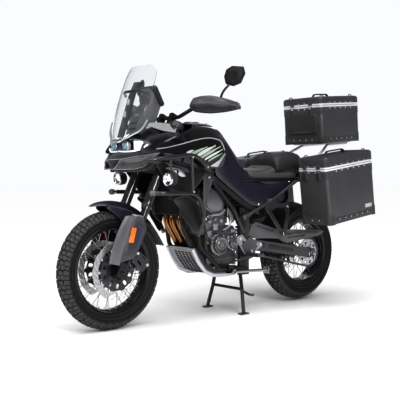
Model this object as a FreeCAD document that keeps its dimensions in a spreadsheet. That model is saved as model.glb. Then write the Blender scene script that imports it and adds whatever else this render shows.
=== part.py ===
"""An adventure motorcycle with three metal cases, standing on its centre stand.

Millimetres. X points forward, Y to the rider's left, Z up. The origin lies on the ground,
under the middle of the whole machine. Every sub-part is an object of the document and is
bound to the sheet of sizes; its Label is the name of its file.
"""
import FreeCAD, Part
import Sketcher
import math
import os
import re

from FreeCAD import Placement, Rotation, Vector

# ---------------------------------------------------------------- driving sizes
SIZES = (
    # alias, value, what it measures
    ("wheelbase", 1531, "between the wheel axles"),
    ("mid_x", 70, "middle of the wheelbase ahead of the origin"),
    ("rear_lift", 8, "air under the rear tyre on the centre stand"),
    ("rake", 25, "steering axis, degrees from upright"),
    ("axle_lead", 43, "front axle ahead of the steering axis"),
    ("fork_lead", 30, "fork legs ahead of the steering axis"),
    ("fork_y", 105, "fork leg from the middle"),
    ("fork_tube_radius", 28, "upper fork tube"),
    ("slider_radius", 21.5, "lower fork leg"),
    ("split_gap", 41, "upper tube's lower end beyond the tyre, along the fork"),
    ("fork_top", 912, "top of the fork above the axle, along the fork"),
    ("lower_clamp", 628, "middle of the lower clamp above the axle, along the fork"),
    ("upper_clamp", 890, "middle of the upper clamp above the axle, along the fork"),
    ("clamp_thick", 26, "fork clamp plate"),
    ("stem_radius", 15, "steering stem"),
    ("head_radius", 30, "steering head tube"),
    ("bar_radius", 11, "handlebar tube"),
    ("bar_half", 440, "handlebar end from the middle"),
    ("axle_radius", 12.5, "wheel axles"),
    ("axle_bore", 8, "radius of the hole through the axles"),
    ("run_gap", 0.4, "running clearance on a radius"),
    ("seat_gap", 0.3, "air between two seated pieces"),
    ("part_gap", 6, "air between pieces that move past each other"),
    ("front_tyre_radius", 329, "outside"),
    ("front_tyre_half", 56, "half its width"),
    ("front_rim_radius", 241, "bead seat"),
    ("front_rim_half", 38, "half the width between the flanges"),
    ("rear_tyre_radius", 321, "outside"),
    ("rear_tyre_half", 76, "half its width"),
    ("rear_rim_radius", 218, "bead seat"),
    ("rear_rim_half", 57, "half the width between the flanges"),
    ("flange_high", 11, "rim flange above the bead seat"),
    ("rim_deep", 26, "rim below the bead seat"),
    ("front_disc_radius", 160, "brake disc"),
    ("rear_disc_radius", 130, "brake disc"),
    ("disc_thick", 5, "brake discs"),
    ("rear_hub_half", 103, "half the hub's length"),
    ("chain_y", 98, "middle plane of the chain"),
    ("chain_wide", 16, "over the chain's pins"),
    ("sprocket_radius", 96, "rear sprocket's tips"),
    ("drive_radius", 38, "chain's pitch line round the drive sprocket"),
    ("pivot_z", 438, "swingarm pivot"),
    ("arm_inner", 108, "swingarm arm's inner face"),
    ("arm_thick", 20, "swingarm arm"),
    ("plate_inner", 130, "frame's pivot plate, inner face"),
    ("plate_thick", 20, "frame's pivot plate"),
    ("spar_y", 150, "frame spars and tail rails from the middle"),
    ("spar_radius", 16, "frame spars"),
    ("rail_radius", 12, "tail rails"),
    ("rail_z", 820, "tail rails' middle"),
    ("engine_half", 125, "half the crankcase's width"),
    ("cylinder_half", 118, "half the cylinder block's width"),
    ("tank_top", 1158, "top of the tank"),
    ("cap_radius", 42, "fuel cap"),
    ("cap_high", 10, "fuel cap"),
    ("case_wall", 3, "sheet of the cases"),
    ("case_corner", 18, "cut corner of a case"),
    ("pannier_long", 467, "side case"),
    ("pannier_wide", 237, "side case"),
    ("pannier_high", 350, "side case below its lid"),
    ("pannier_lid_high", 75, "side case's lid"),
    ("pannier_inner", 233, "side case's inner wall from the middle"),
    ("pannier_pitch", 7.5, "degrees, rear end up"),
    ("top_long", 405, "top case"),
    ("top_wide", 345, "top case"),
    ("top_high", 255, "top case below its lid"),
    ("top_lid_high", 60, "top case's lid"),
    ("top_pitch", 4.5, "degrees, rear end up"),
    ("pin_radius", 4, "hinge pins of the lids"),
    ("stand_z", 262, "centre stand's pivot"),
    ("stand_x", -120, "centre stand's pivot from the middle of the wheelbase"),
    ("side_stand_z", 268, "side stand's pivot"),
    ("head_tyre", 329, "front tyre that the heights of the nose are drawn for"),
)
REFERENCES = {
    "front_x": "(mid_x + wheelbase / 2)",
    "rear_x": "(mid_x - wheelbase / 2)",
    "front_z": "front_tyre_radius",
    "rear_z": "(rear_tyre_radius + rear_lift)",
    "fork_split": "(front_tyre_radius + split_gap)",
    "front_hub_half": "(fork_y - 27)",
    "front_disc_y": "(fork_y - 35)",
    "head_rise": "(front_tyre_radius - head_tyre)",
    "stay_z": "(front_tyre_radius - head_tyre + 974)",
}

doc = FreeCAD.newDocument("adventure_motorcycle")
sheet = doc.addObject("Spreadsheet::Sheet", "sizes")
for row, (alias, size, meaning) in enumerate(SIZES, start=1):
    sheet.set(f"A{row}", meaning)
    sheet.set(f"B{row}", str(size))
    sheet.setAlias(f"B{row}", alias)
doc.recompute()
ALIASES = {alias for alias, _, _ in SIZES}


# ---------------------------------------------------------------- expressions
def linked(formula):
    """The formula with its references spelled out and each size as a cell of the sheet."""
    text = str(formula)
    for name, meaning in REFERENCES.items():
        text = re.sub(rf"\b{name}\b", meaning, text)
    return re.sub(r"[a-z_]\w*", lambda word: f"sizes.{word[0]}" if word[0] in ALIASES else word[0], text)


def number(formula):
    """The formula's present value."""
    value = sheet.evalExpression(linked(formula))
    return float(getattr(value, "Value", value))


def point(x, y, z):
    return Vector(number(x), number(y), number(z))


def bind(item, path, formula):
    item.setExpression(path, linked(formula))


def front(offset):
    """X measured from the front axle."""
    return f"front_x + {offset}"


def middle(offset):
    """X measured from the middle of the wheelbase."""
    return f"mid_x + {offset}"


def back(offset):
    """X measured from the rear axle."""
    return f"rear_x + {offset}"


# ---------------------------------------------------------------- pieces
SIDES = (("left", 1), ("right", -1))


def place(item, at=(0, 0, 0), turn=None):
    """Bind the item's place; turn is (axis, degrees)."""
    if turn:
        item.Placement = Placement(Vector(), Rotation(Vector(*turn[0]), 1))
        bind(item, "Placement.Rotation.Angle", turn[1])
    for letter, formula in zip("xyz", at):
        bind(item, f"Placement.Base.{letter}", formula)
    return item


def box(name, size, at, turn=None):
    """Block with its lowest corner at the given place."""
    item = doc.addObject("Part::Box", name)
    for edge, formula in zip(("Length", "Width", "Height"), size):
        bind(item, edge, formula)
    return place(item, at, turn)


ALONG = {"x": ((0, 1, 0), 90), "y": ((1, 0, 0), -90), "z": None}


def rod(name, radius, length, at, along="y"):
    """Round bar from a place, along one axis."""
    item = doc.addObject("Part::Cylinder", name)
    bind(item, "Radius", radius)
    bind(item, "Height", length)
    return place(item, at, ALONG[along])


def solid(name, shape):
    """A piece whose shape comes from Part's own functions."""
    item = doc.addObject("Part::Feature", name)
    item.Shape = shape
    return item


def bar(name, radius, start, end):
    """Straight round bar between two points."""
    first, last = point(*start), point(*end)
    return solid(name, Part.makeCylinder(number(radius), (last - first).Length, first, last - first))


def tube(name, radius, route, bend=60):
    """Round bar along a route of points, its corners bent on arcs."""
    points = [point(*stop) for stop in route]
    edges, start = [], points[0]
    for before, corner, after in zip(points, points[1:], points[2:]):
        inward, outward = before - corner, after - corner
        reach = 0.45 * min(inward.Length, outward.Length)
        half = inward.getAngle(outward) / 2
        inward.normalize()
        outward.normalize()
        cut = min(bend / math.tan(half), reach)
        middle_way = (inward + outward).normalize()
        turn_radius = cut * math.tan(half)
        crown = corner + middle_way * (turn_radius / math.sin(half) - turn_radius)
        edges.append(Part.LineSegment(start, corner + inward * cut).toShape())
        edges.append(Part.Arc(corner + inward * cut, crown, corner + outward * cut).toShape())
        start = corner + outward * cut
    edges.append(Part.LineSegment(start, points[-1]).toShape())
    circle = Part.Circle(points[0], points[1] - points[0], number(radius)).toShape()
    pipe = Part.Wire(edges).makePipeShell([Part.Wire(circle)], True, True)
    return solid(name, pipe)


class Outline:
    """Closed outline in a sketch; each corner is bound, and 'via' bends the edge before it."""

    def __init__(self, body, plane, corners, offset="0"):
        self.sketch = body.newObject("Sketcher::SketchObject", body.Name + "_sketch")
        support = next(item for item in body.Origin.OriginFeatures if item.Role == plane + "_Plane")
        self.sketch.AttachmentSupport = [(support, "")]
        self.sketch.MapMode = "FlatFace"
        bind(self.sketch, "AttachmentOffset.Base.z", offset)
        self.draw(corners)

    def fix(self, geometry, vertex, corner):
        """Bind one end of an edge to its two formulas."""
        for kind, formula in zip(("DistanceX", "DistanceY"), corner):
            value = number(formula)
            index = self.sketch.addConstraint(Sketcher.Constraint(kind, geometry, vertex, value))
            self.sketch.setExpression(f"Constraints[{index}]", linked(formula))

    def end_at(self, geometry, spot):
        return 1 if (self.sketch.getPoint(geometry, 1) - spot).Length < 1e-6 else 2

    def draw(self, corners):
        stops = [corner for corner in corners if corner[0] != "via"]
        spots = [Vector(number(x), number(y), 0) for x, y in stops]
        bends = {}
        for index, corner in enumerate(corners):
            if corner[0] == "via":
                before = sum(1 for earlier in corners[:index] if earlier[0] != "via") - 1
                bends[before] = corner[1:]
        count = len(stops)
        for index in range(count):
            start, finish = spots[index], spots[(index + 1) % count]
            if index in bends:
                crown = Vector(number(bends[index][0]), number(bends[index][1]), 0)
                self.sketch.addGeometry(Part.Arc(start, crown, finish), False)
            else:
                self.sketch.addGeometry(Part.LineSegment(start, finish), False)
        for index in range(count):
            following = (index + 1) % count
            here = self.end_at(index, spots[following])
            there = self.end_at(following, spots[following])
            self.sketch.addConstraint(Sketcher.Constraint("Coincident", index, here, following, there))
        for index in range(count):
            self.fix(index, self.end_at(index, spots[index]), stops[index])
        for index, crown in bends.items():
            spot = Part.Point(Vector(number(crown[0]), number(crown[1]), 0))
            helper = self.sketch.addGeometry(spot, True)
            self.fix(helper, 1, crown)
            self.sketch.addConstraint(Sketcher.Constraint("PointOnObject", helper, 1, index))


NORMAL_SIGN = {"XY": 1, "XZ": -1, "YZ": 1}


def panel(name, plane, corners, start, thick, turn=None, at=(0, 0, 0)):
    """Flat outline made solid: from start, thick along the plane's remaining axis."""
    body = doc.addObject("PartDesign::Body", name)
    sign = NORMAL_SIGN[plane]
    outline = Outline(body, plane, corners, f"{sign} * ({start})")
    pad = body.newObject("PartDesign::Pad", name + "_pad")
    pad.Profile = outline.sketch
    pad.Reversed = sign < 0
    bind(pad, "Length", thick)
    outline.sketch.Visibility = False
    return place(body, at, turn)


def ring(name, corners, at, angle=360, turn=None):
    """Outline of (y, radius) corners turned about an axle that lies along Y."""
    body = doc.addObject("PartDesign::Body", name)
    outline = Outline(body, "YZ", corners)
    revolution = body.newObject("PartDesign::Revolution", name + "_turned")
    revolution.Profile = outline.sketch
    revolution.ReferenceAxis = (outline.sketch, ["H_Axis"])
    revolution.Angle = angle
    return place(body, at, turn)


def loft(name, plane, sections, at=(0, 0, 0), turn=None):
    """Solid through outlines; a section is (distance along the plane's normal, corners)."""
    body = doc.addObject("PartDesign::Body", name)
    sign = NORMAL_SIGN[plane]
    outlines = [Outline(body, plane, corners, f"{sign} * ({offset})") for offset, corners in sections]
    skin = body.newObject("PartDesign::AdditiveLoft", name + "_loft")
    skin.Profile = outlines[0].sketch
    skin.Sections = [outline.sketch for outline in outlines[1:]]
    skin.Ruled = True
    return place(body, at, turn)


def mirrored(item):
    """The same piece on the other side of the middle plane."""
    twin = doc.addObject("Part::Mirroring", item.Name + "_twin")
    twin.Source = item
    twin.Normal = Vector(0, 1, 0)
    return twin


def both(item):
    return [item, mirrored(item)]


def joined(name, pieces):
    """Pieces welded or cast into one."""
    item = doc.addObject("Part::MultiFuse", name)
    item.Shapes = list(pieces)
    return item


def grouped(name, pieces):
    """Like pieces that don't touch, kept together."""
    item = doc.addObject("Part::Compound", name)
    item.Links = list(pieces)
    return item


def without(name, base, tools):
    """The base less each of the tools in turn."""
    for index, tool in enumerate(tools):
        item = doc.addObject("Part::Cut", f"{name}_{index}")
        item.Base = base
        item.Tool = tool
        base = item
    return base


NODES = {}


def node(label, item):
    """Enter a finished sub-part under the name of its file."""
    item.Label = label
    NODES[label] = item
    return item


# ---------------------------------------------------------------- steering frame
TILT = ((0, 1, 0), "-rake")
STEER_AT = ("front_x - axle_lead * cos(rake)", "0", "front_z - axle_lead * sin(rake)")


def steered(item, at=(0, 0, 0)):
    """Place a piece drawn with X ahead of the steering axis and Z up along it from the axle."""
    ahead, side, up = at
    return place(item, (
        f"{STEER_AT[0]} + ({ahead}) * cos(rake) - ({up}) * sin(rake)",
        f"{side}",
        f"{STEER_AT[2]} + ({ahead}) * sin(rake) + ({up}) * cos(rake)",
    ), TILT)


def on_fork(ahead, side, up):
    """A point given ahead of the steering axis, to the side, and up along it."""
    return (
        f"{STEER_AT[0]} + ({ahead}) * cos(rake) - ({up}) * sin(rake)",
        side,
        f"{STEER_AT[2]} + ({ahead}) * sin(rake) + ({up}) * cos(rake)",
    )


# ---------------------------------------------------------------- wheels
def tyre(name, radius, half, bead, rim_half, at):
    """Closed ring from the bead seat out to a rounded tread."""
    shoulder, side = f"{radius} * 0.93", f"{bead} + ({radius} - {bead}) * 0.5"
    return node(name, ring(name + "_body", [
        (f"-({rim_half} - 1)", f"{bead} + seat_gap"), (f"-({rim_half} - 1)", f"{bead} + flange_high + 3"),
        (f"-{half}", side), (f"-{half} * 0.86", shoulder),
        ("via", "0", radius),
        (f"{half} * 0.86", shoulder), (half, side),
        (f"{rim_half} - 1", f"{bead} + flange_high + 3"), (f"{rim_half} - 1", f"{bead} + seat_gap"),
    ], at))


def rim(name, bead, half, at):
    """Drop-centre rim with two flanges."""
    outer, wall = f"({half} + 4)", f"{bead} + flange_high"
    return node(name, ring(name + "_body", [
        (f"-{outer}", wall), (f"-{half}", wall), (f"-{half}", bead), (half, bead), (half, wall),
        (outer, wall), (outer, f"{bead} - 10"), (f"{half} * 0.45", f"{bead} - rim_deep"),
        (f"-{half} * 0.45", f"{bead} - rim_deep"), (f"-{outer}", f"{bead} - 10"),
    ], at))


def spokes(name, count, flange_radius, flange_y, bead, rim_y, sweep, at):
    """Crossed wires from the hub's two flanges to the rim."""
    centre, hub_radius = point(*at), number(flange_radius)
    rim_radius = number(f"{bead} - rim_deep") + 0.2
    wires = []
    for index in range(count):
        side = 1 if index % 2 else -1
        lean = sweep if index % 4 < 2 else -sweep
        inner, outer = 2 * math.pi * index / count, 2 * math.pi * index / count + math.radians(lean)
        start = centre + Vector(hub_radius * math.sin(inner), side * flange_y, hub_radius * math.cos(inner))
        end = centre + Vector(rim_radius * math.sin(outer), side * rim_y, rim_radius * math.cos(outer))
        wires.append(Part.makeCylinder(SPOKE_RADIUS, (end - start).Length, start, end - start))
    return node(name, solid(name + "_wires", Part.makeCompound(wires)))


SPOKE_RADIUS = 2
FRONT_AT = ("front_x", "0", "front_z")
REAR_AT = ("rear_x", "0", "rear_z")


def front_wheel():
    tyre("front_tyre", "front_tyre_radius", "front_tyre_half", "front_rim_radius", "front_rim_half",
         FRONT_AT)
    rim("front_rim", "front_rim_radius", "front_rim_half", FRONT_AT)
    bore, face = "(axle_radius + run_gap)", "(front_disc_y - disc_thick / 2)"
    half = [("front_hub_half", bore), ("front_hub_half", 24), (face, 24), (face, 72), (f"{face} - 6", 72),
            (f"{face} - 6", 30), (42, 30), (42, 42), (34, 42), (34, 28)]
    node("front_hub", ring("front_hub_body", half + [(f"-({y})", r) for y, r in reversed(half)], FRONT_AT))
    spokes("front_spokes", 32, "38", 38, "front_rim_radius", 12, 24, FRONT_AT)
    disc = ring("front_disc", [(face, 60), (f"{face} + disc_thick", 60),
                               (f"{face} + disc_thick", "front_disc_radius"), (face, "front_disc_radius")],
                FRONT_AT)
    node("front_discs", grouped("front_disc_pair", both(disc)))


def rear_wheel():
    tyre("rear_tyre", "rear_tyre_radius", "rear_tyre_half", "rear_rim_radius", "rear_rim_half", REAR_AT)
    rim("rear_rim", "rear_rim_radius", "rear_rim_half", REAR_AT)
    bore = "(axle_radius + run_gap)"
    left, right = "(chain_y - disc_thick / 2 - 1)", "-(chain_y - disc_thick / 2)"
    node("rear_hub", ring("rear_hub_body", [
        ("rear_hub_half", bore), ("rear_hub_half", 22), (left, 22), (left, 62), (f"{left} - 30", 66),
        (f"{left} - 34", 34), (46, 30), (46, 44), (38, 44), (38, 30),
        (-38, 30), (-38, 44), (-46, 44), (-46, 30), (f"{right} + 8", 30), (f"{right} + 8", 60),
        (right, 60), (right, 22), ("-rear_hub_half", 22), ("-rear_hub_half", bore),
    ], REAR_AT))
    spokes("rear_spokes", 32, "40", 42, "rear_rim_radius", 18, 24, REAR_AT)
    sprocket = ring("sprocket", [(left, 40), (f"{left} + disc_thick + 2", 40),
                                 (f"{left} + disc_thick + 2", "sprocket_radius"), (left, "sprocket_radius")],
                    REAR_AT)
    node("rear_sprocket", sprocket)
    disc = ring("rear_disc_body", [(right, 45), (f"{right} - disc_thick", 45),
                                   (f"{right} - disc_thick", "rear_disc_radius"),
                                   (right, "rear_disc_radius")], REAR_AT)
    node("rear_disc", disc)


# ---------------------------------------------------------------- front end
def fork():
    clamps = []
    for name, level in (("lower", "lower_clamp"), ("upper", "upper_clamp")):
        plate = panel(name + "_clamp", "XY", [
            (-34, -34), ("fork_lead - 38", "-(fork_y + 20)"), ("fork_lead + 10", "-(fork_y + 40)"),
            ("fork_lead + 38", "-(fork_y + 10)"), (48, 0), ("fork_lead + 38", "fork_y + 10"),
            ("fork_lead + 10", "fork_y + 40"), ("fork_lead - 38", "fork_y + 20"), (-34, 34),
        ], f"{level} - clamp_thick / 2", "clamp_thick")
        clamps.append(steered(plate))
    stem_foot = "lower_clamp - clamp_thick / 2"
    stem = steered(rod("stem", "stem_radius", f"upper_clamp + 28 - ({stem_foot})", (0, 0, 0), "z"),
                   (0, 0, stem_foot))
    sockets = [steered(rod("socket", "fork_tube_radius + 0.1", 400, (0, 0, 0), "z"),
                       ("fork_lead", f"{side} * fork_y", "lower_clamp - 60")) for _, side in SIDES]
    node("triple_clamps", without("clamps", joined("clamps_and_stem", clamps + [stem]), sockets))
    tubes, legs = [], []
    for name, side in SIDES:
        at = f"{side} * fork_y"
        upper = rod(name + "_tube", "fork_tube_radius", "fork_top - fork_split", (0, 0, 0), "z")
        tubes.append(steered(upper, ("fork_lead", at, "fork_split")))
        leg = rod(name + "_leg", "slider_radius", "fork_split - seat_gap", (0, 0, 0), "z")
        foot = box(name + "_foot", (66, 42, 84), (0, 0, 0))
        legs += [steered(leg, ("fork_lead", at, 0)), steered(foot, ("axle_lead - 36", f"{at} - 21", -36))]
        spacer_start = "front_hub_half + 0.6"
        spacer = rod(name + "_spacer", "19", f"fork_y - 21 - ({spacer_start})", ("front_x", 0, "front_z"))
        bind(spacer, "Placement.Base.y", spacer_start if side > 0 else "-(fork_y - 21)")
        legs.append(spacer)
    node("fork_tubes", grouped("fork_tube_pair", tubes))
    axle = rod("front_axle", "axle_radius", "2 * (fork_y + 27)", ("front_x", "-(fork_y + 27)", "front_z"))
    bore = rod("front_axle_bore", "axle_bore", 400, ("front_x", -200, "front_z"))
    node("fork_legs", without("legs", joined("legs_and_axle", legs + [axle]), [bore]))


def fork_guards():
    """Curved shields ahead of the lower legs."""
    guards = []
    for name, side in SIDES:
        shield = panel(name + "_guard", "XY", [
            ("fork_lead - 14", f"{side} * (fork_y + 33)"), ("fork_lead + 30", f"{side} * (fork_y + 34)"),
            ("fork_lead + 44", f"{side} * (fork_y + 14)"), ("fork_lead + 44", f"{side} * (fork_y - 16)"),
            ("fork_lead + 38", f"{side} * (fork_y - 16)"), ("fork_lead + 38", f"{side} * (fork_y + 10)"),
            ("fork_lead + 27", f"{side} * (fork_y + 28)"), ("fork_lead - 14", f"{side} * (fork_y + 28)"),
        ], 50, 285)
        clip = box(name + "_guard_clip", (20, 14, 24), (0, 0, 0))
        steered(clip, ("fork_lead - 8", f"{side} * (fork_y + 26) - 7", 180))
        guards.append(joined(name + "_guard_set", [steered(shield), clip]))
    legs = [steered(rod("leg_room", "slider_radius + 0.1", 600, (0, 0, 0), "z"),
                    ("fork_lead", f"{side} * fork_y", -60)) for _, side in SIDES]
    node("fork_guards", without("guards", grouped("guard_pair", guards), legs))


def fender():
    """Mudguard round the front tyre, between the legs."""
    inner, skirt = "(front_tyre_radius + 16)", "(front_tyre_half + 10)"
    shell = ring("fender_shell", [
        (f"-{skirt}", f"{inner} - 40"), (f"-{skirt}", f"{inner} + 10"), (-50, f"{inner} + 22"),
        (50, f"{inner} + 22"), (skirt, f"{inner} + 10"), (skirt, f"{inner} - 40"),
        (f"{skirt} - 3", f"{inner} - 40"), (f"{skirt} - 3", f"{inner} + 8"), (48, f"{inner} + 18"),
        (-48, f"{inner} + 18"), (f"3 - {skirt}", f"{inner} + 8"), (f"3 - {skirt}", f"{inner} - 40"),
    ], FRONT_AT, 92, ((0, 1, 0), "-70"))
    tab_start, tab_end = f"({skirt} - 2)", "(fork_y - slider_radius - seat_gap)"
    tabs = [steered(box("fender_tab", (34, f"{tab_end} - {tab_start}", 30), (0, 0, 0)),
                    ("fork_lead - 17", tab_start if side > 0 else f"-{tab_end}", "front_tyre_radius - 16"))
            for _, side in SIDES]
    node("front_fender", joined("fender", [shell] + tabs))


def calipers():
    """Front calipers behind the legs, each open for its disc."""
    slot = "disc_thick + 2 * part_gap"
    pieces = []
    for name, side in SIDES:
        block = box(name + "_caliper", (48, 56, 96), (0, 0, 0))
        steered(block, ("fork_lead - 68", "54" if side > 0 else "-110", 88))
        lug = box(name + "_caliper_lug", (26, 16, 70), (0, 0, 0))
        steered(lug, ("fork_lead - 30", "90" if side > 0 else "-106", 96))
        pieces.append(joined(name + "_caliper_set", [block, lug]))
    cuts = [rod("disc_room", "front_disc_radius + part_gap", slot,
                ("front_x", f"{side} * front_disc_y - ({slot}) / 2", "front_z")) for _, side in SIDES]
    cuts += [steered(rod("leg_space", "slider_radius + 0.1", 600, (0, 0, 0), "z"),
                     ("fork_lead", f"{side} * fork_y", -60)) for _, side in SIDES]
    trimmed = without("caliper_pair", grouped("caliper_sets", pieces), cuts)
    node("front_calipers", trimmed)


BAR_LINE = (  # ahead of the steering axis, to the side as a share of bar_half, up along the axis
    (34, 0, 936), (38, 0.24, 940), (34, 0.50, 1000), (-96, 1, 1052),
)


def bar_point(share, lift=0, ahead=0):
    """A point on the grip's straight stretch, at a share of the bar's half width."""
    (x0, y0, z0), (x1, y1, z1) = BAR_LINE[2], BAR_LINE[3]
    part = (share - y0) / (y1 - y0)
    return x0 + (x1 - x0) * part + ahead, share, z0 + (z1 - z0) * part + lift


def on_bar(side, share, lift=0, ahead=0):
    x, y, z = bar_point(share, lift, ahead)
    return on_fork(x, f"{side * y} * bar_half", z)


def bar_tube(name, radius):
    """The handlebar's line as a round bar."""
    right = [on_fork(x, f"-{y} * bar_half", z) for x, y, z in reversed(BAR_LINE[1:])]
    left = [on_fork(x, f"{y} * bar_half", z) for x, y, z in BAR_LINE[1:]]
    return tube(name, radius, right + left, 70)


def bar_room(name):
    """Space for the bar in what is clamped on it."""
    return bar_tube(name + "_bar_room", "bar_radius + 0.1")


def handlebar():
    riser_foot = "upper_clamp + clamp_thick / 2 + 0.1"
    risers = [steered(box("riser", (34, 30, 62), (0, 0, 0)),
                      (20, f"{side} * (fork_y / 2 - 4.5) - 15", riser_foot)) for _, side in SIDES]
    node("handlebar", joined("bar_and_risers", [bar_tube("bar", "bar_radius")] + risers))


def hand_controls():
    """Grips, switch housings and levers on the bar."""
    sets = []
    for name, side in SIDES:
        grip = bar(name + "_grip", 17, on_bar(side, 0.70), on_bar(side, 0.985))
        housing = bar(name + "_switches", 21, on_bar(side, 0.58), on_bar(side, 0.699))
        lever = tube(name + "_lever", 5.5, [on_bar(side, 0.64), on_bar(side, 0.63, 2, 40),
                                            on_bar(side, 0.74, 0, 52), on_bar(side, 0.96, -2, 50)], 20)
        sets.append(joined(name + "_controls", [grip, housing, lever]))
    node("hand_controls", without("controls", grouped("control_pair", sets), [bar_room("grip")]))


def hand_guards():
    """Curved shields ahead of the grips, from the bar's ends to brackets on its bends."""
    sets = []
    for name, side in SIDES:
        out = "bar_half"
        shield = panel(name + "_hand_guard", "XY", [
            (108, f"{side} * ({out} - 184)"), (98, f"{side} * ({out} - 138)"),
            (72, f"{side} * ({out} - 85)"), (26, f"{side} * ({out} - 25)"), (-40, f"{side} * ({out} + 18)"),
            (-136, f"{side} * ({out} + 26)"), (-136, f"{side} * ({out} + 19)"),
            (-38, f"{side} * ({out} + 11)"), (20, f"{side} * ({out} - 31)"),
            (66, f"{side} * ({out} - 90)"), (91, f"{side} * ({out} - 143)"), (101, f"{side} * ({out} - 184)"),
        ], -24, 102)
        place(shield, on_fork(0, 0, 985))
        slopes = [panel(name + "_guard_slope", "YZ", [
            (f"{side} * ({out} - 200)", low), (f"{side} * ({out} - 200)", high),
            (f"{side} * ({out} - 104)", high)], -150, 300)
            for low, high in ((30, 90), (0, -40))]
        shaped = without(name + "_shaped_guard", shield,
                         [place(slope, on_fork(0, 0, 985)) for slope in slopes])
        stay = bar(name + "_guard_stay", 6, on_fork(36, f"{side} * ({out} - 214)", 992),
                   on_fork(96, f"{side} * ({out} - 180)", 966))
        tip = bar(name + "_bar_end", 13, on_bar(side, 1.001), on_fork(-104, f"{side} * ({out} + 21)", 1053))
        sets.append(joined(name + "_guard_and_stay", [shaped, stay, tip]))
    node("hand_guards", without("guards_on_bar", grouped("hand_guard_pair", sets), [bar_room("stay")]))


def mirrors():
    sets = []
    for name, side in SIDES:
        stem = tube(name + "_mirror_stem", 5, [on_bar(side, 0.548, 10, -4), on_bar(side, 0.552, 70, 4),
                                               on_bar(side, 0.86, 150, 40)], 30)
        perch = bar(name + "_mirror_perch", 16, on_bar(side, 0.535), on_bar(side, 0.578))
        head = doc.addObject("Part::Ellipsoid", name + "_mirror_head")
        bind(head, "Radius1", 48)
        bind(head, "Radius2", 22)
        bind(head, "Radius3", 80)
        place(head, on_bar(side, 0.93, 168, 68), ((0, 0, 1), 8 * side))
        sets.append(joined(name + "_mirror", [stem, perch, head]))
    node("mirrors", without("mirrors_on_bar", grouped("mirror_pair", sets), [bar_room("perch")]))


# ---------------------------------------------------------------- frame and engine
def main_frame():
    head_foot = "lower_clamp + clamp_thick / 2 + part_gap"
    head_long = f"upper_clamp - clamp_thick / 2 - part_gap - ({head_foot})"
    head = steered(rod("head_tube", "head_radius", head_long, (0, 0, 0), "z"), (0, 0, head_foot))
    bore = steered(rod("head_bore", "stem_radius + run_gap", 500, (0, 0, 0), "z"), (0, 0, 500))
    stay = rod("nose_stay", 13, 193, (front(-352), 0, "stay_z"), "x")
    cross = rod("nose_cross", 9, 280, (front(-164), -140, "stay_z"))
    welded = [head, stay, cross]
    plate_x, plate_z = middle(-160), "stand_z - 22"
    for name, side in SIDES:
        spar = [(front(-350), side * 12, "front_z + 631"), (front(-432), side * 62, "front_z + 619"),
                (middle(185), f"{side} * spar_y", 862), (middle(-20), f"{side} * spar_y", 650),
                (middle(-118), f"{side} * (plate_inner + 10)", 500)]
        down = [(front(-345), side * 10, "front_z + 596"), (front(-440), side * 70, "front_z + 471"),
                (middle(270), side * 138, 620),
                (middle(232), side * 146, 430), (middle(80), side * 148, 290),
                (middle(-118), f"{side} * (plate_inner + 10)", 285)]
        welded += [tube(name + "_spar", "spar_radius", spar, 60), tube(name + "_cradle", 13, down, 60)]
        low = "plate_inner" if side > 0 else "-(plate_inner + plate_thick)"
        welded.append(box(name + "_pivot_plate", (80, "plate_thick", f"650 - ({plate_z})"),
                          (plate_x, low, plate_z)))
    bolt = rod("pivot_bolt", 10, "2 * (plate_inner + 6)", (middle(-113), "-(plate_inner + 6)", "pivot_z"))
    welded += [bolt, rod("upper_cross", 12, "2 * spar_y", (middle(-20), "-spar_y", 650))]
    node("main_frame", without("frame_with_head", joined("frame_welded", welded + stand_pins()), [bore]))


def subframe():
    pieces = []
    for name, side in SIDES:
        y = f"{side} * spar_y"
        rail = [(middle(90), y, 764), (middle(-60), y, "rail_z"), (middle(-620), y, "rail_z"),
                (middle(-850), f"{side} * (spar_y - 40)", "rail_z + 90")]
        brace = [(middle(-140), f"{side} * (plate_inner + plate_thick)", 590), (middle(-200), y, 626),
                 (middle(-575), y, "rail_z - 2")]
        pieces += [tube(name + "_rail", "rail_radius", rail, 80), tube(name + "_brace", 10, brace)]
    for name, x, z in (("front_cross", -110, "rail_z"), ("shock_cross", -262, "rail_z"),
                       ("tail_cross", -530, "rail_z"), ("end_cross", -735, "rail_z + 45")):
        half = "(spar_y - 24)" if name == "end_cross" else "spar_y"
        pieces.append(rod(name, 10, f"2 * {half}", (middle(x), f"-{half}", z)))
    node("subframe", without("subframe_trimmed", joined("subframe_welded", pieces), [NODES["main_frame"]]))


def engine():
    case = panel("crankcase", "XZ", [
        (middle(15), 335), (middle(120), 330), (middle(165), 380), (middle(170), 500), (middle(120), 560),
        (middle(15), 560)], "-engine_half", "2 * engine_half")
    gearbox = panel("gearbox", "XZ", [
        (middle(-82), 345), (middle(15), 335), (middle(15), 565), (middle(-40), 560), (middle(-82), 500)],
        "-engine_half", "engine_half + 82")
    block = panel("cylinders", "XZ", [
        (middle(10), 548), (middle(172), 505), (middle(228), 640), (middle(205), 745), (middle(70), 775)],
        "-cylinder_half", "2 * cylinder_half")
    alternator = rod("alternator_cover", 62, 62, (middle(94), "engine_half - 1", 437))
    clutch = rod("clutch_cover", 84, 50, (middle(60), "-engine_half - 49", 440))
    sprocket = rod("drive_cover", 34, 8, (middle(-36), 82, "pivot_z"))
    mounts = [rod("engine_mount", 14, "2 * spar_y", (middle(x), "-spar_y", z))
              for x, z in ((100, 306), (-2, 676))]
    whole = joined("engine_cast", [case, gearbox, block, alternator, clutch, sprocket] + mounts)
    node("engine", without("engine_trimmed", whole, [NODES["main_frame"]]))


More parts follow.
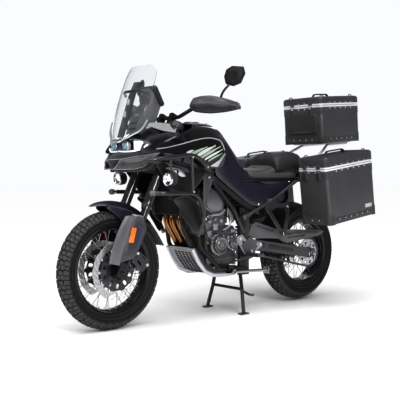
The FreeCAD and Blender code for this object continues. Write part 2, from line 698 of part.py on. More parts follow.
def exhaust():
    pipes = []
    for index, y in enumerate((-78, -20, 50)):
        pipes.append(tube(f"header_{index}", 18, [
            (middle(215), y, 668), (middle(296), y, 655), (middle(312), y, 575),
            (middle(196), y, 395), (middle(150), f"{y} * 0.7 - 20", 306), (middle(60), -60, 304)], 60))
    pipes.append(tube("link_pipe", 21, [
        (middle(150), -60, 304), (middle(-170), -84, 306), (middle(-290), -166, 322),
        (middle(-400), -176, 420), (middle(-447), -176, 486)], 60))
    node("exhaust_pipes", without("exhaust", joined("exhaust_welded", pipes),
                                  [NODES["engine"], NODES["main_frame"]]))
    can = bar("can", 50, (middle(-440), -176, 489), (middle(-890), -178, 548))
    tip = bar("tail_pipe", 26, (middle(-889), -178, 548), (middle(-915), -178, 551))
    hanger = box("can_hanger", (26, 12, 160), (middle(-500), -172, 540))
    node("silencer", without("silencer_trimmed", joined("silencer_welded", [can, tip, hanger]),
                             [NODES["exhaust_pipes"], NODES["subframe"]]))


def bash_plate():
    """Folded tray under the engine."""
    profile = [(middle(332), 424), (middle(205), 262), (middle(165), 248), (middle(-74), 248),
               (middle(-74), 252), (middle(163), 252), (middle(202), 266), (middle(327), 427)]
    tray = panel("tray", "XZ", profile, -120, 240)
    cheeks = []
    for name, y in (("left", 116), ("right", -120)):
        cheeks.append(panel(name + "_cheek", "XZ", [
            (middle(327), 424), (middle(202), 263), (middle(163), 249), (middle(-74), 249),
            (middle(-74), 290), (middle(150), 300), (middle(285), 420)], y, 4))
    stays = [rod("tray_stay", 8, 70, (middle(120), y - 35, 274)) for y in (-125, 125)]
    node("bash_plate", without("tray_trimmed", joined("tray_folded", [tray] + cheeks + stays),
                               [NODES["main_frame"], NODES["engine"], NODES["exhaust_pipes"]]))


def swingarm():
    arms = []
    profile = [(middle(-86), "pivot_z + 34"), (middle(-86), "pivot_z - 32"), (back(30), "rear_z - 30"),
               (back(-36), "rear_z - 26"), (back(-36), "rear_z + 26"), (back(30), "rear_z + 32")]
    for name, start in (("left", "arm_inner"), ("right", "-(arm_inner + arm_thick)")):
        arms.append(panel(name + "_arm", "XZ", profile, start, "arm_thick"))
    yoke = rod("yoke", 33, "2 * arm_inner + 10", (middle(-230), "-(arm_inner + 5)", 410))
    pivot = rod("pivot_tube", 22, "2 * (plate_inner - 1)", (middle(-113), "-(plate_inner - 1)", "pivot_z"))
    spacers = []
    for name, side in SIDES:
        start = "rear_hub_half + 0.6" if side > 0 else "-(arm_inner + 2)"
        spacers.append(rod(name + "_rear_spacer", 19, "arm_inner + 2 - rear_hub_half - 0.6",
                           ("rear_x", start, "rear_z")))
    axle = rod("rear_axle", "axle_radius", "2 * (arm_inner + arm_thick + 10)",
               ("rear_x", "-(arm_inner + arm_thick + 10)", "rear_z"))
    nuts = [rod("axle_nut", 22, 8, ("rear_x", start, "rear_z"))
            for start in ("arm_inner + arm_thick - 1", "-(arm_inner + arm_thick + 7)")]
    bore = rod("rear_axle_bore", "axle_bore", 400, ("rear_x", -200, "rear_z"))
    bolt_room = rod("bolt_room", "10 + run_gap", 400, (middle(-113), -200, "pivot_z"))
    drive_room = rod("drive_room", 70, 60, (middle(-36), 60, "pivot_z"))
    whole = joined("swingarm_welded", arms + [yoke, pivot, axle] + spacers + nuts)
    node("swingarm", without("swingarm_bored", whole, [bore, bolt_room, drive_room]))


def chain_loop(name, grow):
    """Closed loop round both sprockets, grown outward from the pitch line, as a solid plate."""
    first, last = point(middle(-36), 0, "pivot_z"), point(*REAR_AT)
    small, large = number("drive_radius") + grow, number("sprocket_radius - 3") + grow
    way = first - last
    lean = math.acos((large - small) / way.Length)
    heading = math.atan2(way.z, way.x)

    def spot(centre, radius, angle):
        return Vector(centre.x + radius * math.cos(angle), 0, centre.z + radius * math.sin(angle))

    corners = [spot(last, large, heading + lean), spot(first, small, heading + lean),
               spot(first, small, heading - lean), spot(last, large, heading - lean)]
    edges = [
        Part.LineSegment(corners[0], corners[1]).toShape(),
        Part.Arc(corners[1], spot(first, small, heading), corners[2]).toShape(),
        Part.LineSegment(corners[2], corners[3]).toShape(),
        Part.Arc(corners[3], spot(last, large, heading + math.pi), corners[0]).toShape(),
    ]
    plate = Part.Face(Part.Wire(edges)).extrude(Vector(0, number("chain_wide"), 0))
    plate.translate(Vector(0, number("chain_y - chain_wide / 2"), 0))
    return solid(name, plate)


def chain():
    """A closed band that the sprocket's rim runs in, and its guard."""
    band = without("chain_band", chain_loop("chain_outside", 8), [chain_loop("chain_inside", -8)])
    groove = ring("sprocket_room", [
        ("chain_y - disc_thick / 2 - 3", 20), ("chain_y + disc_thick / 2 + 3.5", 20),
        ("chain_y + disc_thick / 2 + 3.5", "sprocket_radius + 2"),
        ("chain_y - disc_thick / 2 - 3", "sprocket_radius + 2")], REAR_AT)
    drive = rod("drive_sprocket_room", "drive_radius + 2", 12, (middle(-36), "chain_y - 6", "pivot_z"))
    node("drive_chain", without("chain", band, [groove, drive]))
    guard = panel("guard_plate", "XZ", [
        (back(330), 452), (back(330), 500), (back(60), 492), (back(-138), 478), (back(-138), 462),
        (back(-20), 446), (back(60), 442)], "arm_inner + 3", 4)
    stays = [box("guard_stay", (16, 4, 70), (back(x), "arm_inner + arm_thick - 4", z))
             for x, z in ((286, 388), (70, 352))]
    caps = [box("stay_cap", (16, 22, 6), (back(x), "arm_inner + 3", z)) for x, z in ((286, 456), (70, 446))]
    links = [box("stay_link", (16, 4, 40), (back(x), "arm_inner + arm_thick - 4", z))
             for x, z in ((286, 420), (70, 412))]
    node("chain_guard", without("guard_trimmed", joined("guard", [guard] + stays + caps + links),
                                [NODES["swingarm"]]))


def rear_fittings():
    shock = joined("shock_set", [
        bar("shock_rod", 13, (middle(-232), 0, 442), (middle(-262), 0, "rail_z - 9")),
        bar("shock_spring", 34, (middle(-238), 0, 505), (middle(-257), 0, 745))])
    node("rear_shock", without("shock", shock, [NODES["swingarm"], NODES["subframe"]]))
    inner = "(rear_tyre_radius + 14)"
    shell = ring("hugger_shell", [
        (-84, f"{inner} - 34"), (-84, f"{inner} + 2"), (-60, f"{inner} + 12"), (60, f"{inner} + 12"),
        (84, f"{inner} + 2"), (84, f"{inner} - 34"), (81, f"{inner} - 34"), (81, inner),
        (58, f"{inner} + 8"), (-58, f"{inner} + 8"), (-81, inner), (-81, f"{inner} - 34"),
    ], REAR_AT, 70, ((0, 1, 0), "10"))
    tabs = [box("hugger_tab", (20, 28, 26), (back(320), start, 372)) for start in (82, -110)]
    node("rear_hugger", without("hugger", joined("hugger_set", [shell] + tabs), [NODES["swingarm"]]))
    caliper = box("rear_caliper_block", (74, 42, 56), (back(16), -118, "rear_z + 92"))
    bracket = box("rear_caliper_bracket", (40, 6, 80), (back(32), -114, "rear_z + 20"))
    room = rod("rear_disc_room", "rear_disc_radius + part_gap", "disc_thick + 2 * part_gap",
               ("rear_x", "-chain_y - part_gap - disc_thick / 2", "rear_z"))
    node("rear_caliper", without("rear_caliper_set", joined("rear_caliper_cast", [caliper, bracket]),
                                 [room, NODES["swingarm"]]))


def foot_gear():
    """Pegs, their plates, the gear and brake pedals, and the passenger's pegs."""
    sets, rear_sets = [], []
    for name, side in SIDES:
        start = "plate_inner + plate_thick + 0.1"
        plate = panel(name + "_peg_plate", "XZ", [
            (middle(-92), 420), (middle(-150), 330), (middle(-200), 345), (middle(-225), 440),
            (middle(-160), 470)], start if side > 0 else f"-({start} + 7)", 7)
        peg = box(name + "_peg", (52, 96, 18), (middle(-190), 156 if side > 0 else -252, 352))
        pedal = tube(name + "_pedal", 6, [(middle(-150), side * 154, 366), (middle(-120), side * 182, 352),
                                          (middle(40), side * 200, 330)], 20)
        pad = rod(name + "_pedal_pad", 8, 42, (middle(40), 190 if side > 0 else -232, 330))
        sets.append(joined(name + "_foot_set", [plate, peg, pedal, pad]))
        rail_out = "spar_y + 10.1"
        hanger = panel(name + "_hanger", "XZ", [
            (middle(-300), 690), (middle(-440), 760), (middle(-404), 470), (middle(-376), 470)],
            rail_out if side > 0 else f"-({rail_out} + 6)", 6)
        rest = box(name + "_passenger_peg", (40, 84, 16), (middle(-408), 164 if side > 0 else -248, 468))
        rear_sets.append(joined(name + "_passenger_set", [hanger, rest]))
    node("rider_footpegs", without("foot_sets", grouped("foot_pair", sets), [NODES["main_frame"]]))
    node("passenger_footpegs", without("passenger_sets", grouped("passenger_pair", rear_sets),
                                       [NODES["subframe"], NODES["silencer"], NODES["exhaust_pipes"]]))


# ---------------------------------------------------------------- bodywork
def section(*rows):
    """Symmetric outline across the machine from (half width, height) rows, bottom to top."""
    return list(rows) + [(f"-({half})", height) for half, height in reversed(rows)]


def tank():
    shell = loft("tank_shell", "YZ", [
        (middle(-176), section((78, "rail_z + 14"), (104, 850), (96, 875), (60, 889))),
        (middle(-100), section((96, "rail_z + 11"), (136, 880), (120, 950), (64, 1000))),
        (middle(-15), section((118, 838), (172, 945), (150, 1040), (66, 1098))),
        (middle(100), section((122, 850), (206, 990), (176, 1090), (78, "tank_top"))),
        (middle(252), section((92, 928), (190, 1010), (168, 1080), (70, "tank_top"))),
    ])
    pads = [box("tank_pad", (16, 60, 13), (middle(-118), start, "rail_z")) for start in (-90, 30)]
    node("fuel_tank", without("tank", joined("tank_set", [shell] + pads),
                              [NODES["subframe"], NODES["main_frame"]]))
    cap_x = middle(176)
    disc = rod("cap_disc", "cap_radius", "cap_high", (cap_x, 0, "tank_top + seat_gap"), "z")
    knuckle = rod("cap_knuckle", 4.5, 24, (f"{cap_x} + cap_radius + 2", -12, "tank_top + 5.6"))
    node("fuel_cap", joined("cap_with_knuckle", [disc, knuckle]))


def seats():
    seat_base, broad = "rail_z + rail_radius + seat_gap", "spar_y - 4"
    node("rider_seat", loft("rider_seat_body", "YZ", [
        (middle(-182), section((92, seat_base), (96, 872), (66, 893))),
        (middle(-290), section(("spar_y - 22", seat_base), (132, 874), (104, 895))),
        (middle(-425), section((broad, seat_base), (148, 900), (120, 930))),
    ]))
    node("passenger_seat", loft("passenger_seat_body", "YZ", [
        (middle(-426), section((broad, seat_base), (142, 925), (104, 952))),
        (middle(-480), section((broad, seat_base), (142, 965), (104, 993))),
        (middle(-640), section(("spar_y - 16", seat_base), (130, 985), (96, 1010))),
        (middle(-700), section((112, 862), (108, 965), (80, 985))),
    ]))


def side_panels():
    outer = "spar_y + spar_radius + seat_gap"
    cover = panel("left_side_cover", "XZ", [
        (middle(165), 880), (middle(60), 850), (middle(-60), 838), (middle(-190), 842), (middle(-560), 842),
        (middle(-590), 800), (middle(-400), 730), (middle(-228), 632), (middle(-110), 690),
        (middle(30), 790), (middle(150), 830)], outer, 8)
    node("side_covers", grouped("side_cover_pair", both(cover)))
    shroud = loft("left_shroud_body", "XZ", [
        ("spar_y + 24", [(front(-120), 905), (front(-215), 1000), (front(-420), 1000), (front(-560), 930),
               (front(-565), 865), (front(-450), 760), (front(-330), 700), (front(-250), 800)]),
        ("spar_y + 54", [(front(-150), 905), (front(-230), 980), (front(-420), 985), (front(-540), 925),
               (front(-545), 880), (front(-440), 790), (front(-345), 735), (front(-275), 820)]),
    ])
    peg = rod("shroud_peg", 9, 28, (front(-410), "spar_y - 3", 760))
    shell = without("left_shroud_cut", joined("left_shroud", [shroud, peg]), [NODES["crash_bars"]])
    node("side_shrouds", grouped("shroud_pair", both(shell)))
    core = box("radiator_core", (34, 292, 236), (front(-428), -146, "front_z + 285"))
    lugs = [rod("radiator_lug", 8, 20, (front(-440), y, "front_z + 469"), "x") for y in (-70, 70)]
    node("radiator", without("radiator_set", joined("radiator_cast", [core] + lugs),
                             [NODES["main_frame"]]))


def nose():
    at_stay = front(-160)
    fairing = loft("nose_body", "YZ", [
        (at_stay, section((120, 866), (172, 932), (168, 984), (60, 992))),
        (front(-80), section((70, 854), (112, 920), (104, 960), (50, 972))),
        (front(8), section((14, 882), (22, 905), (16, 922), (8, 926))),
    ], (0, 0, "head_rise"))
    node("nose_fairing", without("nose_trimmed", fairing, [NODES["main_frame"]]))
    lamp = loft("lamp_body", "YZ", [
        (at_stay, section((60, 993), (190, 1000), (186, 1030), (120, 1052))),
        (front(-110), section((54, 980), (120, 985), (116, 1030), (64, 1046))),
        (front(-50), section((30, 968), (60, 972), (52, 1004), (24, 1014))),
    ], (0, 0, "head_rise"))
    node("headlight", without("headlight_trimmed", lamp, [NODES["nose_fairing"], NODES["main_frame"]]))


def screen():
    """Bent clear sheet, thick along its own bulge."""
    def band(side_x, side_y, centre_x):
        thick = 5
        return [(front(side_x), f"-{side_y}"), ("via", front(centre_x), 0), (front(side_x), side_y),
                (front(side_x - thick), side_y), ("via", front(centre_x - thick), 0),
                (front(side_x - thick), f"-{side_y}")]

    sheet_ = loft("screen_sheet", "XY", [
        (1020, band(-36, 40, -26)), (1055, band(-108, 126, -48)), (1215, band(-186, 174, -112)),
        (1363, band(-202, 156, -150)), (1466, band(-222, 118, -190))], (0, 0, "head_rise"))
    node("windscreen", sheet_)
    mast = panel("screen_mast", "XZ", [
        (front(-162), 940), (front(-180), 940), (front(-262), 1215), (front(-262), 1245),
        (front(-246), 1245), (front(-168), 1180), (front(-120), 1060), (front(-150), 1050)], -20, 40,
        at=(0, 0, "head_rise"))
    arms = [rod("screen_arm", 6, 140, (front(-190), -70, "head_rise + 1196"))]
    arms += [rod("screen_stub", 7, 71, (front(-192), y, "head_rise + 1196"), "x") for y in (-62, 62)]
    display = place(box("display_case", (22, 164, 128), (0, 0, 0)),
                    (front(-330), -82, "head_rise + 1250"), ((0, 1, 0), 32))
    stay = box("display_stay", (60, 50, 14), (front(-316), -25, "head_rise + 1232"))
    node("instrument_panel", without("instruments", joined("instrument_set", [mast, display, stay] + arms),
                                     [NODES["windscreen"], NODES["main_frame"], NODES["headlight"],
                                      NODES["nose_fairing"]]))


def crash_bars():
    """Tube guards each side with the fog lights hung inside them."""
    sets = []
    for name, side in SIDES:
        upper = tube(name + "_upper_guard", 12, [
            (middle(168), f"{side} * (spar_y + 4)", 866), (middle(240), side * 222, 885),
            (middle(330), side * 242, 951), (middle(398), side * 244, 962), (middle(544), side * 242, 944),
            (middle(636), side * 216, 930)], 45)
        lower = tube(name + "_lower_guard", 12, [
            (middle(606), side * 204, 752), (middle(568), side * 234, 751), (middle(490), side * 244, 749),
            (middle(366), side * 244, 747), (middle(316), side * 240, 716), (middle(270), side * 228, 610),
            (middle(262), side * 160, 500)], 40)
        riser = bar(name + "_guard_post", 9, (middle(370), side * 244, 748), (middle(378), side * 244, 960))
        fog = rod(name + "_fog_lamp", 38, 60, (middle(494), side * 238, 829), "x")
        clip = bar(name + "_fog_clip", 8, (middle(522), side * 238, 840), (middle(530), side * 242, 944))
        sets.append(joined(name + "_guard_set", [upper, lower, riser, fog, clip]))
    node("crash_bars", without("crash_bar_set", grouped("crash_bar_pair", sets),
                               [NODES["main_frame"], NODES["engine"]]))


def tail():
    body = loft("tail_body", "YZ", [
        (middle(-701), section((60, 866), (108, 880), (104, 930), (60, 944))),
        (middle(-880), section((40, 898), (72, 904), (70, 938), (40, 946))),
    ])
    hanger = panel("plate_hanger", "XZ", [
        (middle(-840), 905), (middle(-878), 905), (middle(-1010), 662), (middle(-1004), 640),
        (middle(-992), 640), (middle(-968), 690)], -30, 60)
    plate = place(box("plate_panel", (3, 180, 120), (0, 0, 0)), (middle(-1012), -90, 640), ((0, 1, 0), 28))
    lamps = [bar("indicator", 13, (middle(-900), side * 60, 850), (middle(-900), side * 135, 850))
             for _, side in SIDES]
    arm = rod("indicator_arm", 7, 130, (middle(-900), -65, 850))
    node("tail_section", without("tail_trimmed", joined("tail_set", [body, hanger, plate, arm] + lamps),
                                 [NODES["subframe"]]))


# ---------------------------------------------------------------- cases
TOP_AT, TOP_TURN = (middle(-826), 0, 1057), ((0, 1, 0), "top_pitch")
SIDE_AT, SIDE_TURN = (middle(-553), 0, 534), ((0, 1, 0), "pannier_pitch")


def on_case(at, pitch, x, y, z):
    """A point of a pitched case: x ahead of its lower front edge, z up its wall."""
    return (f"{at[0]} + ({x}) * cos({pitch}) + ({z}) * sin({pitch})", y,
            f"{at[2]} - ({x}) * sin({pitch}) + ({z}) * cos({pitch})")


def case_outline(long, low, high, inset="0"):
    """Eight-sided plan of a case from its front edge backward, its corners cut."""
    cut = f"(case_corner - 0.4 * ({inset}))"
    near, far = f"-({inset})", f"-({long}) + ({inset})"
    right, left = f"{low} + ({inset})", f"{high} - ({inset})"
    return [(near, f"{right} + {cut}"), (near, f"{left} - {cut}"), (f"{near} - {cut}", left),
            (f"{far} + {cut}", left), (far, f"{left} - {cut}"), (far, f"{right} + {cut}"),
            (f"{far} + {cut}", right), (f"{near} - {cut}", right)]


def case(prefix, long, high, lid_high, low, far_side, at, turn):
    """Open box with a shallow lid on two hinges along its front edge."""
    pitch = turn[1]
    outer = panel(prefix + "_outer", "XY", case_outline(long, low, far_side), 0, high, turn, at)
    hollow = panel(prefix + "_hollow", "XY", case_outline(long, low, far_side, "case_wall"),
                   "case_wall", f"{high} + 50", turn, at)
    lid_start = f"{high} + seat_gap"
    lid_outer = panel(prefix + "_lid_outer", "XY", case_outline(long, low, far_side), lid_start,
                      lid_high, turn, at)
    lid_hollow = panel(prefix + "_lid_hollow", "XY", case_outline(long, low, far_side, "case_wall"),
                       f"{lid_start} - 20", f"{lid_high} + 20 - case_wall", turn, at)
    pins, ears, knuckles, bores = [], [], [], []
    for share in (0.25, 0.75):
        y = f"({low} + ({far_side} - ({low})) * {share})"
        pins.append(rod(prefix + "_pin", "pin_radius", 60, on_case(at, pitch, 11, f"{y} - 30", high)))
        ears.append(place(box(prefix + "_ear", (19, 20, 22), (0, 0, 0)),
                          on_case(at, pitch, -1, f"{y} - 10", f"{high} - 24"), turn))
        ears.append(rod(prefix + "_ear_eye", 8, 20, on_case(at, pitch, 11, f"{y} - 10", high)))
        bores.append(rod(prefix + "_bore", "pin_radius + run_gap", 80,
                         on_case(at, pitch, 11, f"{y} - 40", high)))
        for start in (-30, 16):
            knuckles.append(rod(prefix + "_knuckle", 9, 14, on_case(at, pitch, 11, f"{y} + {start}", high)))
            knuckles.append(place(box(prefix + "_strap", (15, 14, 30), (0, 0, 0)),
                                  on_case(at, pitch, -2, f"{y} + {start}", f"{high} + 1"), turn))
    shell = without(prefix + "_box", joined(prefix + "_shell", [outer] + ears), [hollow])
    body = joined(prefix + "_box_with_pins", [shell] + pins)
    lid = without(prefix + "_lid_shell", joined(prefix + "_lid_welded", [lid_outer] + knuckles),
                  [lid_hollow] + bores)
    return body, lid


def cases():
    body, lid = case("top_case", "top_long", "top_high", "top_lid_high", "-top_wide / 2", "top_wide / 2",
                     TOP_AT, TOP_TURN)
    pad = place(box("back_pad", (16, 250, 120), (0, 0, 0)), on_case(TOP_AT, "top_pitch", -0.1, -125, 88),
                TOP_TURN)
    node("top_case_body", joined("top_case_with_pad", [body, pad]))
    node("top_case_lid", lid)
    for name, low, high in (("left", "pannier_inner", "pannier_inner + pannier_wide"),
                            ("right", "-(pannier_inner + pannier_wide)", "-pannier_inner")):
        body, lid = case(name + "_pannier", "pannier_long", "pannier_high", "pannier_lid_high", low, high,
                         SIDE_AT, SIDE_TURN)
        node(name + "_pannier_body", body)
        node(name + "_pannier_lid", lid)


def racks():
    plate = place(box("rack_plate", (330, 230, 6), (0, 0, 0)),
                  on_case(TOP_AT, "top_pitch", -360, -115, "-6 - seat_gap"), TOP_TURN)
    posts = []
    for name, side in SIDES:
        under = on_case(TOP_AT, "top_pitch", -120, side * 108, "-12")
        end = on_case(TOP_AT, "top_pitch", -340, side * 100, "-12")
        posts.append(tube(name + "_rack_rail", 9, [
            (middle(-660), f"{side} * (spar_y - 12)", "rail_z + 22"), (middle(-764), side * 146, 940),
            (middle(-862), side * 142, 1010), under, end], 50))
    handle = [bar(name + "_grab", 8, (middle(-740), side * 144, 922), (middle(-905), side * 120, 940))
              for name, side in SIDES]
    slots = [place(box("rack_slot", (90, 24, 40), (0, 0, 0)),
                   on_case(TOP_AT, "top_pitch", x, y, -20), TOP_TURN)
             for x in (-320, -180) for y in (-70, 46)]
    node("luggage_rack", without("rack", joined("rack_welded", [plate] + posts + handle),
                                 [NODES["subframe"], NODES["passenger_seat"], NODES["tail_section"]] + slots))
    frames = []
    for name, side in SIDES:
        y = f"{side} * (pannier_inner - seat_gap - 8)"
        loop = [on_case(SIDE_AT, "pannier_pitch", x, y, z)
                for x, z in ((-60, 250), (-60, 70), (-380, 70), (-380, 250), (-60, 250))]
        ring_ = tube(name + "_loop_low", 8, loop[:4], 45)
        top = bar(name + "_loop_top", 8, loop[0], loop[3])
        caps = []
        for corner in (loop[0], loop[3]):
            ball = doc.addObject("Part::Sphere", name + "_loop_corner")
            bind(ball, "Radius", 8)
            caps.append(place(ball, corner))
        arms = [bar(name + "_frame_arm", 7, (middle(x), f"{side} * (spar_y - {inward})", z), loop_point)
                for x, inward, z, loop_point in (
                    (-600, 0, "rail_z", on_case(SIDE_AT, "pannier_pitch", -100, y, 250)),
                    (-790, 22, "rail_z + 67", on_case(SIDE_AT, "pannier_pitch", -330, y, 250)))]
        frames.append(joined(name + "_pannier_frame", [ring_, top] + caps + arms))
    node("pannier_frames", without("frames_trimmed", grouped("frame_pair", frames),
                                   [NODES["subframe"], NODES["luggage_rack"]]))


# ---------------------------------------------------------------- stands
def centre_stand():
    inside = "plate_inner - 6"
    pieces = []
    pivots = []
    for name, side in SIDES:
        low = f"{inside} - 40" if side > 0 else f"-({inside})"
        pivots.append(rod(name + "_stand_eye", 14, 40, (middle("stand_x"), low, "stand_z")))
        pieces.append(tube(name + "_stand_leg", 11, [
            (middle("stand_x"), f"{side} * ({inside} - 14)", "stand_z"),
            (middle("stand_x + 3"), side * 132, 150), (middle("stand_x + 20"), side * 166, 10)], 60))
        pieces.append(box(name + "_stand_foot", (64, 34, 8), (middle("stand_x - 12"), side * 166 - 17, 0)))
    pieces.append(rod("stand_brace", 9, 264, (middle("stand_x + 4"), -132, 148)))
    pieces.append(tube("stand_lever", 7, [
        (middle("stand_x + 2"), 132, 140), (middle("stand_x - 40"), 150, 112),
        (middle("stand_x - 66"), 168, 108)], 30))
    room = [rod("stand_pin_room", 8.4, 300, (middle("stand_x"), -150, "stand_z"))]
    node("centre_stand", without("stand", joined("stand_welded", pivots + pieces), room))


def stand_pins():
    """Pins through the pivot plates for the centre stand, and the side stand's bracket."""
    pins = [rod("stand_pin", 8, 60, (middle("stand_x"), start, "stand_z"))
            for start in ("plate_inner - 50", "-(plate_inner + 10)")]
    bracket = box("side_stand_bracket", (44, 16, 34),
                  (middle(-20), "plate_inner + plate_thick", "side_stand_z + 4"))
    pin = rod("side_stand_pin", 7, 32, (middle(-8), "plate_inner + plate_thick + 4", "side_stand_z"))
    strut = box("side_stand_strut", (110, 10, 30), (middle(-90), "plate_inner + 8", "side_stand_z - 10"))
    lug = box("side_stand_lug", (30, 24, 40), (middle(-22), "plate_inner + 8", "side_stand_z - 10"))
    return pins + [bracket, pin, strut, lug]


def side_stand():
    eye = rod("side_stand_eye", 15, 12, (middle(-8), "plate_inner + plate_thick + 22", "side_stand_z"))
    leg = tube("side_stand_leg", 9, [
        (middle(-16), "plate_inner + plate_thick + 28", "side_stand_z"),
        (middle(-120), "plate_inner + plate_thick + 40", "side_stand_z - 2"),
        (middle(-248), "plate_inner + plate_thick + 62", "side_stand_z - 4")], 60)
    foot = box("side_stand_foot", (6, 44, 44), (middle(-252), "plate_inner + plate_thick + 40",
                                                "side_stand_z - 26"))
    room = rod("side_stand_pin_room", 7.4, 200, (middle(-8), 100, "side_stand_z"))
    node("side_stand", without("side_stand_bored", joined("side_stand_welded", [eye, leg, foot]), [room]))


# ---------------------------------------------------------------- build
def check(item):
    """Stop on a failed object."""
    if {"Invalid", "Error"} & set(item.State):
        raise RuntimeError(f"{item.Name} failed: {item.State}")


def build():
    main_frame()
    subframe()
    engine()
    exhaust()
    bash_plate()
    swingarm()
    chain()
    rear_fittings()
    foot_gear()
    front_wheel()
    rear_wheel()
    fork()
    fork_guards()
    fender()
    calipers()
    handlebar()
    hand_controls()
    hand_guards()
    mirrors()
    tank()
    seats()
    crash_bars()
    side_panels()
    nose()
    screen()
    tail()
    cases()
    racks()
    centre_stand()
    side_stand()
    doc.recompute()
    for item in doc.Objects:
        check(item)
    os.makedirs("parts", exist_ok=True)
    for label, item in NODES.items():
        shape = item.Shape
        if shape.isNull() or not shape.isValid():
            raise RuntimeError(f"{label} has no valid shape")
        shape.exportStep(f"parts/{label}.step")


build()
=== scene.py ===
"""Looks of an adventure motorcycle with three metal luggage cases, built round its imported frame.

Sizes in the classes are millimetres; every mesh is written out in metres, in the frame's own axes:
X forward, Y to the rider's left, Z up.
"""
import logging
import math
from dataclasses import dataclass
from enum import Enum
from itertools import pairwise
from typing import Callable, Iterable, Sequence

import bmesh
import bpy
from mathutils import Matrix, Vector


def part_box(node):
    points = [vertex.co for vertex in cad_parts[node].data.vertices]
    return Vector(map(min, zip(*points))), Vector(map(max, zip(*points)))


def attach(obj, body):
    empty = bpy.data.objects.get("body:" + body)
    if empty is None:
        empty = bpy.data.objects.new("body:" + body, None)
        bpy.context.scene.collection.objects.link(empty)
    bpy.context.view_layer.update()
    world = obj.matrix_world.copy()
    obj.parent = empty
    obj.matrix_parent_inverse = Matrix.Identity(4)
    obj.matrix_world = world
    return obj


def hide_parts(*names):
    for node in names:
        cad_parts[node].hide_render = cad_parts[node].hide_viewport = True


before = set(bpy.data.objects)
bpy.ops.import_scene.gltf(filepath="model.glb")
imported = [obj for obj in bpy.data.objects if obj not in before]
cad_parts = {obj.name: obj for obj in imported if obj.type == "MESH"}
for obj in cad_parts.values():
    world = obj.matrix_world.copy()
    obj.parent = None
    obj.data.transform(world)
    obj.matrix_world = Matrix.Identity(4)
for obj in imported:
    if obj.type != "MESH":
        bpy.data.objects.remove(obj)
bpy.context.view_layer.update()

LOG = logging.getLogger("motorcycle")
MM = 0.001
SIDES = (("left", 1), ("right", -1))
FILLER_X = 249.0
FRONT_AXLE = (835.5, 329)
REAR_AXLE = (-695.5, 329)
Point = Sequence[float]
Colour = tuple[float, float, float]


# ------------------------------------------------------------------ meshes
def put(name: str, mesh: bpy.types.Mesh) -> bpy.types.Object:
    """Give a mesh its object in the scene."""
    made = bpy.data.objects.new(name, mesh)
    bpy.context.scene.collection.objects.link(made)
    return made


def baked(source: bpy.types.Object) -> bpy.types.Object:
    """Turn an object and its modifiers into a plain mesh.

    Args:
        source: a mesh or curve object.

    Returns:
        A mesh object with the same name and no modifiers.
    """
    graph = bpy.context.evaluated_depsgraph_get()
    mesh = bpy.data.meshes.new_from_object(source.evaluated_get(graph), depsgraph=graph)
    name = source.name
    bpy.data.objects.remove(source)
    return put(name, mesh)


def finished(name: str, shape: bmesh.types.BMesh, sharp: float = 32) -> bpy.types.Object:
    """Close a bmesh into an object with outward faces.

    Args:
        name: the piece's name.
        shape: its vertices in millimetres.
        sharp: edges bent by more than these degrees stay crisp.

    Returns:
        The object, in metres.
    """
    bmesh.ops.remove_doubles(shape, verts=shape.verts, dist=0.01)
    bmesh.ops.recalc_face_normals(shape, faces=shape.faces)
    bmesh.ops.scale(shape, vec=(MM, MM, MM), verts=shape.verts)
    mesh = bpy.data.meshes.new(name)
    shape.to_mesh(mesh)
    shape.free()
    mesh.shade_smooth()
    mesh.set_sharp_from_angle(angle=math.radians(sharp))
    return put(name, mesh)


def resharpened(piece: bpy.types.Object, sharp: float = 32) -> bpy.types.Object:
    """Shade a baked piece smooth, with crisp edges kept."""
    piece.data.shade_smooth()
    piece.data.set_sharp_from_angle(angle=math.radians(sharp))
    return piece


def rounded(piece: bpy.types.Object, width: float, steps: int = 2, angle: float = 30) -> bpy.types.Object:
    """Round a piece's edges by a width in millimetres."""
    bevel = piece.modifiers.new("round", "BEVEL")
    bevel.width, bevel.segments = width * MM, steps
    bevel.limit_method, bevel.angle_limit = "ANGLE", math.radians(angle)
    return resharpened(baked(piece))


def smoothed(piece: bpy.types.Object, levels: int = 2, sharp: float = 40) -> bpy.types.Object:
    """Subdivide a cage into its smooth surface."""
    subdivision = piece.modifiers.new("smooth", "SUBSURF")
    subdivision.levels = subdivision.render_levels = levels
    return resharpened(baked(piece), sharp)


def thickened(piece: bpy.types.Object, wall: float, inward: float = -1) -> bpy.types.Object:
    """Give a sheet its wall, in millimetres."""
    solidify = piece.modifiers.new("wall", "SOLIDIFY")
    solidify.thickness, solidify.offset = wall * MM, inward
    solidify.use_even_offset = True
    return resharpened(baked(piece))


def welded(name: str, pieces: Sequence[bpy.types.Object]) -> bpy.types.Object:
    """Join finished meshes into one object that keeps each one's material."""
    mesh = bpy.data.meshes.new(name)
    shape = bmesh.new()
    for piece in pieces:
        start = len(shape.faces)
        slots = []
        for material in piece.data.materials:
            if material and material.name not in mesh.materials:
                mesh.materials.append(material)
            slots.append(mesh.materials.find(material.name) if material else 0)
        shape.from_mesh(piece.data)
        shape.faces.ensure_lookup_table()
        for face in shape.faces[start:]:
            face.material_index = slots[face.material_index] if slots else 0
        old = piece.data
        bpy.data.objects.remove(piece)
        bpy.data.meshes.remove(old)
    shape.to_mesh(mesh)
    shape.free()
    return put(name, mesh)


def moved(piece: bpy.types.Object, way: Matrix) -> bpy.types.Object:
    """Move a piece inside its own mesh."""
    piece.data.transform(way)
    return piece


def shift(x: float, y: float, z: float) -> Matrix:
    """A move in millimetres."""
    return Matrix.Translation(Vector((x, y, z)) * MM)


def turned(axis: Point, degrees: float, about: Point = (0, 0, 0)) -> Matrix:
    """A turn about an axis through a point in millimetres."""
    spot = shift(*about)
    return spot @ Matrix.Rotation(math.radians(degrees), 4, Vector(axis)) @ spot.inverted()


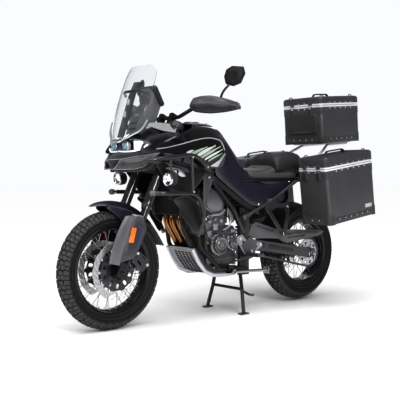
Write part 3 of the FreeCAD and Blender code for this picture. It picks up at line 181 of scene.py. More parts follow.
def facing(axis: Point, at: Point) -> Matrix:
    """A frame whose Z lies along an axis, at a place in millimetres."""
    return shift(*at) @ Vector(axis).to_track_quat("Z", "Y").to_matrix().to_4x4()


def skin(name: str, rings: Sequence[Sequence[Point]], round_ends: bool = True, sharp: float = 32,
         creases: Iterable[int] = (), rows: Iterable[int] = ()) -> bpy.types.Object:
    """Closed skin through rings of points.

    Args:
        name: the piece's name.
        rings: closed rings, each with the same count of points.
        round_ends: close both ends.
        sharp: the angle that stays crisp.
        creases: columns whose lengthwise edges stay crisp when smoothed.
        rows: rings that stay crisp when smoothed.

    Returns:
        The object.
    """
    shape = bmesh.new()
    crease = shape.edges.layers.float.new("crease_edge")
    grid = [[shape.verts.new(spot) for spot in ring] for ring in rings]
    count = len(grid[0])
    for first, second in zip(grid, grid[1:]):
        for index in range(count):
            following = (index + 1) % count
            shape.faces.new((first[index], first[following], second[following], second[index]))
    if round_ends:
        shape.faces.new(list(reversed(grid[0])))
        shape.faces.new(grid[-1])
    for column in creases:
        for first, second in zip(grid, grid[1:]):
            shape.edges.get((first[column], second[column]))[crease] = 1
    for row in rows:
        for index in range(count):
            shape.edges.get((grid[row][index], grid[row][(index + 1) % count]))[crease] = 1
    return finished(name, shape, sharp)


def sheet(name: str, rows: Sequence[Sequence[Point]], crisp_rows: Iterable[int] = (),
          crisp_columns: Iterable[int] = ()) -> bpy.types.Object:
    """Open sheet through a grid of points, with chosen rows and columns crisp."""
    shape = bmesh.new()
    crease = shape.edges.layers.float.new("crease_edge")
    grid = [[shape.verts.new(spot) for spot in row] for row in rows]
    for first, second in zip(grid, grid[1:]):
        for index in range(len(first) - 1):
            shape.faces.new((first[index], first[index + 1], second[index + 1], second[index]))
    for row in crisp_rows:
        for index in range(len(grid[row]) - 1):
            shape.edges.get((grid[row][index], grid[row][index + 1]))[crease] = 1
    for column in crisp_columns:
        for first, second in zip(grid, grid[1:]):
            shape.edges.get((first[column], second[column]))[crease] = 1
    return finished(name, shape)


def lathe(name: str, profile: Sequence[tuple[float, float]], at: Point, axis: Point = (0, 1, 0),
          steps: int = 64, sharp: float = 32, ring: bool = True) -> bpy.types.Object:
    """Turn a profile of (along the axis, radius) pairs.

    Args:
        name: the piece's name.
        profile: the pairs; a radius of 0 makes a pole.
        at: the centre, in millimetres.
        axis: the axis.
        steps: faces round the axis.
        sharp: the angle that stays crisp.
        ring: the profile is a closed loop.

    Returns:
        The object.
    """
    shape = bmesh.new()
    rows = []
    for along, radius in profile:
        if radius < 0.01:
            rows.append([shape.verts.new((0, 0, along))] * steps)
            continue
        rows.append([shape.verts.new(
            (radius * math.cos(2 * math.pi * step / steps), radius * math.sin(2 * math.pi * step / steps),
             along)) for step in range(steps)])
    pairs = list(zip(rows, rows[1:])) + ([(rows[-1], rows[0])] if ring else [])
    for first, second in pairs:
        for step in range(steps):
            following = (step + 1) % steps
            corners = list(dict.fromkeys((first[step], first[following], second[following], second[step])))
            if len(corners) > 2:
                shape.faces.new(corners)
    return moved(finished(name, shape, sharp), facing(axis, at))


def drum(name: str, radius: float, start: float, end: float, at: Point, axis: Point = (0, 1, 0),
         edge: float = 1.5, steps: int = 40) -> bpy.types.Object:
    """Solid turned disc with rounded rims, from start to end along its axis."""
    return lathe(name, [(start, 0), (start, radius - edge), (start + edge, radius), (end - edge, radius),
                        (end, radius - edge), (end, 0)], at, axis, steps, ring=False)


def block(name: str, low: Point, high: Point, edge: float = 2, steps: int = 2) -> bpy.types.Object:
    """Block between two corners, its edges rounded."""
    shape = bmesh.new()
    bmesh.ops.create_cube(shape, size=1)
    for vertex in shape.verts:
        vertex.co = Vector(
            [low[axis] + (vertex.co[axis] + 0.5) * (high[axis] - low[axis]) for axis in range(3)])
    return rounded(finished(name, shape), edge, steps)


def path(route: Sequence[Point], bend: float = 40, steps: int = 6, closed: bool = False) -> list[Vector]:
    """A route with its corners bent on arcs."""
    stops = [Vector(stop) for stop in route]
    if closed:
        trios = [(stops[index - 1], stops[index], stops[(index + 1) % len(stops)])
                 for index in range(len(stops))]
    else:
        trios = list(zip(stops, stops[1:], stops[2:]))
    line = [] if closed else [stops[0]]
    for before, corner, after in trios:
        inward, outward = (before - corner), (after - corner)
        reach = min(bend, 0.48 * inward.length, 0.48 * outward.length)
        start, end = corner + inward.normalized() * reach, corner + outward.normalized() * reach
        for step in range(steps + 1):
            share = step / steps
            line.append(start.lerp(corner, share).lerp(corner.lerp(end, share), share))
    return line if closed else line + [stops[-1]]


def sweep(name: str, line: Sequence[Point], radius: float, sides: int = 16, closed: bool = False,
          flat: float = 1, up: Point = (0, 0, 1), sharp: float = 50) -> bpy.types.Object:
    """Round or flattened bar along a line.

    Args:
        name: the piece's name.
        line: its points.
        radius: half its width.
        sides: faces round it.
        closed: the line is a loop.
        flat: its thickness as a share of its width.
        up: the way its thin side faces when it is flattened.
        sharp: the angle that stays crisp.

    Returns:
        The object.
    """
    stops = [Vector(stop) for stop in line]
    shape = bmesh.new()
    rings, count = [], len(stops)
    side = None
    for index, stop in enumerate(stops):
        before = stops[index - 1] if closed or index else stop
        after = stops[(index + 1) % count] if closed or index + 1 < count else stop
        way = (after - before).normalized()
        if flat < 1 or side is None:
            side = way.cross(Vector(up))
            side = side.normalized() if side.length > 0.05 else way.orthogonal().normalized()
        else:
            side = (side - way * side.dot(way)).normalized()
        other = side.cross(way)
        rings.append(
            [shape.verts.new(stop + side * radius * math.cos(turn) + other * radius * flat * math.sin(turn))
             for turn in (2 * math.pi * step / sides for step in range(sides))])
    for first, second in list(zip(rings, rings[1:])) + ([(rings[-1], rings[0])] if closed else []):
        for step in range(sides):
            following = (step + 1) % sides
            shape.faces.new((first[step], first[following], second[following], second[step]))
    if not closed:
        shape.faces.new(rings[0])
        shape.faces.new(rings[-1])
    return finished(name, shape, sharp)


class Plane(Enum):
    """The plane that a flat plate lies in."""

    XZ = Matrix(((1, 0, 0, 0), (0, 0, -1, 0), (0, 1, 0, 0), (0, 0, 0, 1)))


def plate(name: str, plane: Plane, outline: Sequence[tuple[float, float]], middle: Point, thick: float,
          holes: Sequence[Sequence[tuple[float, float]]] = (), edge: float = 0.8) -> bpy.types.Object:
    """Flat plate with holes.

    Args:
        name: the piece's name.
        plane: where it lies.
        outline: its rim in the plane's own two directions.
        middle: where the outline's origin sits, halfway through the plate.
        thick: its thickness.
        holes: rims of its holes.
        edge: the chamfer on its rims.

    Returns:
        The object.
    """
    curve = bpy.data.curves.new(name, "CURVE")
    curve.dimensions, curve.fill_mode = "2D", "BOTH"
    curve.extrude, curve.bevel_depth, curve.offset = (thick / 2 - edge) * MM, edge * MM, -edge * MM
    curve.bevel_resolution = 0
    for rim in (outline, *holes):
        spline = curve.splines.new("POLY")
        spline.points.add(len(rim) - 1)
        for spot, (across, up) in zip(spline.points, rim):
            spot.co = (across * MM, up * MM, 0, 1)
        spline.use_cyclic_u = True
    flat = baked(put_curve(name, curve))
    shape = bmesh.new()
    shape.from_mesh(flat.data)
    bmesh.ops.scale(shape, vec=(1 / MM, 1 / MM, 1 / MM), verts=shape.verts)
    bpy.data.objects.remove(flat)
    made = finished(name, shape, 25)
    return moved(made, shift(*middle) @ plane.value)


def put_curve(name: str, curve: bpy.types.Curve) -> bpy.types.Object:
    """Give a curve its object in the scene."""
    made = bpy.data.objects.new(name, curve)
    bpy.context.scene.collection.objects.link(made)
    return made


def circle(radius: float, steps: int = 24, at: tuple[float, float] = (0, 0)) -> list[tuple[float, float]]:
    """Rim of a round hole or disc."""
    return [(at[0] + radius * math.cos(2 * math.pi * step / steps),
             at[1] + radius * math.sin(2 * math.pi * step / steps)) for step in range(steps)]


def slot_rim(long: float, wide: float, at: tuple[float, float],
             lean: float = 0) -> list[tuple[float, float]]:
    """Rim of a slot with round ends, its long way leaning by an angle in degrees."""
    rim = []
    for end, start in ((1, -90), (-1, 90)):
        for step in range(7):
            turn = math.radians(start + 30 * step)
            rim.append((end * (long - wide) / 2 + wide / 2 * math.cos(turn), wide / 2 * math.sin(turn)))
    cos, sin = math.cos(math.radians(lean)), math.sin(math.radians(lean))
    return [(at[0] + x * cos - y * sin, at[1] + x * sin + y * cos) for x, y in rim]


# ------------------------------------------------------------------ repeats
class Repeater:
    """Geometry Nodes trees that copy one small piece, along points or round a ring."""

    def __init__(self) -> None:
        """Build both trees."""
        self.by_points = self.tree("copies_on_points", {"Size": "NodeSocketFloat"}, self.fill_points)
        self.by_ring = self.tree(
            "copies_round_ring", {"Count": "NodeSocketInt", "Radius": "NodeSocketFloat"}, self.fill_ring)

    def tree(self, name: str, extra: dict[str, str], fill: Callable) -> bpy.types.GeometryNodeTree:
        """Lay out a tree whose middle is filled by one of the methods below.

        Args:
            name: the tree's name.
            extra: more inputs and their socket types.
            fill: makes the points and returns the instances' socket.

        Returns:
            The tree.
        """
        group = bpy.data.node_groups.new(name, "GeometryNodeTree")
        group.interface.new_socket("Geometry", in_out="INPUT", socket_type="NodeSocketGeometry")
        group.interface.new_socket("Piece", in_out="INPUT", socket_type="NodeSocketObject")
        group.interface.new_socket("Finish", in_out="INPUT", socket_type="NodeSocketMaterial")
        for label, kind in extra.items():
            group.interface.new_socket(label, in_out="INPUT", socket_type=kind)
        group.interface.new_socket("Geometry", in_out="OUTPUT", socket_type="NodeSocketGeometry")
        start, end = group.nodes.new("NodeGroupInput"), group.nodes.new("NodeGroupOutput")
        source = group.nodes.new("GeometryNodeObjectInfo")
        copies = group.nodes.new("GeometryNodeInstanceOnPoints")
        real = group.nodes.new("GeometryNodeRealizeInstances")
        finish = group.nodes.new("GeometryNodeSetMaterial")
        link = group.links.new
        link(start.outputs["Piece"], source.inputs["Object"])
        link(source.outputs["Geometry"], copies.inputs["Instance"])
        fill(group, start, copies)
        link(copies.outputs["Instances"], real.inputs["Geometry"])
        link(real.outputs["Geometry"], finish.inputs["Geometry"])
        link(start.outputs["Finish"], finish.inputs["Material"])
        link(finish.outputs["Geometry"], end.inputs["Geometry"])
        return group

    def fill_points(self, group: bpy.types.GeometryNodeTree, start: bpy.types.Node,
                    copies: bpy.types.Node) -> None:
        """Copies stand on the mesh's points, turned by their own attribute."""
        link = group.links.new
        turn = group.nodes.new("GeometryNodeInputNamedAttribute")
        turn.data_type = "FLOAT_VECTOR"
        turn.inputs["Name"].default_value = "turn"
        rotation = group.nodes.new("FunctionNodeEulerToRotation")
        link(start.outputs["Geometry"], copies.inputs["Points"])
        link(turn.outputs["Attribute"], rotation.inputs[0])
        link(rotation.outputs[0], copies.inputs["Rotation"])
        link(start.outputs["Size"], copies.inputs["Scale"])

    def fill_ring(self, group: bpy.types.GeometryNodeTree, start: bpy.types.Node,
                  copies: bpy.types.Node) -> None:
        """Copies stand on a ring about Z, their X outward."""
        link = group.links.new
        ring = group.nodes.new("GeometryNodeMeshCircle")
        position = group.nodes.new("GeometryNodeInputPosition")
        outward = group.nodes.new("FunctionNodeAlignRotationToVector")
        outward.axis = "X"
        outward.pivot_axis = "Z"
        link(start.outputs["Count"], ring.inputs["Vertices"])
        link(start.outputs["Radius"], ring.inputs["Radius"])
        link(ring.outputs["Mesh"], copies.inputs["Points"])
        link(position.outputs[0], outward.inputs["Vector"])
        link(outward.outputs[0], copies.inputs["Rotation"])

    def run(self, name: str, carrier: bpy.types.Mesh, tree: bpy.types.GeometryNodeTree, values: dict,
            piece: bpy.types.Object) -> bpy.types.Object:
        """Bake one tree and drop its template.

        Args:
            name: the result's name.
            carrier: the mesh the modifier sits on.
            tree: which tree.
            values: its inputs by name.
            piece: the template.

        Returns:
            The copies as one mesh.
        """
        holder = put(name, carrier)
        modifier = holder.modifiers.new("copies", "NODES")
        modifier.node_group = tree
        for item in tree.interface.items_tree:
            if item.in_out == "INPUT" and item.name in values:
                modifier[item.identifier] = values[item.name]
        made = baked(holder)
        template = piece.data
        bpy.data.objects.remove(piece)
        bpy.data.meshes.remove(template)
        return made

    def along(self, name: str, piece: bpy.types.Object, spots: Sequence[tuple[Point, Matrix]],
              finish: bpy.types.Material, size: float = 1) -> bpy.types.Object:
        """Copy a piece to places in millimetres, each with its own turn."""
        carrier = bpy.data.meshes.new(name)
        carrier.from_pydata([tuple(Vector(spot) * MM) for spot, _ in spots], [], [])
        attribute = carrier.attributes.new("turn", "FLOAT_VECTOR", "POINT")
        for item, (_, way) in zip(attribute.data, spots):
            item.vector = way.to_3x3().to_euler("XYZ")
        return self.run(name, carrier, self.by_points, {"Piece": piece, "Finish": finish, "Size": size},
                        piece)

    def round(self, name: str, piece: bpy.types.Object, count: int, radius: float, place: Matrix,
              finish: bpy.types.Material) -> bpy.types.Object:
        """Copy a piece round a ring; place holds the ring's centre and axis."""
        made = self.run(name, bpy.data.meshes.new(name), self.by_ring,
                        {"Piece": piece, "Finish": finish, "Count": count, "Radius": radius * MM}, piece)
        return moved(made, place)


def looking(way: Point) -> Matrix:
    """The turn that stands a piece's Z along a direction."""
    return Vector(way).to_track_quat("Z", "Y").to_matrix().to_4x4()


def left_only(turn: int, node: str) -> tuple[str, ...]:
    """A node that covers both sides is stood for once, by the left piece."""
    return (node,) if turn > 0 else ()


def sided(spots: Iterable[Point], turn: int) -> list[Point]:
    """Places on the left moved to their own side, 1 for the left and -1 for the right."""
    return [(x, turn * y, z) for x, y, z in spots]


def hoop_of(x: float, pairs: Sequence[tuple[float, float]]) -> list[Point]:
    """A ring across the machine, through places on the left and their mirror images."""
    return [(x, y, z) for y, z in pairs] + [(x, -y, z) for y, z in reversed(pairs)]


def on_ring(radius: float, degrees: float, middle: Sequence[float] = (0, 0)) -> tuple[float, float]:
    """A point on a circle, from its turn in degrees."""
    angle = math.radians(degrees)
    return middle[0] + radius * math.cos(angle), middle[1] + radius * math.sin(angle)


def arched(stations: Iterable[Sequence[float]], shares: Sequence[tuple[float, float]],
           axle: tuple[float, float]) -> list[list[Point]]:
    """Rows of places over a wheel, for a mudguard.

    Args:
        stations: each row's turn in degrees, radius, half width and fall at its edges.
        shares: each place's share of the half width and of the fall.
        axle: the wheel's middle.

    Returns:
        The rows.
    """
    rows = []
    for turn, reach, crown, edge in stations:
        row = []
        for share, across in shares:
            ahead, up = on_ring(reach - edge * across, turn, axle)
            row.append((ahead, share * crown, up))
        rows.append(row)
    return rows


def outlines(rim: Iterable[tuple[float, float]], *levels: float, middle: tuple[float, float] = (0.0, 0.0),
             size: float = 1.0) -> list[list[Point]]:
    """An outline seen from the side, at places across the machine.

    Args:
        rim: its corners, ahead and up.
        levels: the places across.
        middle: the place it is sized about.
        size: its scale.

    Returns:
        One ring of corners for each place.
    """
    ahead, up = middle
    return [[(ahead + (x - ahead) * size, y, up + (z - up) * size) for x, z in rim] for y in levels]


def side_block(name: str, turn: int, low: Point, high: Point, edge: float = 2,
               steps: int = 2) -> bpy.types.Object:
    """A block on the left or the right, from its two corners on the left."""
    near, far = sorted((turn * low[1], turn * high[1]))
    return block(name, (low[0], near, low[2]), (high[0], far, high[2]), edge, steps)


# ------------------------------------------------------------------ finishes
@dataclass(frozen=True)
class Finish:
    """One finish: its colour, gloss, and how it has aged."""

    name: str
    slot: str
    colour: Colour
    rough: float = 0.45
    metal: float = 0.0
    coat: float = 0.0
    grain: float = 900
    relief: float = 0.12
    mottle: float = 0.12
    wear: float = 0.25
    dust: float = 0.12
    stretch: tuple[float, float, float] = (1, 1, 1)
    glass: float = 0.0
    glow: float = 0.0
    shine: float = 0.28


NAVY = Finish("navy_body_plastic", "navy_plastic", (0.015, 0.0135, 0.028), 0.30, coat=0.2, grain=1500,
              relief=0.08, dust=0.02, shine=0.5)
GLOSS = Finish("gloss_black_panel", "gloss_plastic", (0.006, 0.006, 0.008), 0.10, coat=0.8, grain=300,
               relief=0.01, mottle=0.05, wear=0.1, dust=0.05)
BLACK = Finish("moulded_black", "black_plastic", (0.008, 0.008, 0.009), 0.46, grain=1400, relief=0.16,
               dust=0.04)
TRIM = Finish("dark_grey_trim", "black_plastic", (0.020, 0.020, 0.022), 0.42, grain=1500, relief=0.16,
              dust=0.03)
PALE = Finish("pale_grey_plastic", "alloy", (0.34, 0.34, 0.35), 0.36, grain=1500, relief=0.08)
SILVER = Finish("silver_paint", "alloy", (0.56, 0.57, 0.60), 0.30, 0.65, grain=1200, relief=0.03,
                mottle=0.06)
CHROME = Finish("bright_steel", "steel", (0.66, 0.66, 0.68), 0.17, 1, grain=700, relief=0.02, mottle=0.05)
STEEL = Finish("brushed_steel", "steel", (0.42, 0.42, 0.44), 0.30, 1, grain=500, relief=0.06,
               stretch=(1, 1, 6))
ALLOY = Finish("cast_alloy", "alloy", (0.13, 0.132, 0.138), 0.42, 0.85, grain=800, relief=0.22)
ENGINE = Finish("dark_cast_alloy", "dark_alloy", (0.085, 0.085, 0.09), 0.38, 0.55, grain=700, relief=0.3,
                wear=0.6, dust=0.03, shine=0.5)
GUARD = Finish("lavender_grey_guard", "dark_alloy", (0.070, 0.070, 0.078), 0.36, 0.1, grain=1200, dust=0.03)
SLAT = Finish("light_guard_slat", "dark_alloy", (0.125, 0.125, 0.134), 0.34, 0.15, grain=1200, relief=0.08,
              dust=0.03)
SHELL = Finish("dark_guard_shell", "dark_alloy", (0.038, 0.038, 0.046), 0.34, 0.1, grain=1200, relief=0.08,
               dust=0.03, shine=0.5)
LIP = Finish("satin_grey_lip", "alloy", (0.042, 0.042, 0.046), 0.26, 0.1, coat=0.3, grain=1300, relief=0.05,
             dust=0.02)
DISC = Finish("drilled_disc", "steel", (0.50, 0.50, 0.51), 0.32, 0.85, grain=600, relief=0.05, mottle=0.1)
CHAIN = Finish("oiled_chain", "steel", (0.085, 0.085, 0.09), 0.42, 0.85, grain=700, relief=0.1)
ARM = Finish("satin_swingarm", "alloy", (0.095, 0.095, 0.10), 0.34, 0.6, grain=900, relief=0.12, dust=0.03,
             shine=0.5)
CAST = Finish("light_cast_alloy", "alloy", (0.30, 0.30, 0.31), 0.36, 0.4, grain=800, relief=0.16, wear=0.3,
              dust=0.03)
GREY = Finish("mid_grey_plastic", "alloy", (0.120, 0.120, 0.124), 0.36, 0.1, grain=1300, relief=0.08,
              dust=0.03)
ENGINE_COVER = Finish(
    "turned_cover", "alloy", (0.19, 0.19, 0.195), 0.28, 0.8, grain=700, relief=0.14, wear=0.4, dust=0.03)
HEADER = Finish("heat_tinted_pipe", "pipe_steel", (0.34, 0.175, 0.075), 0.22, 0.95, grain=60, relief=0.03,
                mottle=0.7, wear=0.1)
CAN = Finish("satin_can", "pipe_steel", (0.30, 0.30, 0.32), 0.28, 0.95, grain=500, relief=0.04,
             stretch=(6, 1, 1))
FRAME = Finish("powder_black", "black_frame", (0.011, 0.011, 0.012), 0.30, 0.1, coat=0.25, grain=1100,
               relief=0.10, dust=0.02)
RIM = Finish("black_rim", "rim_black", (0.012, 0.012, 0.014), 0.22, 0.3, coat=0.4, grain=900, relief=0.04)
TUBE = Finish("black_tube", "gloss_black", (0.010, 0.010, 0.012), 0.16, 0.5, coat=0.5, grain=600,
              relief=0.02)
TYRE = Finish("tyre_rubber", "tyre", (0.011, 0.011, 0.012), 0.62, grain=700, relief=0.35, mottle=0.2,
              dust=0.03)
RUBBER = Finish("grip_rubber", "grip_rubber", (0.017, 0.017, 0.018), 0.68, grain=1000, relief=0.3)
CASE = Finish("anodised_case", "case_black", (0.056, 0.056, 0.059), 0.38, 0.3, grain=1300, relief=0.12,
              wear=0.35, dust=0.05, shine=0.5)
CASE_FRONT = Finish(
    "case_moulding", "case_black", (0.042, 0.042, 0.044), 0.44, grain=1200, relief=0.25, dust=0.03)
COVER = Finish("seat_vinyl", "seat_cover", (0.066, 0.066, 0.067), 0.52, grain=850, relief=0.45, mottle=0.1,
               wear=0.1, dust=0.06, shine=0.5)
COVER_REAR = Finish("seat_vinyl_rear", "seat_cover", (0.036, 0.036, 0.037), 0.50, grain=850, relief=0.45,
                    mottle=0.1, wear=0.1, dust=0.05, shine=0.4)
CLEAR = Finish("clear_screen", "clear_screen", (0.93, 0.95, 0.96), 0.02, grain=40, relief=0.004,
               mottle=0.01, wear=0, dust=0, glass=1)
DISPLAY = Finish("display_glass", "gloss_black", (0.012, 0.014, 0.020), 0.06, coat=1, grain=200,
                 relief=0.005, mottle=0.05, wear=0, dust=0.03)
LIT = Finish("lit_white", "lamp", (0.86, 0.90, 0.97), 0.25, grain=300, relief=0.02, mottle=0.03, wear=0,
             dust=0, glow=0.55)
CYAN = Finish("projector_glass", "lamp", (0.16, 0.27, 0.33), 0.08, coat=0.8, grain=200, relief=0.02,
              mottle=0.3, wear=0, dust=0, glow=0.12)
BLUE_LENS = Finish("blue_lens", "lamp", (0.012, 0.020, 0.10), 0.06, coat=1, grain=200, relief=0.02,
                   mottle=0.2, wear=0, dust=0)
VIOLET = Finish("violet_lamp_frame", "lamp", (0.11, 0.11, 0.16), 0.18, coat=0.5, grain=700, relief=0.04)
AMBER = Finish("amber_lens", "lamp", (0.85, 0.20, 0.03), 0.14, coat=0.8, grain=260, relief=0.06, wear=0,
               dust=0.03)
SMOKY = Finish("smoked_amber_lens", "lamp", (0.075, 0.026, 0.012), 0.12, coat=0.8, grain=260, relief=0.06,
               wear=0, dust=0.03)
BARS = Finish("gloss_bar_paint", "black_frame", (0.024, 0.024, 0.026), 0.22, 0.2, coat=0.5, grain=1100,
              relief=0.05, dust=0.02)
RED = Finish("red_lens", "lamp", (0.42, 0.010, 0.012), 0.12, coat=0.8, grain=260, relief=0.06, wear=0,
             dust=0.03)
MIRROR = Finish("mirror_glass", "steel", (0.80, 0.81, 0.82), 0.03, 1, grain=80, relief=0.003, mottle=0.02,
                wear=0)
RIVET = Finish("bright_rivet", "alloy", (0.72, 0.72, 0.74), 0.35, 0.2, grain=900, relief=0.02, wear=0.05,
               shine=0.5)
GREEN = Finish("pale_green_stripe", "gloss_plastic", (0.36, 0.47, 0.37), 0.30, coat=0.3, grain=900,
               relief=0.02, wear=0.05)
DARK_BLUE = Finish("dark_blue_line", "gloss_plastic", (0.015, 0.022, 0.10), 0.3, grain=900, relief=0.02)
PLATE = Finish("blank_plate", "alloy", (0.55, 0.55, 0.55), 0.4, 0.3, grain=900, relief=0.05)
CORE = Finish("radiator_core", "dark_alloy", (0.008, 0.008, 0.009), 0.5, 0.5, grain=700, relief=0.1)


class Paints:
    """Shader groups that every finish shares, and the materials made from them."""

    def __init__(self) -> None:
        """Build the two groups."""
        self.aged = self.build_aged()
        self.grain = self.build_grain()
        self.made: dict[str, bpy.types.Material] = {}

    @staticmethod
    def group(name: str, inputs: dict[str, tuple[str, object]],
              outputs: dict[str, str]) -> bpy.types.ShaderNodeTree:
        """Empty group with its sockets, and a start and an end node.

        Args:
            name: the group's name.
            inputs: socket type and default by name.
            outputs: socket type by name.

        Returns:
            The group.
        """
        tree = bpy.data.node_groups.new(name, "ShaderNodeTree")
        for label, (kind, value) in inputs.items():
            tree.interface.new_socket(label, in_out="INPUT", socket_type=kind).default_value = value
        for label, kind in outputs.items():
            tree.interface.new_socket(label, in_out="OUTPUT", socket_type=kind)
        tree.nodes.new("NodeGroupInput").name = "start"
        tree.nodes.new("NodeGroupOutput").name = "end"
        return tree

    @staticmethod
    def maths(tree: bpy.types.ShaderNodeTree, work: str, first: object, second: object,
              clamp: bool = False) -> bpy.types.NodeSocket:
        """One maths node; its values are sockets or numbers."""
        node = tree.nodes.new("ShaderNodeMath")
        node.operation, node.use_clamp = work, clamp
        for slot, value in zip(node.inputs, (first, second)):
            if isinstance(value, (int, float)):
                slot.default_value = value
            else:
                tree.links.new(value, slot)
        return node.outputs[0]

    @staticmethod
    def noise(tree: bpy.types.ShaderNodeTree, scale: float, detail: float) -> bpy.types.Node:
        """Noise on object coordinates."""
        where = tree.nodes.new("ShaderNodeTexCoord")
        node = tree.nodes.new("ShaderNodeTexNoise")
        node.inputs["Scale"].default_value, node.inputs["Detail"].default_value = scale, detail
        tree.links.new(where.outputs["Object"], node.inputs["Vector"])
        return node

    @staticmethod
    def mixed(tree: bpy.types.ShaderNodeTree, share: bpy.types.NodeSocket, first: object,
              second: object) -> bpy.types.NodeSocket:
        """Mix of two colours, each a socket or three numbers."""
        node = tree.nodes.new("ShaderNodeMix")
        node.data_type = "RGBA"
        tree.links.new(share, node.inputs["Factor"])
        for slot, value in ((node.inputs[6], first), (node.inputs[7], second)):
            if isinstance(value, tuple):
                slot.default_value = (*value, 1)
            else:
                tree.links.new(value, slot)
        return node.outputs[2]

    def build_aged(self) -> bpy.types.ShaderNodeTree:
        """Tone shift, rubbed edges and settled dust, as a colour and a roughness."""
        real = "NodeSocketFloat"
        tree = self.group("aged_surface", {
            "Colour": ("NodeSocketColor", (0.5, 0.5, 0.5, 1)), "Rough": (real, 0.5), "Mottle": (real, 0.1),
            "Wear": (real, 0.2), "Dust": (real, 0.1)}, {"Colour": "NodeSocketColor", "Roughness": real})
        start, end, link = tree.nodes["start"].outputs, tree.nodes["end"].inputs, tree.links.new
        cloudy = self.noise(tree, 11, 5).outputs["Fac"]
        fine = self.noise(tree, 210, 3).outputs["Fac"]
        swing = self.maths(tree, "SUBTRACT", cloudy, 0.5)
        tone = self.maths(tree, "ADD", self.maths(
            tree, "MULTIPLY", self.maths(tree, "MULTIPLY", swing, 3.2), start["Mottle"]), 1.0)
        scaled = tree.nodes.new("ShaderNodeVectorMath")
        scaled.operation = "SCALE"
        link(start["Colour"], scaled.inputs[0])
        link(tone, scaled.inputs["Scale"])
        geometry = tree.nodes.new("ShaderNodeNewGeometry")
        edge = self.maths(
            tree, "MULTIPLY", self.maths(tree, "SUBTRACT", geometry.outputs["Pointiness"], 0.515), 14, True)
        rubbed = self.maths(tree, "MULTIPLY", self.maths(tree, "MULTIPLY", edge, fine), start["Wear"], True)
        bare = self.mixed(tree, rubbed, scaled.outputs[0], (0.42, 0.42, 0.44))
        upward = tree.nodes.new("ShaderNodeSeparateXYZ")
        link(geometry.outputs["Normal"], upward.inputs[0])
        settled = self.maths(tree, "MULTIPLY", self.maths(tree, "MULTIPLY", upward.outputs["Z"], cloudy,
                                                          True), start["Dust"], True)
        link(self.mixed(tree, settled, bare, (0.36, 0.35, 0.33)), end["Colour"])
        rough = self.maths(
            tree, "ADD", start["Rough"], self.maths(tree, "MULTIPLY", swing, start["Mottle"]))
        link(self.maths(tree, "ADD", rough, self.maths(tree, "MULTIPLY", settled, 0.5), True),
             end["Roughness"])
        return tree

    def build_grain(self) -> bpy.types.ShaderNodeTree:
        """Fine moulded or cast grain, as a height."""
        tree = self.group(
            "fine_grain", {"Scale": ("NodeSocketFloat", 900), "Stretch": ("NodeSocketVector", (1, 1, 1))},
            {"Height": "NodeSocketFloat"})
        start, link = tree.nodes["start"].outputs, tree.links.new
        where = tree.nodes.new("ShaderNodeTexCoord")
        spread = tree.nodes.new("ShaderNodeVectorMath")
        spread.operation = "DIVIDE"
        link(where.outputs["Object"], spread.inputs[0])
        link(start["Stretch"], spread.inputs[1])
        cells = tree.nodes.new("ShaderNodeTexVoronoi")
        cells.feature = "SMOOTH_F1"
        speckle = tree.nodes.new("ShaderNodeTexNoise")
        for node in (cells, speckle):
            link(spread.outputs[0], node.inputs["Vector"])
            link(start["Scale"], node.inputs["Scale"])
        link(self.maths(tree, "ADD", cells.outputs["Distance"], speckle.outputs["Fac"]),
             tree.nodes["end"].inputs["Height"])
        return tree

    def worn(self, tree: bpy.types.ShaderNodeTree, colour: Colour, rough: float, mottle: float, wear: float,
             dust: float) -> bpy.types.Node:
        """Put the aged surface in a material and link it to its shader.

        Args:
            tree: the material's nodes.
            colour: its clean colour.
            rough: its roughness.
            mottle: how cloudy its tone is.
            wear: how far its edges are rubbed.
            dust: how much dust has settled on it.

        Returns:
            The group's node.
        """
        aged, shader = tree.nodes.new("ShaderNodeGroup"), tree.nodes["Principled BSDF"]
        aged.node_tree = self.aged
        for label, value in (("Colour", (*colour, 1)), ("Rough", rough), ("Mottle", mottle), ("Wear", wear),
                             ("Dust", dust)):
            aged.inputs[label].default_value = value
        tree.links.new(aged.outputs["Colour"], shader.inputs["Base Color"])
        tree.links.new(aged.outputs["Roughness"], shader.inputs["Roughness"])
        return aged

    def of(self, finish: Finish) -> bpy.types.Material:
        """The material of a finish, built on first use."""
        if finish.name in self.made:
            return self.made[finish.name]
        material = bpy.data.materials.new(finish.name)
        material.use_nodes = True
        tree = material.node_tree
        shader = tree.nodes["Principled BSDF"]
        aged = self.worn(tree, finish.colour, finish.rough, finish.mottle, finish.wear, finish.dust)
        grain = tree.nodes.new("ShaderNodeGroup")
        grain.node_tree = self.grain
        grain.inputs["Scale"].default_value = finish.grain
        grain.inputs["Stretch"].default_value = finish.stretch
        bump = tree.nodes.new("ShaderNodeBump")
        bump.inputs["Strength"].default_value = finish.relief
        bump.inputs["Distance"].default_value = 0.0006
        link = tree.links.new
        link(grain.outputs["Height"], bump.inputs["Height"])
        link(bump.outputs["Normal"], shader.inputs["Normal"])
        shader.inputs["Metallic"].default_value = finish.metal
        shader.inputs["Coat Weight"].default_value = finish.coat
        shader.inputs["Transmission Weight"].default_value = finish.glass
        plain = not finish.glass and finish.metal <= 0.5
        shader.inputs["Specular IOR Level"].default_value = finish.shine if plain else 0.5
        if finish.glow:
            link(aged.outputs["Colour"], shader.inputs["Emission Color"])
            shader.inputs["Emission Strength"].default_value = finish.glow
        material.diffuse_color = (*finish.colour, 1)
        self.made[finish.name] = material
        return material


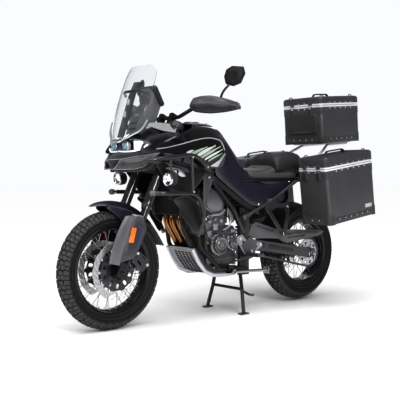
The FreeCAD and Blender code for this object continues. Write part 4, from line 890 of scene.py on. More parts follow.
@dataclass
class Assembly:
    """What every sub-assembly shares: its paints, its repeats, and how it hands over a piece."""

    paints: Paints
    copies: Repeater

    def paint(self, piece: bpy.types.Object, finish: Finish) -> bpy.types.Object:
        """Give a whole piece one finish."""
        piece.data.materials.clear()
        piece.data.materials.append(self.paints.of(finish))
        return piece

    def fit(self, piece: bpy.types.Object, body: str, finish: Finish, *nodes: str,
            painted: bool = False) -> bpy.types.Object:
        """Hand a finished piece to its body.

        Args:
            piece: the piece, at the origin.
            body: the body that it rides on.
            finish: its main finish.
            nodes: the frame's nodes that it stands for.
            painted: its faces have their own materials already.

        Returns:
            The piece.
        """
        if not painted:
            self.paint(piece, finish)
        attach(piece, body)
        if nodes:
            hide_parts(*nodes)
        LOG.info("%s on %s, %d faces", piece.name, body, len(piece.data.polygons))
        return piece

    def add(self, parts: list[bpy.types.Object], finish: Finish, *pieces: bpy.types.Object) -> None:
        """Paint pieces and put them with the rest of their assembly's parts."""
        parts.extend(self.paint(piece, finish) for piece in pieces)

    def join(self, name: str, parts: Sequence[bpy.types.Object], body: str, finish: Finish,
             *nodes: str) -> None:
        """Weld painted parts into one piece and hand it to its body.

        Args:
            name: the piece's name.
            parts: its painted parts.
            body: the body that it rides on.
            finish: its main finish.
            nodes: the frame's nodes that it stands for.
        """
        self.fit(welded(name, parts), body, finish, *nodes, painted=True)

    def keep(self, node: str, finish: Finish) -> None:
        """Dress a node of the frame in its finish."""
        carried = bpy.data.objects[node]
        carried.data.materials.clear()
        carried.data.materials.append(self.paints.of(finish))
        LOG.info("%s kept", node)

    def bolt(self, radius: float = 6, tall: float = 4) -> bpy.types.Object:
        """Template of a socket-head screw that stands on Z."""
        return lathe("screw", [
            (-1, 0), (-1, radius * 1.25), (0.6, radius * 1.25), (0.9, radius),
            (tall - 0.8, radius), (tall, radius - 0.8), (tall, radius * 0.55), (tall * 0.4, radius * 0.5),
            (tall * 0.4, 0)], (0, 0, 0), (0, 0, 1), 12, ring=False)

    def bolt_ring(self, name: str, middle: Point, reach: float, count: int, turn: int, radius: float,
                  tall: float, first: float = 0, step: float = 0) -> bpy.types.Object:
        """Chrome screws round a ring in the plane of a wheel.

        Args:
            name: the ring's name.
            middle: its middle.
            reach: the ring's radius.
            count: how many screws it has.
            turn: the side that they face, 1 or -1.
            radius: each head's radius.
            tall: each head's height.
            first: where the first one stands, in degrees.
            step: the turn from one to the next; an even spread if it is 0.

        Returns:
            The painted screws, joined.
        """
        spots = []
        for index in range(count):
            x, z = on_ring(reach, first + (step or 360 / count) * index, (middle[0], middle[2]))
            spots.append(((x, middle[1], z), looking((0, turn, 0))))
        return resharpened(self.copies.along(name, self.bolt(radius, tall), spots, self.paints.of(CHROME)))

    def screws(self, name: str, body: str, spots: Sequence[tuple[Point, Point]], radius: float = 6,
               finish: Finish = CHROME, tall: float = 4) -> None:
        """Screws at places, each along its own direction."""
        made = self.copies.along(name, self.bolt(radius, tall),
                                 [(spot, looking(way)) for spot, way in spots], self.paints.of(finish))
        self.fit(resharpened(made), body, finish, painted=True)


# ------------------------------------------------------------------ wheels
# One pitch of tread on one side: each block as shares of the pitch round and of the half width across.
TREAD_BLOCKS = (((0.10, 0.02), (0.38, 0.05), (0.50, 0.16), (0.34, 0.30), (0.06, 0.27), (-0.06, 0.12)),
                ((-0.36, 0.16), (-0.16, 0.20), (-0.02, 0.34), (-0.05, 0.50), (-0.26, 0.56), (-0.44, 0.36)),
                ((0.06, 0.38), (0.36, 0.40), (0.46, 0.58), (0.38, 0.74), (0.10, 0.72), (-0.02, 0.54)),
                ((-0.46, 0.66), (-0.06, 0.64), (0.02, 0.82), (0.02, 0.955), (-0.42, 0.955)),
                ((0.10, 0.80), (0.46, 0.82), (0.47, 0.93), (0.11, 0.93)),)


@dataclass
class Wheel(Assembly):
    """Spoked wheel: tyre with its tread, rim, and the discs on its hub."""

    end: str = "front"
    x: float = FRONT_AXLE[0]
    z: float = FRONT_AXLE[1]
    radius: float = 329
    half: float = 56
    rim: float = 252
    rim_half: float = 42
    repeats: int = 38
    crown: float = 34
    tread: float = 7.5

    def place(self) -> Matrix:
        """The ring frame: its Z along the axle."""
        return facing((0, 1, 0), (self.x, 0, self.z))

    def surface(self, across: float) -> float:
        """Radius of the tread's top at a distance from the middle."""
        return self.radius - 0.4 - self.crown * (abs(across) / (self.half - 2)) ** 2.3

    def tyre(self) -> None:
        """Carcass with bead lines and moulded blocks."""
        half, rim = self.half, self.rim
        side = [(self.rim_half - 5, rim - 16), (self.rim_half + 1, rim - 3), (self.rim_half + 3, rim + 3),
                (half * 0.86, rim + 9), (half - 3, rim + 0.42 * (self.radius - rim)),
                (half - 1.5, rim + 0.50 * (self.radius - rim)),
                (half - 2, self.surface(half - 5) - self.tread)]
        crown = [(half * share, self.surface(half * share) - self.tread)
                 for share in (0.85, 0.65, 0.4, 0.2)]
        outer = side + crown + [(0, self.radius - self.tread)]
        profile = outer + [(-along, reach) for along, reach in reversed(outer[:-1])]
        inner = [(-along * 0.8, reach - 8) for along, reach in reversed(profile)]
        inner = [(along, min(reach, self.radius - 22)) for along, reach in inner]
        carcass = moved(lathe("carcass", [(-a, r) for a, r in profile] + [(-a, r) for a, r in inner],
                              (0, 0, 0), (0, 0, 1), 128, 30), self.place())
        self.paint(carcass, TYRE)
        lines = []
        for turn in (-1, 1):
            for reach, along in ((rim + 12, half * 0.88), (rim + 17, half * 0.925)):
                self.add(lines, TYRE, lathe(
                    "bead_line", [(turn * (along - 3), reach - 1), (turn * (along + 0.9), reach - 0.4),
                                  (turn * (along + 0.9), reach + 0.4), (turn * (along - 3), reach + 1)],
                    (self.x, 0, self.z), steps=96))
        blocks = self.copies.round(
            "blocks", self.block_template(), self.repeats, self.radius, self.place(), self.paints.of(TYRE))
        tyre = welded(f"{self.end}_tyre_tread", [carcass, *lines, blocks])
        self.fit(tyre, f"{self.end}_wheel", TYRE, f"{self.end}_tyre", painted=True)

    def block_template(self) -> bpy.types.Object:
        """One pitch of tread: rounded diamonds in the middle, slanted blocks beside, lugs at the shoulder."""
        half = self.half
        pitch = 2 * math.pi * self.radius / self.repeats
        rims = [[(turn * along * pitch, turn * across * half) for along, across in outline]
                for turn in (-1, 1) for outline in TREAD_BLOCKS]
        shape = bmesh.new()
        for rim in rims:
            middle = (sum(spot[0] for spot in rim) / len(rim), sum(spot[1] for spot in rim) / len(rim))
            rings = []
            for depth, shrink in ((-self.tread - 1.5, 1.04), (-1.4, 0.97), (0, 0.86)):
                ring = []
                for along, across in rim:
                    near = middle[0] + (along - middle[0]) * shrink
                    wide = max(-0.975 * half, min(0.975 * half, middle[1] + (across - middle[1]) * shrink))
                    reach = self.surface(wide) + depth
                    angle = near / self.radius
                    ring.append(shape.verts.new(
                        (reach * math.cos(angle) - self.radius, reach * math.sin(angle), wide)))
                rings.append(ring)
            for low, high in zip(rings, rings[1:]):
                for index in range(len(rim)):
                    following = (index + 1) % len(rim)
                    shape.faces.new((low[index], low[following], high[following], high[index]))
            shape.faces.new(rings[-1])
        return finished("tread_pitch", shape, 24)

    def hoop(self) -> None:
        """Rim with its well, humps, raised flanges and spoke seats."""
        half, rim = self.rim_half, self.rim
        outer = [(-half, rim - 1), (-half + 2.5, rim), (-half + 5, rim - 2), (-half + 6, rim - 14),
                 (-half + 13, rim - 17), (-half + 20, rim - 26), (half - 20, rim - 26),
                 (half - 13, rim - 17), (half - 6, rim - 14), (half - 5, rim - 2), (half - 2.5, rim),
                 (half, rim - 1)]
        inner = [(half, rim - 8), (half - 3, rim - 17), (half - 4, rim - 23), (half - 12, rim - 26),
                 (half - 20, rim - 33), (0, rim - 35), (20 - half, rim - 33), (12 - half, rim - 26),
                 (4 - half, rim - 23), (3 - half, rim - 17), (-half, rim - 8)]
        hoop = self.paint(lathe("hoop", outer + inner, (self.x, 0, self.z), (0, 1, 0), 128, 28), RIM)
        seat = lathe("seat", [(0, 0), (0, 4.4), (4, 4.2), (9, 2.6), (14, 2.4), (14, 0)], (0, 0, 0),
                     (-1, 0, 0), 8, ring=False)
        seats = self.copies.round("seats", seat, 36, rim - 32, self.place(), self.paints.of(STEEL))
        rim_piece = welded(f"{self.end}_rim_hoop", [hoop, seats])
        self.fit(rim_piece, f"{self.end}_wheel", RIM, f"{self.end}_rim", painted=True)

    def brake(self, y: float, radius: float, band: float, carrier: float,
              way: int) -> list[bpy.types.Object]:
        """Perforated band on a black spider with silver buttons.

        Args:
            y: its middle.
            radius: its outer radius.
            band: the band's width.
            carrier: the spider's inner radius.
            way: the side that faces out, 1 or -1.

        Returns:
            Its painted parts.
        """
        holes = [circle(radius - band + 4, 72)]
        for index in range(24):
            turn = index * 15
            for step, reach in enumerate((0.20, 0.42, 0.64, 0.84)):
                holes.append(circle(3.3, 8, on_ring(radius - band * (1 - reach), turn + 4.1 * step)))
        wave = [((radius - 1.6 + 1.6 * math.cos(12 * turn)) * math.cos(turn),
                 (radius - 1.6 + 1.6 * math.cos(12 * turn)) * math.sin(turn))
                for turn in (math.radians(2.5 * step) for step in range(144))]
        ring = self.paint(plate("band", Plane.XZ, wave, (self.x, y, self.z), 4.6, holes, 0.4), DISC)
        inside = radius - band - 3
        arms = []
        for step in range(120):
            turn = math.radians(3 * step)
            reach = inside - 9 + 9 * max(0.0, math.cos(10 * turn)) ** 0.6
            arms.append((reach * math.cos(turn), reach * math.sin(turn)))
        slots = [circle(carrier, 40)]
        for index in range(10):
            lean = 36 * index + 18
            slots.append(
                slot_rim(0.62 * (inside - carrier), 20, on_ring(0.5 * (carrier + inside - 9), lean), lean))
        spider = self.paint(
            plate("spider", Plane.XZ, arms, (self.x, y + way * 1.5, self.z), 6, slots, 0.8), RIM)
        buttons = self.bolt_ring("buttons", (self.x, y + way * 2.4, self.z), inside, 10, way, 6.5, 3.6)
        return [ring, spider, buttons]


@dataclass
class FrontWheel(Wheel):
    """Front wheel with twin discs."""

    disc_y: float = 70

    def build(self) -> None:
        """Make every piece of the front wheel."""
        self.tyre()
        self.hoop()
        parts = [part for _, side in SIDES for part in self.brake(side * self.disc_y, 159.6, 41, 50, side)]
        self.join("front_brake_discs", parts, "front_wheel", CHROME, "front_discs")
        self.keep("front_hub", RIM)
        self.keep("front_spokes", STEEL)


@dataclass
class RearWheel(Wheel):
    """Rear wheel with its disc, sprocket and cush hub."""

    end: str = "rear"
    x: float = -695.5
    radius: float = 321
    half: float = 76
    rim: float = 229
    rim_half: float = 61
    repeats: int = 34
    crown: float = 38
    tread: float = 8
    sprocket_y: float = 98

    def sprocket(self) -> None:
        """Toothed ring with oval windows and its nuts."""
        teeth, tip, root = 42, 96, 88.5
        rim = []
        for index in range(teeth):
            for share, reach in ((-0.5, root), (-0.28, root + 0.6), (-0.10, tip - 0.3), (0.10, tip - 0.3),
                                 (0.28, root + 0.6)):
                turn = 2 * math.pi * (index + share) / teeth
                rim.append((reach * math.cos(turn), reach * math.sin(turn)))
        holes = [circle(36, 40)]
        for index in range(10):
            holes.append(slot_rim(26, 15, on_ring(69, 36 * index), 36 * index + 58))
        ring = self.paint(
            plate("teeth", Plane.XZ, rim, (self.x, self.sprocket_y, self.z), 6.4, holes, 0.9), SILVER)
        nuts = self.bolt_ring("nuts", (self.x, self.sprocket_y + 3, self.z), 48, 6, 1, 7, 6)
        self.join("rear_chain_sprocket", [ring, nuts], "rear_wheel", SILVER, "rear_sprocket")

    def build(self) -> None:
        """Make every piece of the rear wheel."""
        self.tyre()
        self.hoop()
        self.sprocket()
        parts = self.brake(-98, 129.6, 34, 55, -1)
        self.join("rear_brake_disc", parts, "rear_wheel", CHROME, "rear_disc")
        self.keep("rear_hub", RIM)
        self.keep("rear_spokes", STEEL)


# ------------------------------------------------------------------ steering
@dataclass
class FrontFork(Assembly):
    """Fork dress: guards, reflectors, calipers and the fender."""

    head_x: float = 796.5
    head_z: float = 310.8
    rake: float = 25.0
    leg_y: float = 105

    def at(self, ahead: float, y: float, up: float) -> Vector:
        """A place given ahead of the steering axis and up along it."""
        cos, sin = math.cos(math.radians(self.rake)), math.sin(math.radians(self.rake))
        return Vector((self.head_x + cos * ahead - sin * up, y, self.head_z + sin * ahead + cos * up))

    def guards(self) -> None:
        """Wrapped leg guards with a pale leading slat, a rear body, a slanted reflector and a chevron."""
        for side, turn in SIDES:
            def out(x: float, y: float, z: float) -> Vector:
                """A place on this side."""
                return Vector((x, turn * y, z))

            rows = [[out(806, 108, 628), out(790, 122, 632), out(766, 128, 628)],
                    [out(842, 108, 572), out(828, 123, 575), out(792, 130, 560)],
                    [out(892, 108, 470), out(880, 122, 466), out(838, 129, 456)],
                    [out(916, 110, 376), out(906, 121, 377), out(858, 127, 366)]]
            slat = self.paint(thickened(smoothed(sheet("slat", rows, (0, 1, 3), (0, 1, 2)), 1), 3, 0), SLAT)
            rows = [[out(770, 120, 634), out(744, 134, 631), out(706, 134, 620), out(690, 118, 612)],
                    [out(790, 122, 572), out(752, 137, 566), out(684, 136, 556), out(668, 116, 550)],
                    [out(834, 122, 462), out(806, 136, 458), out(738, 136, 442), out(722, 116, 436)],
                    [out(856, 120, 372), out(846, 133, 384), out(770, 134, 402), out(756, 118, 404)]]
            shell = self.paint(thickened(smoothed(sheet("shell", rows, (1, 3), (1, 2)), 1), 3, 0), SHELL)
            cap = self.paint(rounded(
                skin("cap", [[out(x, y, z) for x, z in ((770, 640), (712, 628), (704, 616), (768, 630))]
                             for y in (112, 134)]), 2), PALE)
            lens = [[out(x, y, z) for x, z in ((781, 568), (752, 563), (775, 484), (806, 488))]
                    for y in (134, 139.5)]
            reflector = self.paint(rounded(skin("reflector", lens), 1), AMBER)
            marks = []
            for start, finish in (((736, 574), (706, 548)), ((706, 548), (752, 446))):
                self.add(marks, DARK_BLUE, sweep(
                    "mark", [out(start[0], 138, start[1]), out(finish[0], 138.4, finish[1])], 5, 6,
                    flat=0.3, up=(0, 1, 0)))
            self.join(f"{side}_fork_guard", [slat, shell, cap, reflector, *marks], "steering", GUARD,
                      *left_only(turn, "fork_guards"))

    def calipers(self) -> None:
        """Four-piston calipers: two bolted halves with a window, piston covers and a bridge."""
        low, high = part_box("front_calipers")
        middle = ((low.x + high.x) / 2 / MM, (low.z + high.z) / 2 / MM)
        lean = math.degrees(math.atan2(middle[1] - FRONT_AXLE[1], middle[0] - FRONT_AXLE[0])) + 90
        for side, turn in SIDES:
            outline = [(-52, -30), (-34, -39), (34, -39), (52, -30), (54, 12), (40, 27), (14, 31), (8, 24),
                       (-8, 24), (-14, 31), (-40, 27), (-54, 12)]
            halves = []
            for y, thick in ((turn * 91, 19), (turn * 57, 13)):
                half = plate("half", Plane.XZ, [(-a, -b) for a, b in outline], (0, y, 0), thick,
                             [slot_rim(34, 9, (0, 12))], 3)
                self.add(halves, TUBE, half)
            for a in (-28, 28):
                self.add(halves, TUBE, drum("piston_cover", 14, 0, 3, (a, turn * 99.5, 8), (0, turn, 0)))
            self.add(halves, TUBE, block("bridge", (-38, 51, -38) if turn > 0 else (-38, -98, -38),
                                         (38, 98, -27) if turn > 0 else (38, -51, -27), 3))
            bolts = self.copies.along(
                "bolts", self.bolt(7, 5), [((a, turn * 101, b), looking((0, turn, 0)))
                                           for a, b in ((-44, -14), (44, -14))], self.paints.of(CHROME))
            caliper = welded(f"{side}_front_caliper", [*halves, resharpened(bolts)])
            way = Matrix.Rotation(math.radians(-lean), 4, (0, 1, 0)) @ Matrix.Diagonal((1.08, 1, 1.05, 1))
            moved(caliper, shift(middle[0] - 30, 0, middle[1] - 52) @ way)
            self.fit(caliper, "steering", TUBE, *left_only(turn, "front_calipers"), painted=True)

    def fender(self) -> None:
        """Low fender with a pointed tip, creased shoulders, side braces and a rear flap."""
        rows = arched(
            ((69.6, 379, 9, 3), (74, 383, 32, 12), (82, 386, 52, 24),
             (94, 386, 62, 36), (108, 382, 67, 48), (123, 374, 68, 52), (136, 367, 66, 46)),
            ((-1, 1), (-0.82, 0.55), (-0.5, 0.14), (0, 0), (0.5, 0.14), (0.82, 0.55), (1, 1)), FRONT_AXLE)
        parts = [self.paint(thickened(smoothed(sheet("cover", rows, (), (2, 4)), 2), 3), NAVY)]
        flap = arched(((133, 363, 62, 26), (143, 362, 62, 28), (153, 364, 58, 20), (161.8, 367, 50, 8)),
                      ((-1, 1), (-0.7, 0.3), (0, 0), (0.7, 0.3), (1, 1)), FRONT_AXLE)
        self.add(parts, TRIM, thickened(smoothed(sheet("flap", flap), 2), 3))
        for _, turn in SIDES:
            brace = [[(on_ring(r, a, FRONT_AXLE)[0], turn * w, on_ring(r, a, FRONT_AXLE)[1])
                      for a, r, w in line] for line in (
                          ((79, 362, 48), (93, 352, 62), (112, 340, 70), (134, 330, 70)),
                          ((83, 334, 64), (95, 324, 76), (110, 312, 80), (128, 306, 78)),
                          ((93, 296, 77), (100, 290, 81), (110, 276, 82), (122, 270, 81)),
                          ((100, 244, 81), (105, 240, 82), (112, 234, 82.5), (118, 234, 82)))]
            self.add(parts, NAVY, thickened(smoothed(sheet("brace", brace, (1,)), 2), 3))
        self.join("front_fender_shell", parts, "steering", NAVY, "front_fender")
        self.screws("fender_screws", "steering", [
            ((on_ring(300, a, FRONT_AXLE)[0], turn * 80.5, on_ring(300, a, FRONT_AXLE)[1]), (0, turn, 0))
            for _, turn in SIDES for a in (113, 124)], 4, tall=2.2)

    def build(self) -> None:
        """Make and dress every piece of the fork."""
        self.guards()
        self.calipers()
        self.fender()
        self.keep("fork_tubes", TUBE)
        self.keep("fork_legs", TUBE)
        self.keep("triple_clamps", FRAME)
        lines = []
        for _, turn in SIDES:
            for up in (392, 640, 876):
                lines.append(lathe(
                    "collar", [(0, 27), (0, 31.5), (3, 33), (11, 33), (14, 31.5), (14, 27)],
                    self.at(30, turn * self.leg_y, up - 7),
                    (-math.sin(math.radians(self.rake)), 0, math.cos(math.radians(self.rake)))))
        self.fit(welded("fork_collars", lines), "steering", TUBE)


@dataclass
class Controls(Assembly):
    """Handlebar dress: grips, switch boxes, levers, hand guards and mirrors."""

    def grips(self) -> None:
        """Ribbed grips with bar ends, switch boxes, reservoirs and curved levers."""
        low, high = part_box("hand_controls")
        z = 0.5 * (low.z + high.z) / MM
        for side, turn in SIDES:
            inner, outer = Vector((318, turn * 302, z + 7)), Vector((278, turn * 436, z - 1))
            way = (outer - inner).normalized()
            long = (outer - inner).length
            profile = [(0, 11.4), (0, 20), (4, 20), (5, 16.4)]
            for index in range(13):
                start = 10 + index * (long - 24) / 13
                profile += [(start, 16.2), (start + 1.5, 17.4), (start + 5.5, 17.4), (start + 7, 16.2)]
            profile += [(long - 8, 17), (long - 7, 18.5), (long - 1, 18.5), (long, 16), (long, 11.4)]
            parts = [self.paint(lathe("grip", profile, inner, way, 28), RUBBER)]
            self.add(parts, BLACK, rounded(
                skin("switches", [[inner - way * s + Vector((dx, 0, dz)) for dx, dz in (
                    (24, -8), (18, 20), (-16, 22), (-24, 4), (-18, -22), (10, -24))] for s in (6, 50)]), 5,
                3))
            spot = inner - way * 26
            self.add(parts, AMBER if turn < 0 else PALE,
                     drum("button", 5, 0, 27, spot, (-0.72, 0, 0.35), 1, 16))
            lever = path([spot + Vector((14, 0, -2)), spot + Vector((36, turn * 18, -2)),
                          inner + way * 36 + Vector((48, 0, 0)), outer + Vector((40, -turn * 20, -2))], 30)
            self.add(parts, SILVER, sweep("lever", lever, 6.4, 10, flat=0.62))
            if turn < 0:
                self.add(parts, BLACK, rounded(skin("reservoir", [
                    [spot + Vector((dx, dy, dz)) for dx, dy in ((44, -22), (44, 22), (12, 24), (12, -24))]
                    for dz in (8, 40)]), 4, 3))
            self.join(f"{side}_grip_and_lever", parts, "steering", RUBBER,
                      *left_only(turn, "hand_controls"))

    def guards(self) -> None:
        """Moulded hand guards with a grey crown over a black bowl."""
        for side, turn in SIDES:
            crown, bowl = [], []
            for y, x, top, low in ((250, 470, 1250, 1218), (290, 484, 1270, 1200), (340, 478, 1280, 1190),
                                   (390, 450, 1280, 1186), (432, 406, 1270, 1190), (458, 350, 1252, 1202),
                                   (463, 300, 1238, 1214)):
                crown.append([(x - 24, turn * (y - 5), top + 1), (x - 6, turn * y, top),
                              (x + 2, turn * (y + 1), top - 16), (x, turn * y, 0.56 * top + 0.44 * low)])
                bowl.append([(x - 1, turn * (y - 1), 0.56 * top + 0.44 * low),
                             (x + 3, turn * (y + 2), 0.35 * top + 0.65 * low), (x - 4, turn * y, low + 6),
                             (x - 20, turn * (y - 6), low)])
            parts = [self.paint(
                thickened(smoothed(sheet("crown", crown, (1, 3), (1, 2, 3)), 1), 3, 0), GUARD),
                     self.paint(thickened(smoothed(sheet("bowl", bowl, (1, 3), (0, 2)), 1), 3.4, 0), BLACK)]
            brace = path([(322, turn * 452, 1222), (392, turn * 430, 1224), (446, turn * 350, 1226),
                          (440, turn * 258, 1226)], 50)
            self.add(parts, FRAME, sweep("brace", brace, 7, 10, flat=0.6))
            self.join(f"{side}_hand_guard_shell", parts, "steering", BLACK, *left_only(turn, "hand_guards"))

    def mirrors(self) -> None:
        """Swept five-cornered mirror heads on curved stalks."""
        for side, turn in SIDES:
            rim = [(-20, 62), (48, 58), (62, 20), (42, -34), (-2, -52), (-48, -40), (-62, 0), (-54, 40)]
            centre = Vector((296, turn * 428, 1388))
            lean = Matrix.Rotation(math.radians(-8), 4,
                                   (0, 1, 0)) @ Matrix.Rotation(math.radians(turn * 24), 4, (0, 0, 1))
            head, glass = (
                [[centre + lean @ Vector((depth, turn * across * size, up * size)) for across, up in rim]
                 for depth, size in steps] for steps in (
                     ((0, 0.97), (3, 1.0), (10, 0.98), (22, 0.80), (31, 0.46)), ((-2.2, 0.86), (0.6, 0.9))))
            stalk = path([(322, turn * 352, 1222), (342, turn * 356, 1262), (346, turn * 384, 1310),
                          (318, turn * 414, 1352)], 40)
            parts = [self.paint(rounded(skin("head", head), 5, 3, 20), BLACK),
                     self.paint(rounded(skin("glass", glass), 1), MIRROR),
                     self.paint(sweep("stalk", stalk, 6.5, 14), FRAME),
                     self.paint(drum("boot", 12, -6, 16, (322, turn * 352, 1224), (0, 0, 1), 4), RUBBER)]
            self.join(f"{side}_mirror_head", parts, "steering", BLACK, *left_only(turn, "mirrors"))

    def build(self) -> None:
        """Make and dress every piece on the bar."""
        self.keep("handlebar", FRAME)
        self.grips()
        self.guards()
        self.mirrors()


# ------------------------------------------------------------------ body panels
@dataclass
class Bodywork(Assembly):
    """Tank cover, gloss wings, knee panels, stripes, nose, lamp, screen and dash."""

    wall: float = 3.0
    lamp_sweep: float = 0.0034
    wing: tuple = (
        (640, (150, 1010), (158, 1008), (166, 996), (172, 975), (160, 962)),
        (560, (160, 1046), (166, 1040), (178, 1003), (187, 970), (176, 945)),
        (480, (162, 1078), (171, 1070), (190, 1022), (198, 970), (188, 925)),
        (400, (160, 1105), (170, 1095), (197, 1045), (203, 975), (193, 905)),
        (352, (134, 1127), (160, 1112), (199, 1056), (204, 975), (194, 896)),
        (320, (92, 1149), (150, 1119), (199, 1062), (204, 975), (195, 890)),
        (250, (82, 1155), (140, 1128), (199, 1070), (204, 975), (193, 885)),
        (195, (76, 1154), (136, 1123), (197, 1054), (202, 970), (189, 890)),
        (150, (70, 1147), (132, 1112), (187, 1010), (195, 965), (183, 905)))
    knee: tuple = (((168, 70, 1158), (69, 66, 1103), (-13, 62, 1015), (-73, 62, 950), (-109, 84, 886),
                    (-170, 136, 806), (-260, 152, 790), (-400, 156, 806), (-520, 152, 836)),
                   ((160, 150, 1090), (90, 140, 1040), (20, 132, 960), (-40, 128, 890), (-100, 140, 836),
                    (-176, 160, 786), (-270, 166, 768), (-400, 165, 786), (-520, 158, 822)),
                   ((165, 192, 985), (110, 176, 950), (50, 166, 900), (-10, 166, 850), (-80, 168, 790),
                    (-190, 172, 738), (-300, 172, 742), (-420, 167, 774), (-522, 158, 808)),
                   ((245, 186, 868), (180, 180, 826), (100, 176, 776), (20, 174, 726), (-60, 174, 680),
                    (-158, 174, 640), (-290, 174, 705), (-420, 168, 757), (-520, 160, 800)))
    trim: tuple = ((235, 176, 838), (160, 174, 790), (80, 172, 738), (0, 172, 690), (-80, 172, 648),
                   (-150, 170, 620))
    arc: tuple = ((640, 166, 994), (572, 174, 1001), (500, 184, 1018), (422, 194, 1039), (350, 199, 1056),
                  (276, 200.5, 1066), (198, 198.5, 1054), (172, 196, 1030), (154, 192, 996))

    def panel(self, name: str, rows: Sequence[Sequence[Point]], turn: int, finish: Finish,
              crisp_rows: Iterable[int] = (), crisp_columns: Iterable[int] = (), wall: float | None = None,
              levels: int = 2) -> bpy.types.Object:
        """Moulded panel through a grid of places on the left, mirrored for the right.

        Args:
            name: the panel's name.
            rows: its grid.
            turn: 1 for the left, -1 for the right.
            finish: its finish.
            crisp_rows: rows that stay crisp.
            crisp_columns: columns that stay crisp.
            wall: its wall where it isn't the usual one.
            levels: its smoothing.

        Returns:
            The painted panel.
        """
        grid = [sided(row, turn) for row in rows]
        middle = [Vector(spot) for row in grid for spot in row]
        centre = sum(middle, Vector()) / len(middle)
        made = smoothed(sheet(name, grid, crisp_rows, crisp_columns), levels)
        outward = sum((face.normal.dot(face.center / MM - Vector((face.center.x / MM, 0, centre.z - 40)))
                       for face in made.data.polygons))
        if outward < 0:
            made.data.flip_normals()
        return self.paint(thickened(made, wall or self.wall, -1), finish)

    def tank(self) -> None:
        """Top cover, gloss wings with a silver line, and the pale stripes behind them."""
        stations = self.wing
        inner = []
        for x, *ring in stations[5:]:
            pairs = [(y - 7, z - 4) for y, z in ring]
            inner.append(hoop_of(x, pairs))
        for x, top, width in ((90, 1098, 0.72), (0, 1006, 0.64), (-60, 940, 0.6), (-104, 868, 0.58)):
            foot = max(700, top - 190)
            inner.append(hoop_of(x, [(y * width, z) for y, z in (
                (70, top), (120, top - 30), (190, top - 90), (196, top - 130), (188, foot))]))
        self.fit(smoothed(skin("fuel_tank_shell", inner), 1), "frame", BLACK, "fuel_tank")
        spine = [[(x, y, z - fall) for y, fall in (
            (-wide - flare, drop), (-wide, 1), (0, 0),
            (wide, 1), (wide + flare, drop))] for x, wide, z, flare, drop in (
                (330, 96, 1149, 30, 15), (300, 92, 1156, 30, 18), (250, 88, 1157, 30, 15),
                (200, 84, 1157, 30, 19), (168, 76, 1156, 30, 26), (120, 74, 1134, 6, 4),
                (69, 70, 1102, 2, 2), (-13, 66, 1014, 2, 2), (-73, 66, 949, 2, 2), (-106, 72, 895, 2, 2),
                (-112, 74, 872, 2, 2))]
        self.fit(self.panel("tank_top_cover", spine, 1, BLACK), "frame", BLACK, painted=True)
        rim = lathe("filler_rim", [(-4, 47), (1, 47), (2.4, 49), (2.4, 54), (1, 56), (-4, 56)],
                    (FILLER_X, 0, 1156.5), (0, 0, 1), 48)
        self.fit(rim, "frame", STEEL)
        self.screws("tank_cover_screws", "frame", [((x, y, z), (0.0, 0, 1)) for x, y, z in (
            (330, 62, 1149), (330, -62, 1149), (176, 54, 1157), (176, -54, 1157))], 5, tall=2)
        for side, turn in SIDES:
            rows = [[(x, y, z) for y, z in ring] for x, *ring in stations]
            self.fit(self.panel(f"{side}_gloss_wing", rows, turn, GLOSS, (), (1, 3)), "frame", GLOSS,
                     painted=True)
            line = path([(x, turn * (y + 1.2), z) for x, y, z in self.arc], 30, 4)
            self.fit(sweep(f"{side}_silver_arc", line, 3.2, 8, flat=0.42, up=(0, 1, 0)), "frame", SILVER)
            rear = [[(x, y, z) for x, y, z in row] for row in self.knee]
            nodes = left_only(turn, "side_covers")
            knee = self.panel("knee", rear, turn, NAVY, (1, 3), (4,))
            strip = []
            for x, y, z in self.trim:
                strip.append([(x + 12, turn * (y - 2), z + 26), (x + 4, turn * (y + 3), z + 10),
                              (x - 4, turn * (y + 2), z - 6), (x - 6, turn * (y - 8), z - 16)])
            skirt = [[(-112, 96, 880), (-150, 120, 868),
                      (-220, 140, 862), (-320, 144, 862), (-420, 142, 862), (-520, 138, 868)],
                     [(-118, 118, 858), (-156, 140, 838),
                      (-230, 152, 832), (-320, 153, 832), (-420, 152, 836), (-520, 148, 850)],
                     [(-122, 112, 840), (-168, 134, 800), (-250, 148, 784), (-340, 150, 790),
                      (-430, 150, 806), (-520, 146, 832)]]
            knee = welded("knee_and_skirt", [knee, self.panel("skirt", skirt, turn, COVER)])
            edge = self.paint(thickened(smoothed(sheet("trim", strip, (), (1, 2)), 2), 3, 0), TRIM)
            self.join(f"{side}_knee_and_side_cover", [knee, edge], "frame", NAVY, *nodes)
            self.stripes(side, turn)

    def stripes(self, side: str, turn: int) -> None:
        """Generic slanted bars on the wing, and a silver wedge behind them."""
        bars = []
        for front, low, rear, high, wide, finish in (
                (452, 972, 404, 990, 8, RIVET), (432, 962, 300, 1011, 9, GREEN),
                (380, 956, 236, 1020, 11, RIVET), (352, 945, 196, 1016, 9, GREEN),
                (318, 938, 176, 1000, 7, RIVET), (290, 930, 182, 978, 6, GREEN)):
            rings = []
            for step in range(7):
                share = step / 6
                x, z = front + (rear - front) * share, low + (high - low) * share ** 0.9
                half = wide * (0.35 + 0.65 * math.sin(math.pi * min(1.0, share + 0.18)) ** 0.5)
                rings.append([(x, turn * (self.wing_y(x, z + lift) + out), z + lift)
                              for lift, out in ((-half, 1.4), (half, 1.4), (half, 3.0), (-half, 3.0))])
            self.add(bars, finish, skin("bar", rings))
        self.join(f"{side}_wing_stripes", bars, "frame", GREEN)
        wedge = []
        for out in (0, 5):
            wedge.append([(x, turn * (y + out), z) for x, y, z in (
                (276, 196, 900), (214, 194, 896), (150, 194, 970), (158, 196, 980), (206, 199, 938))])
        self.fit(rounded(skin(f"{side}_silver_wedge", wedge), 1.5), "frame", SILVER)

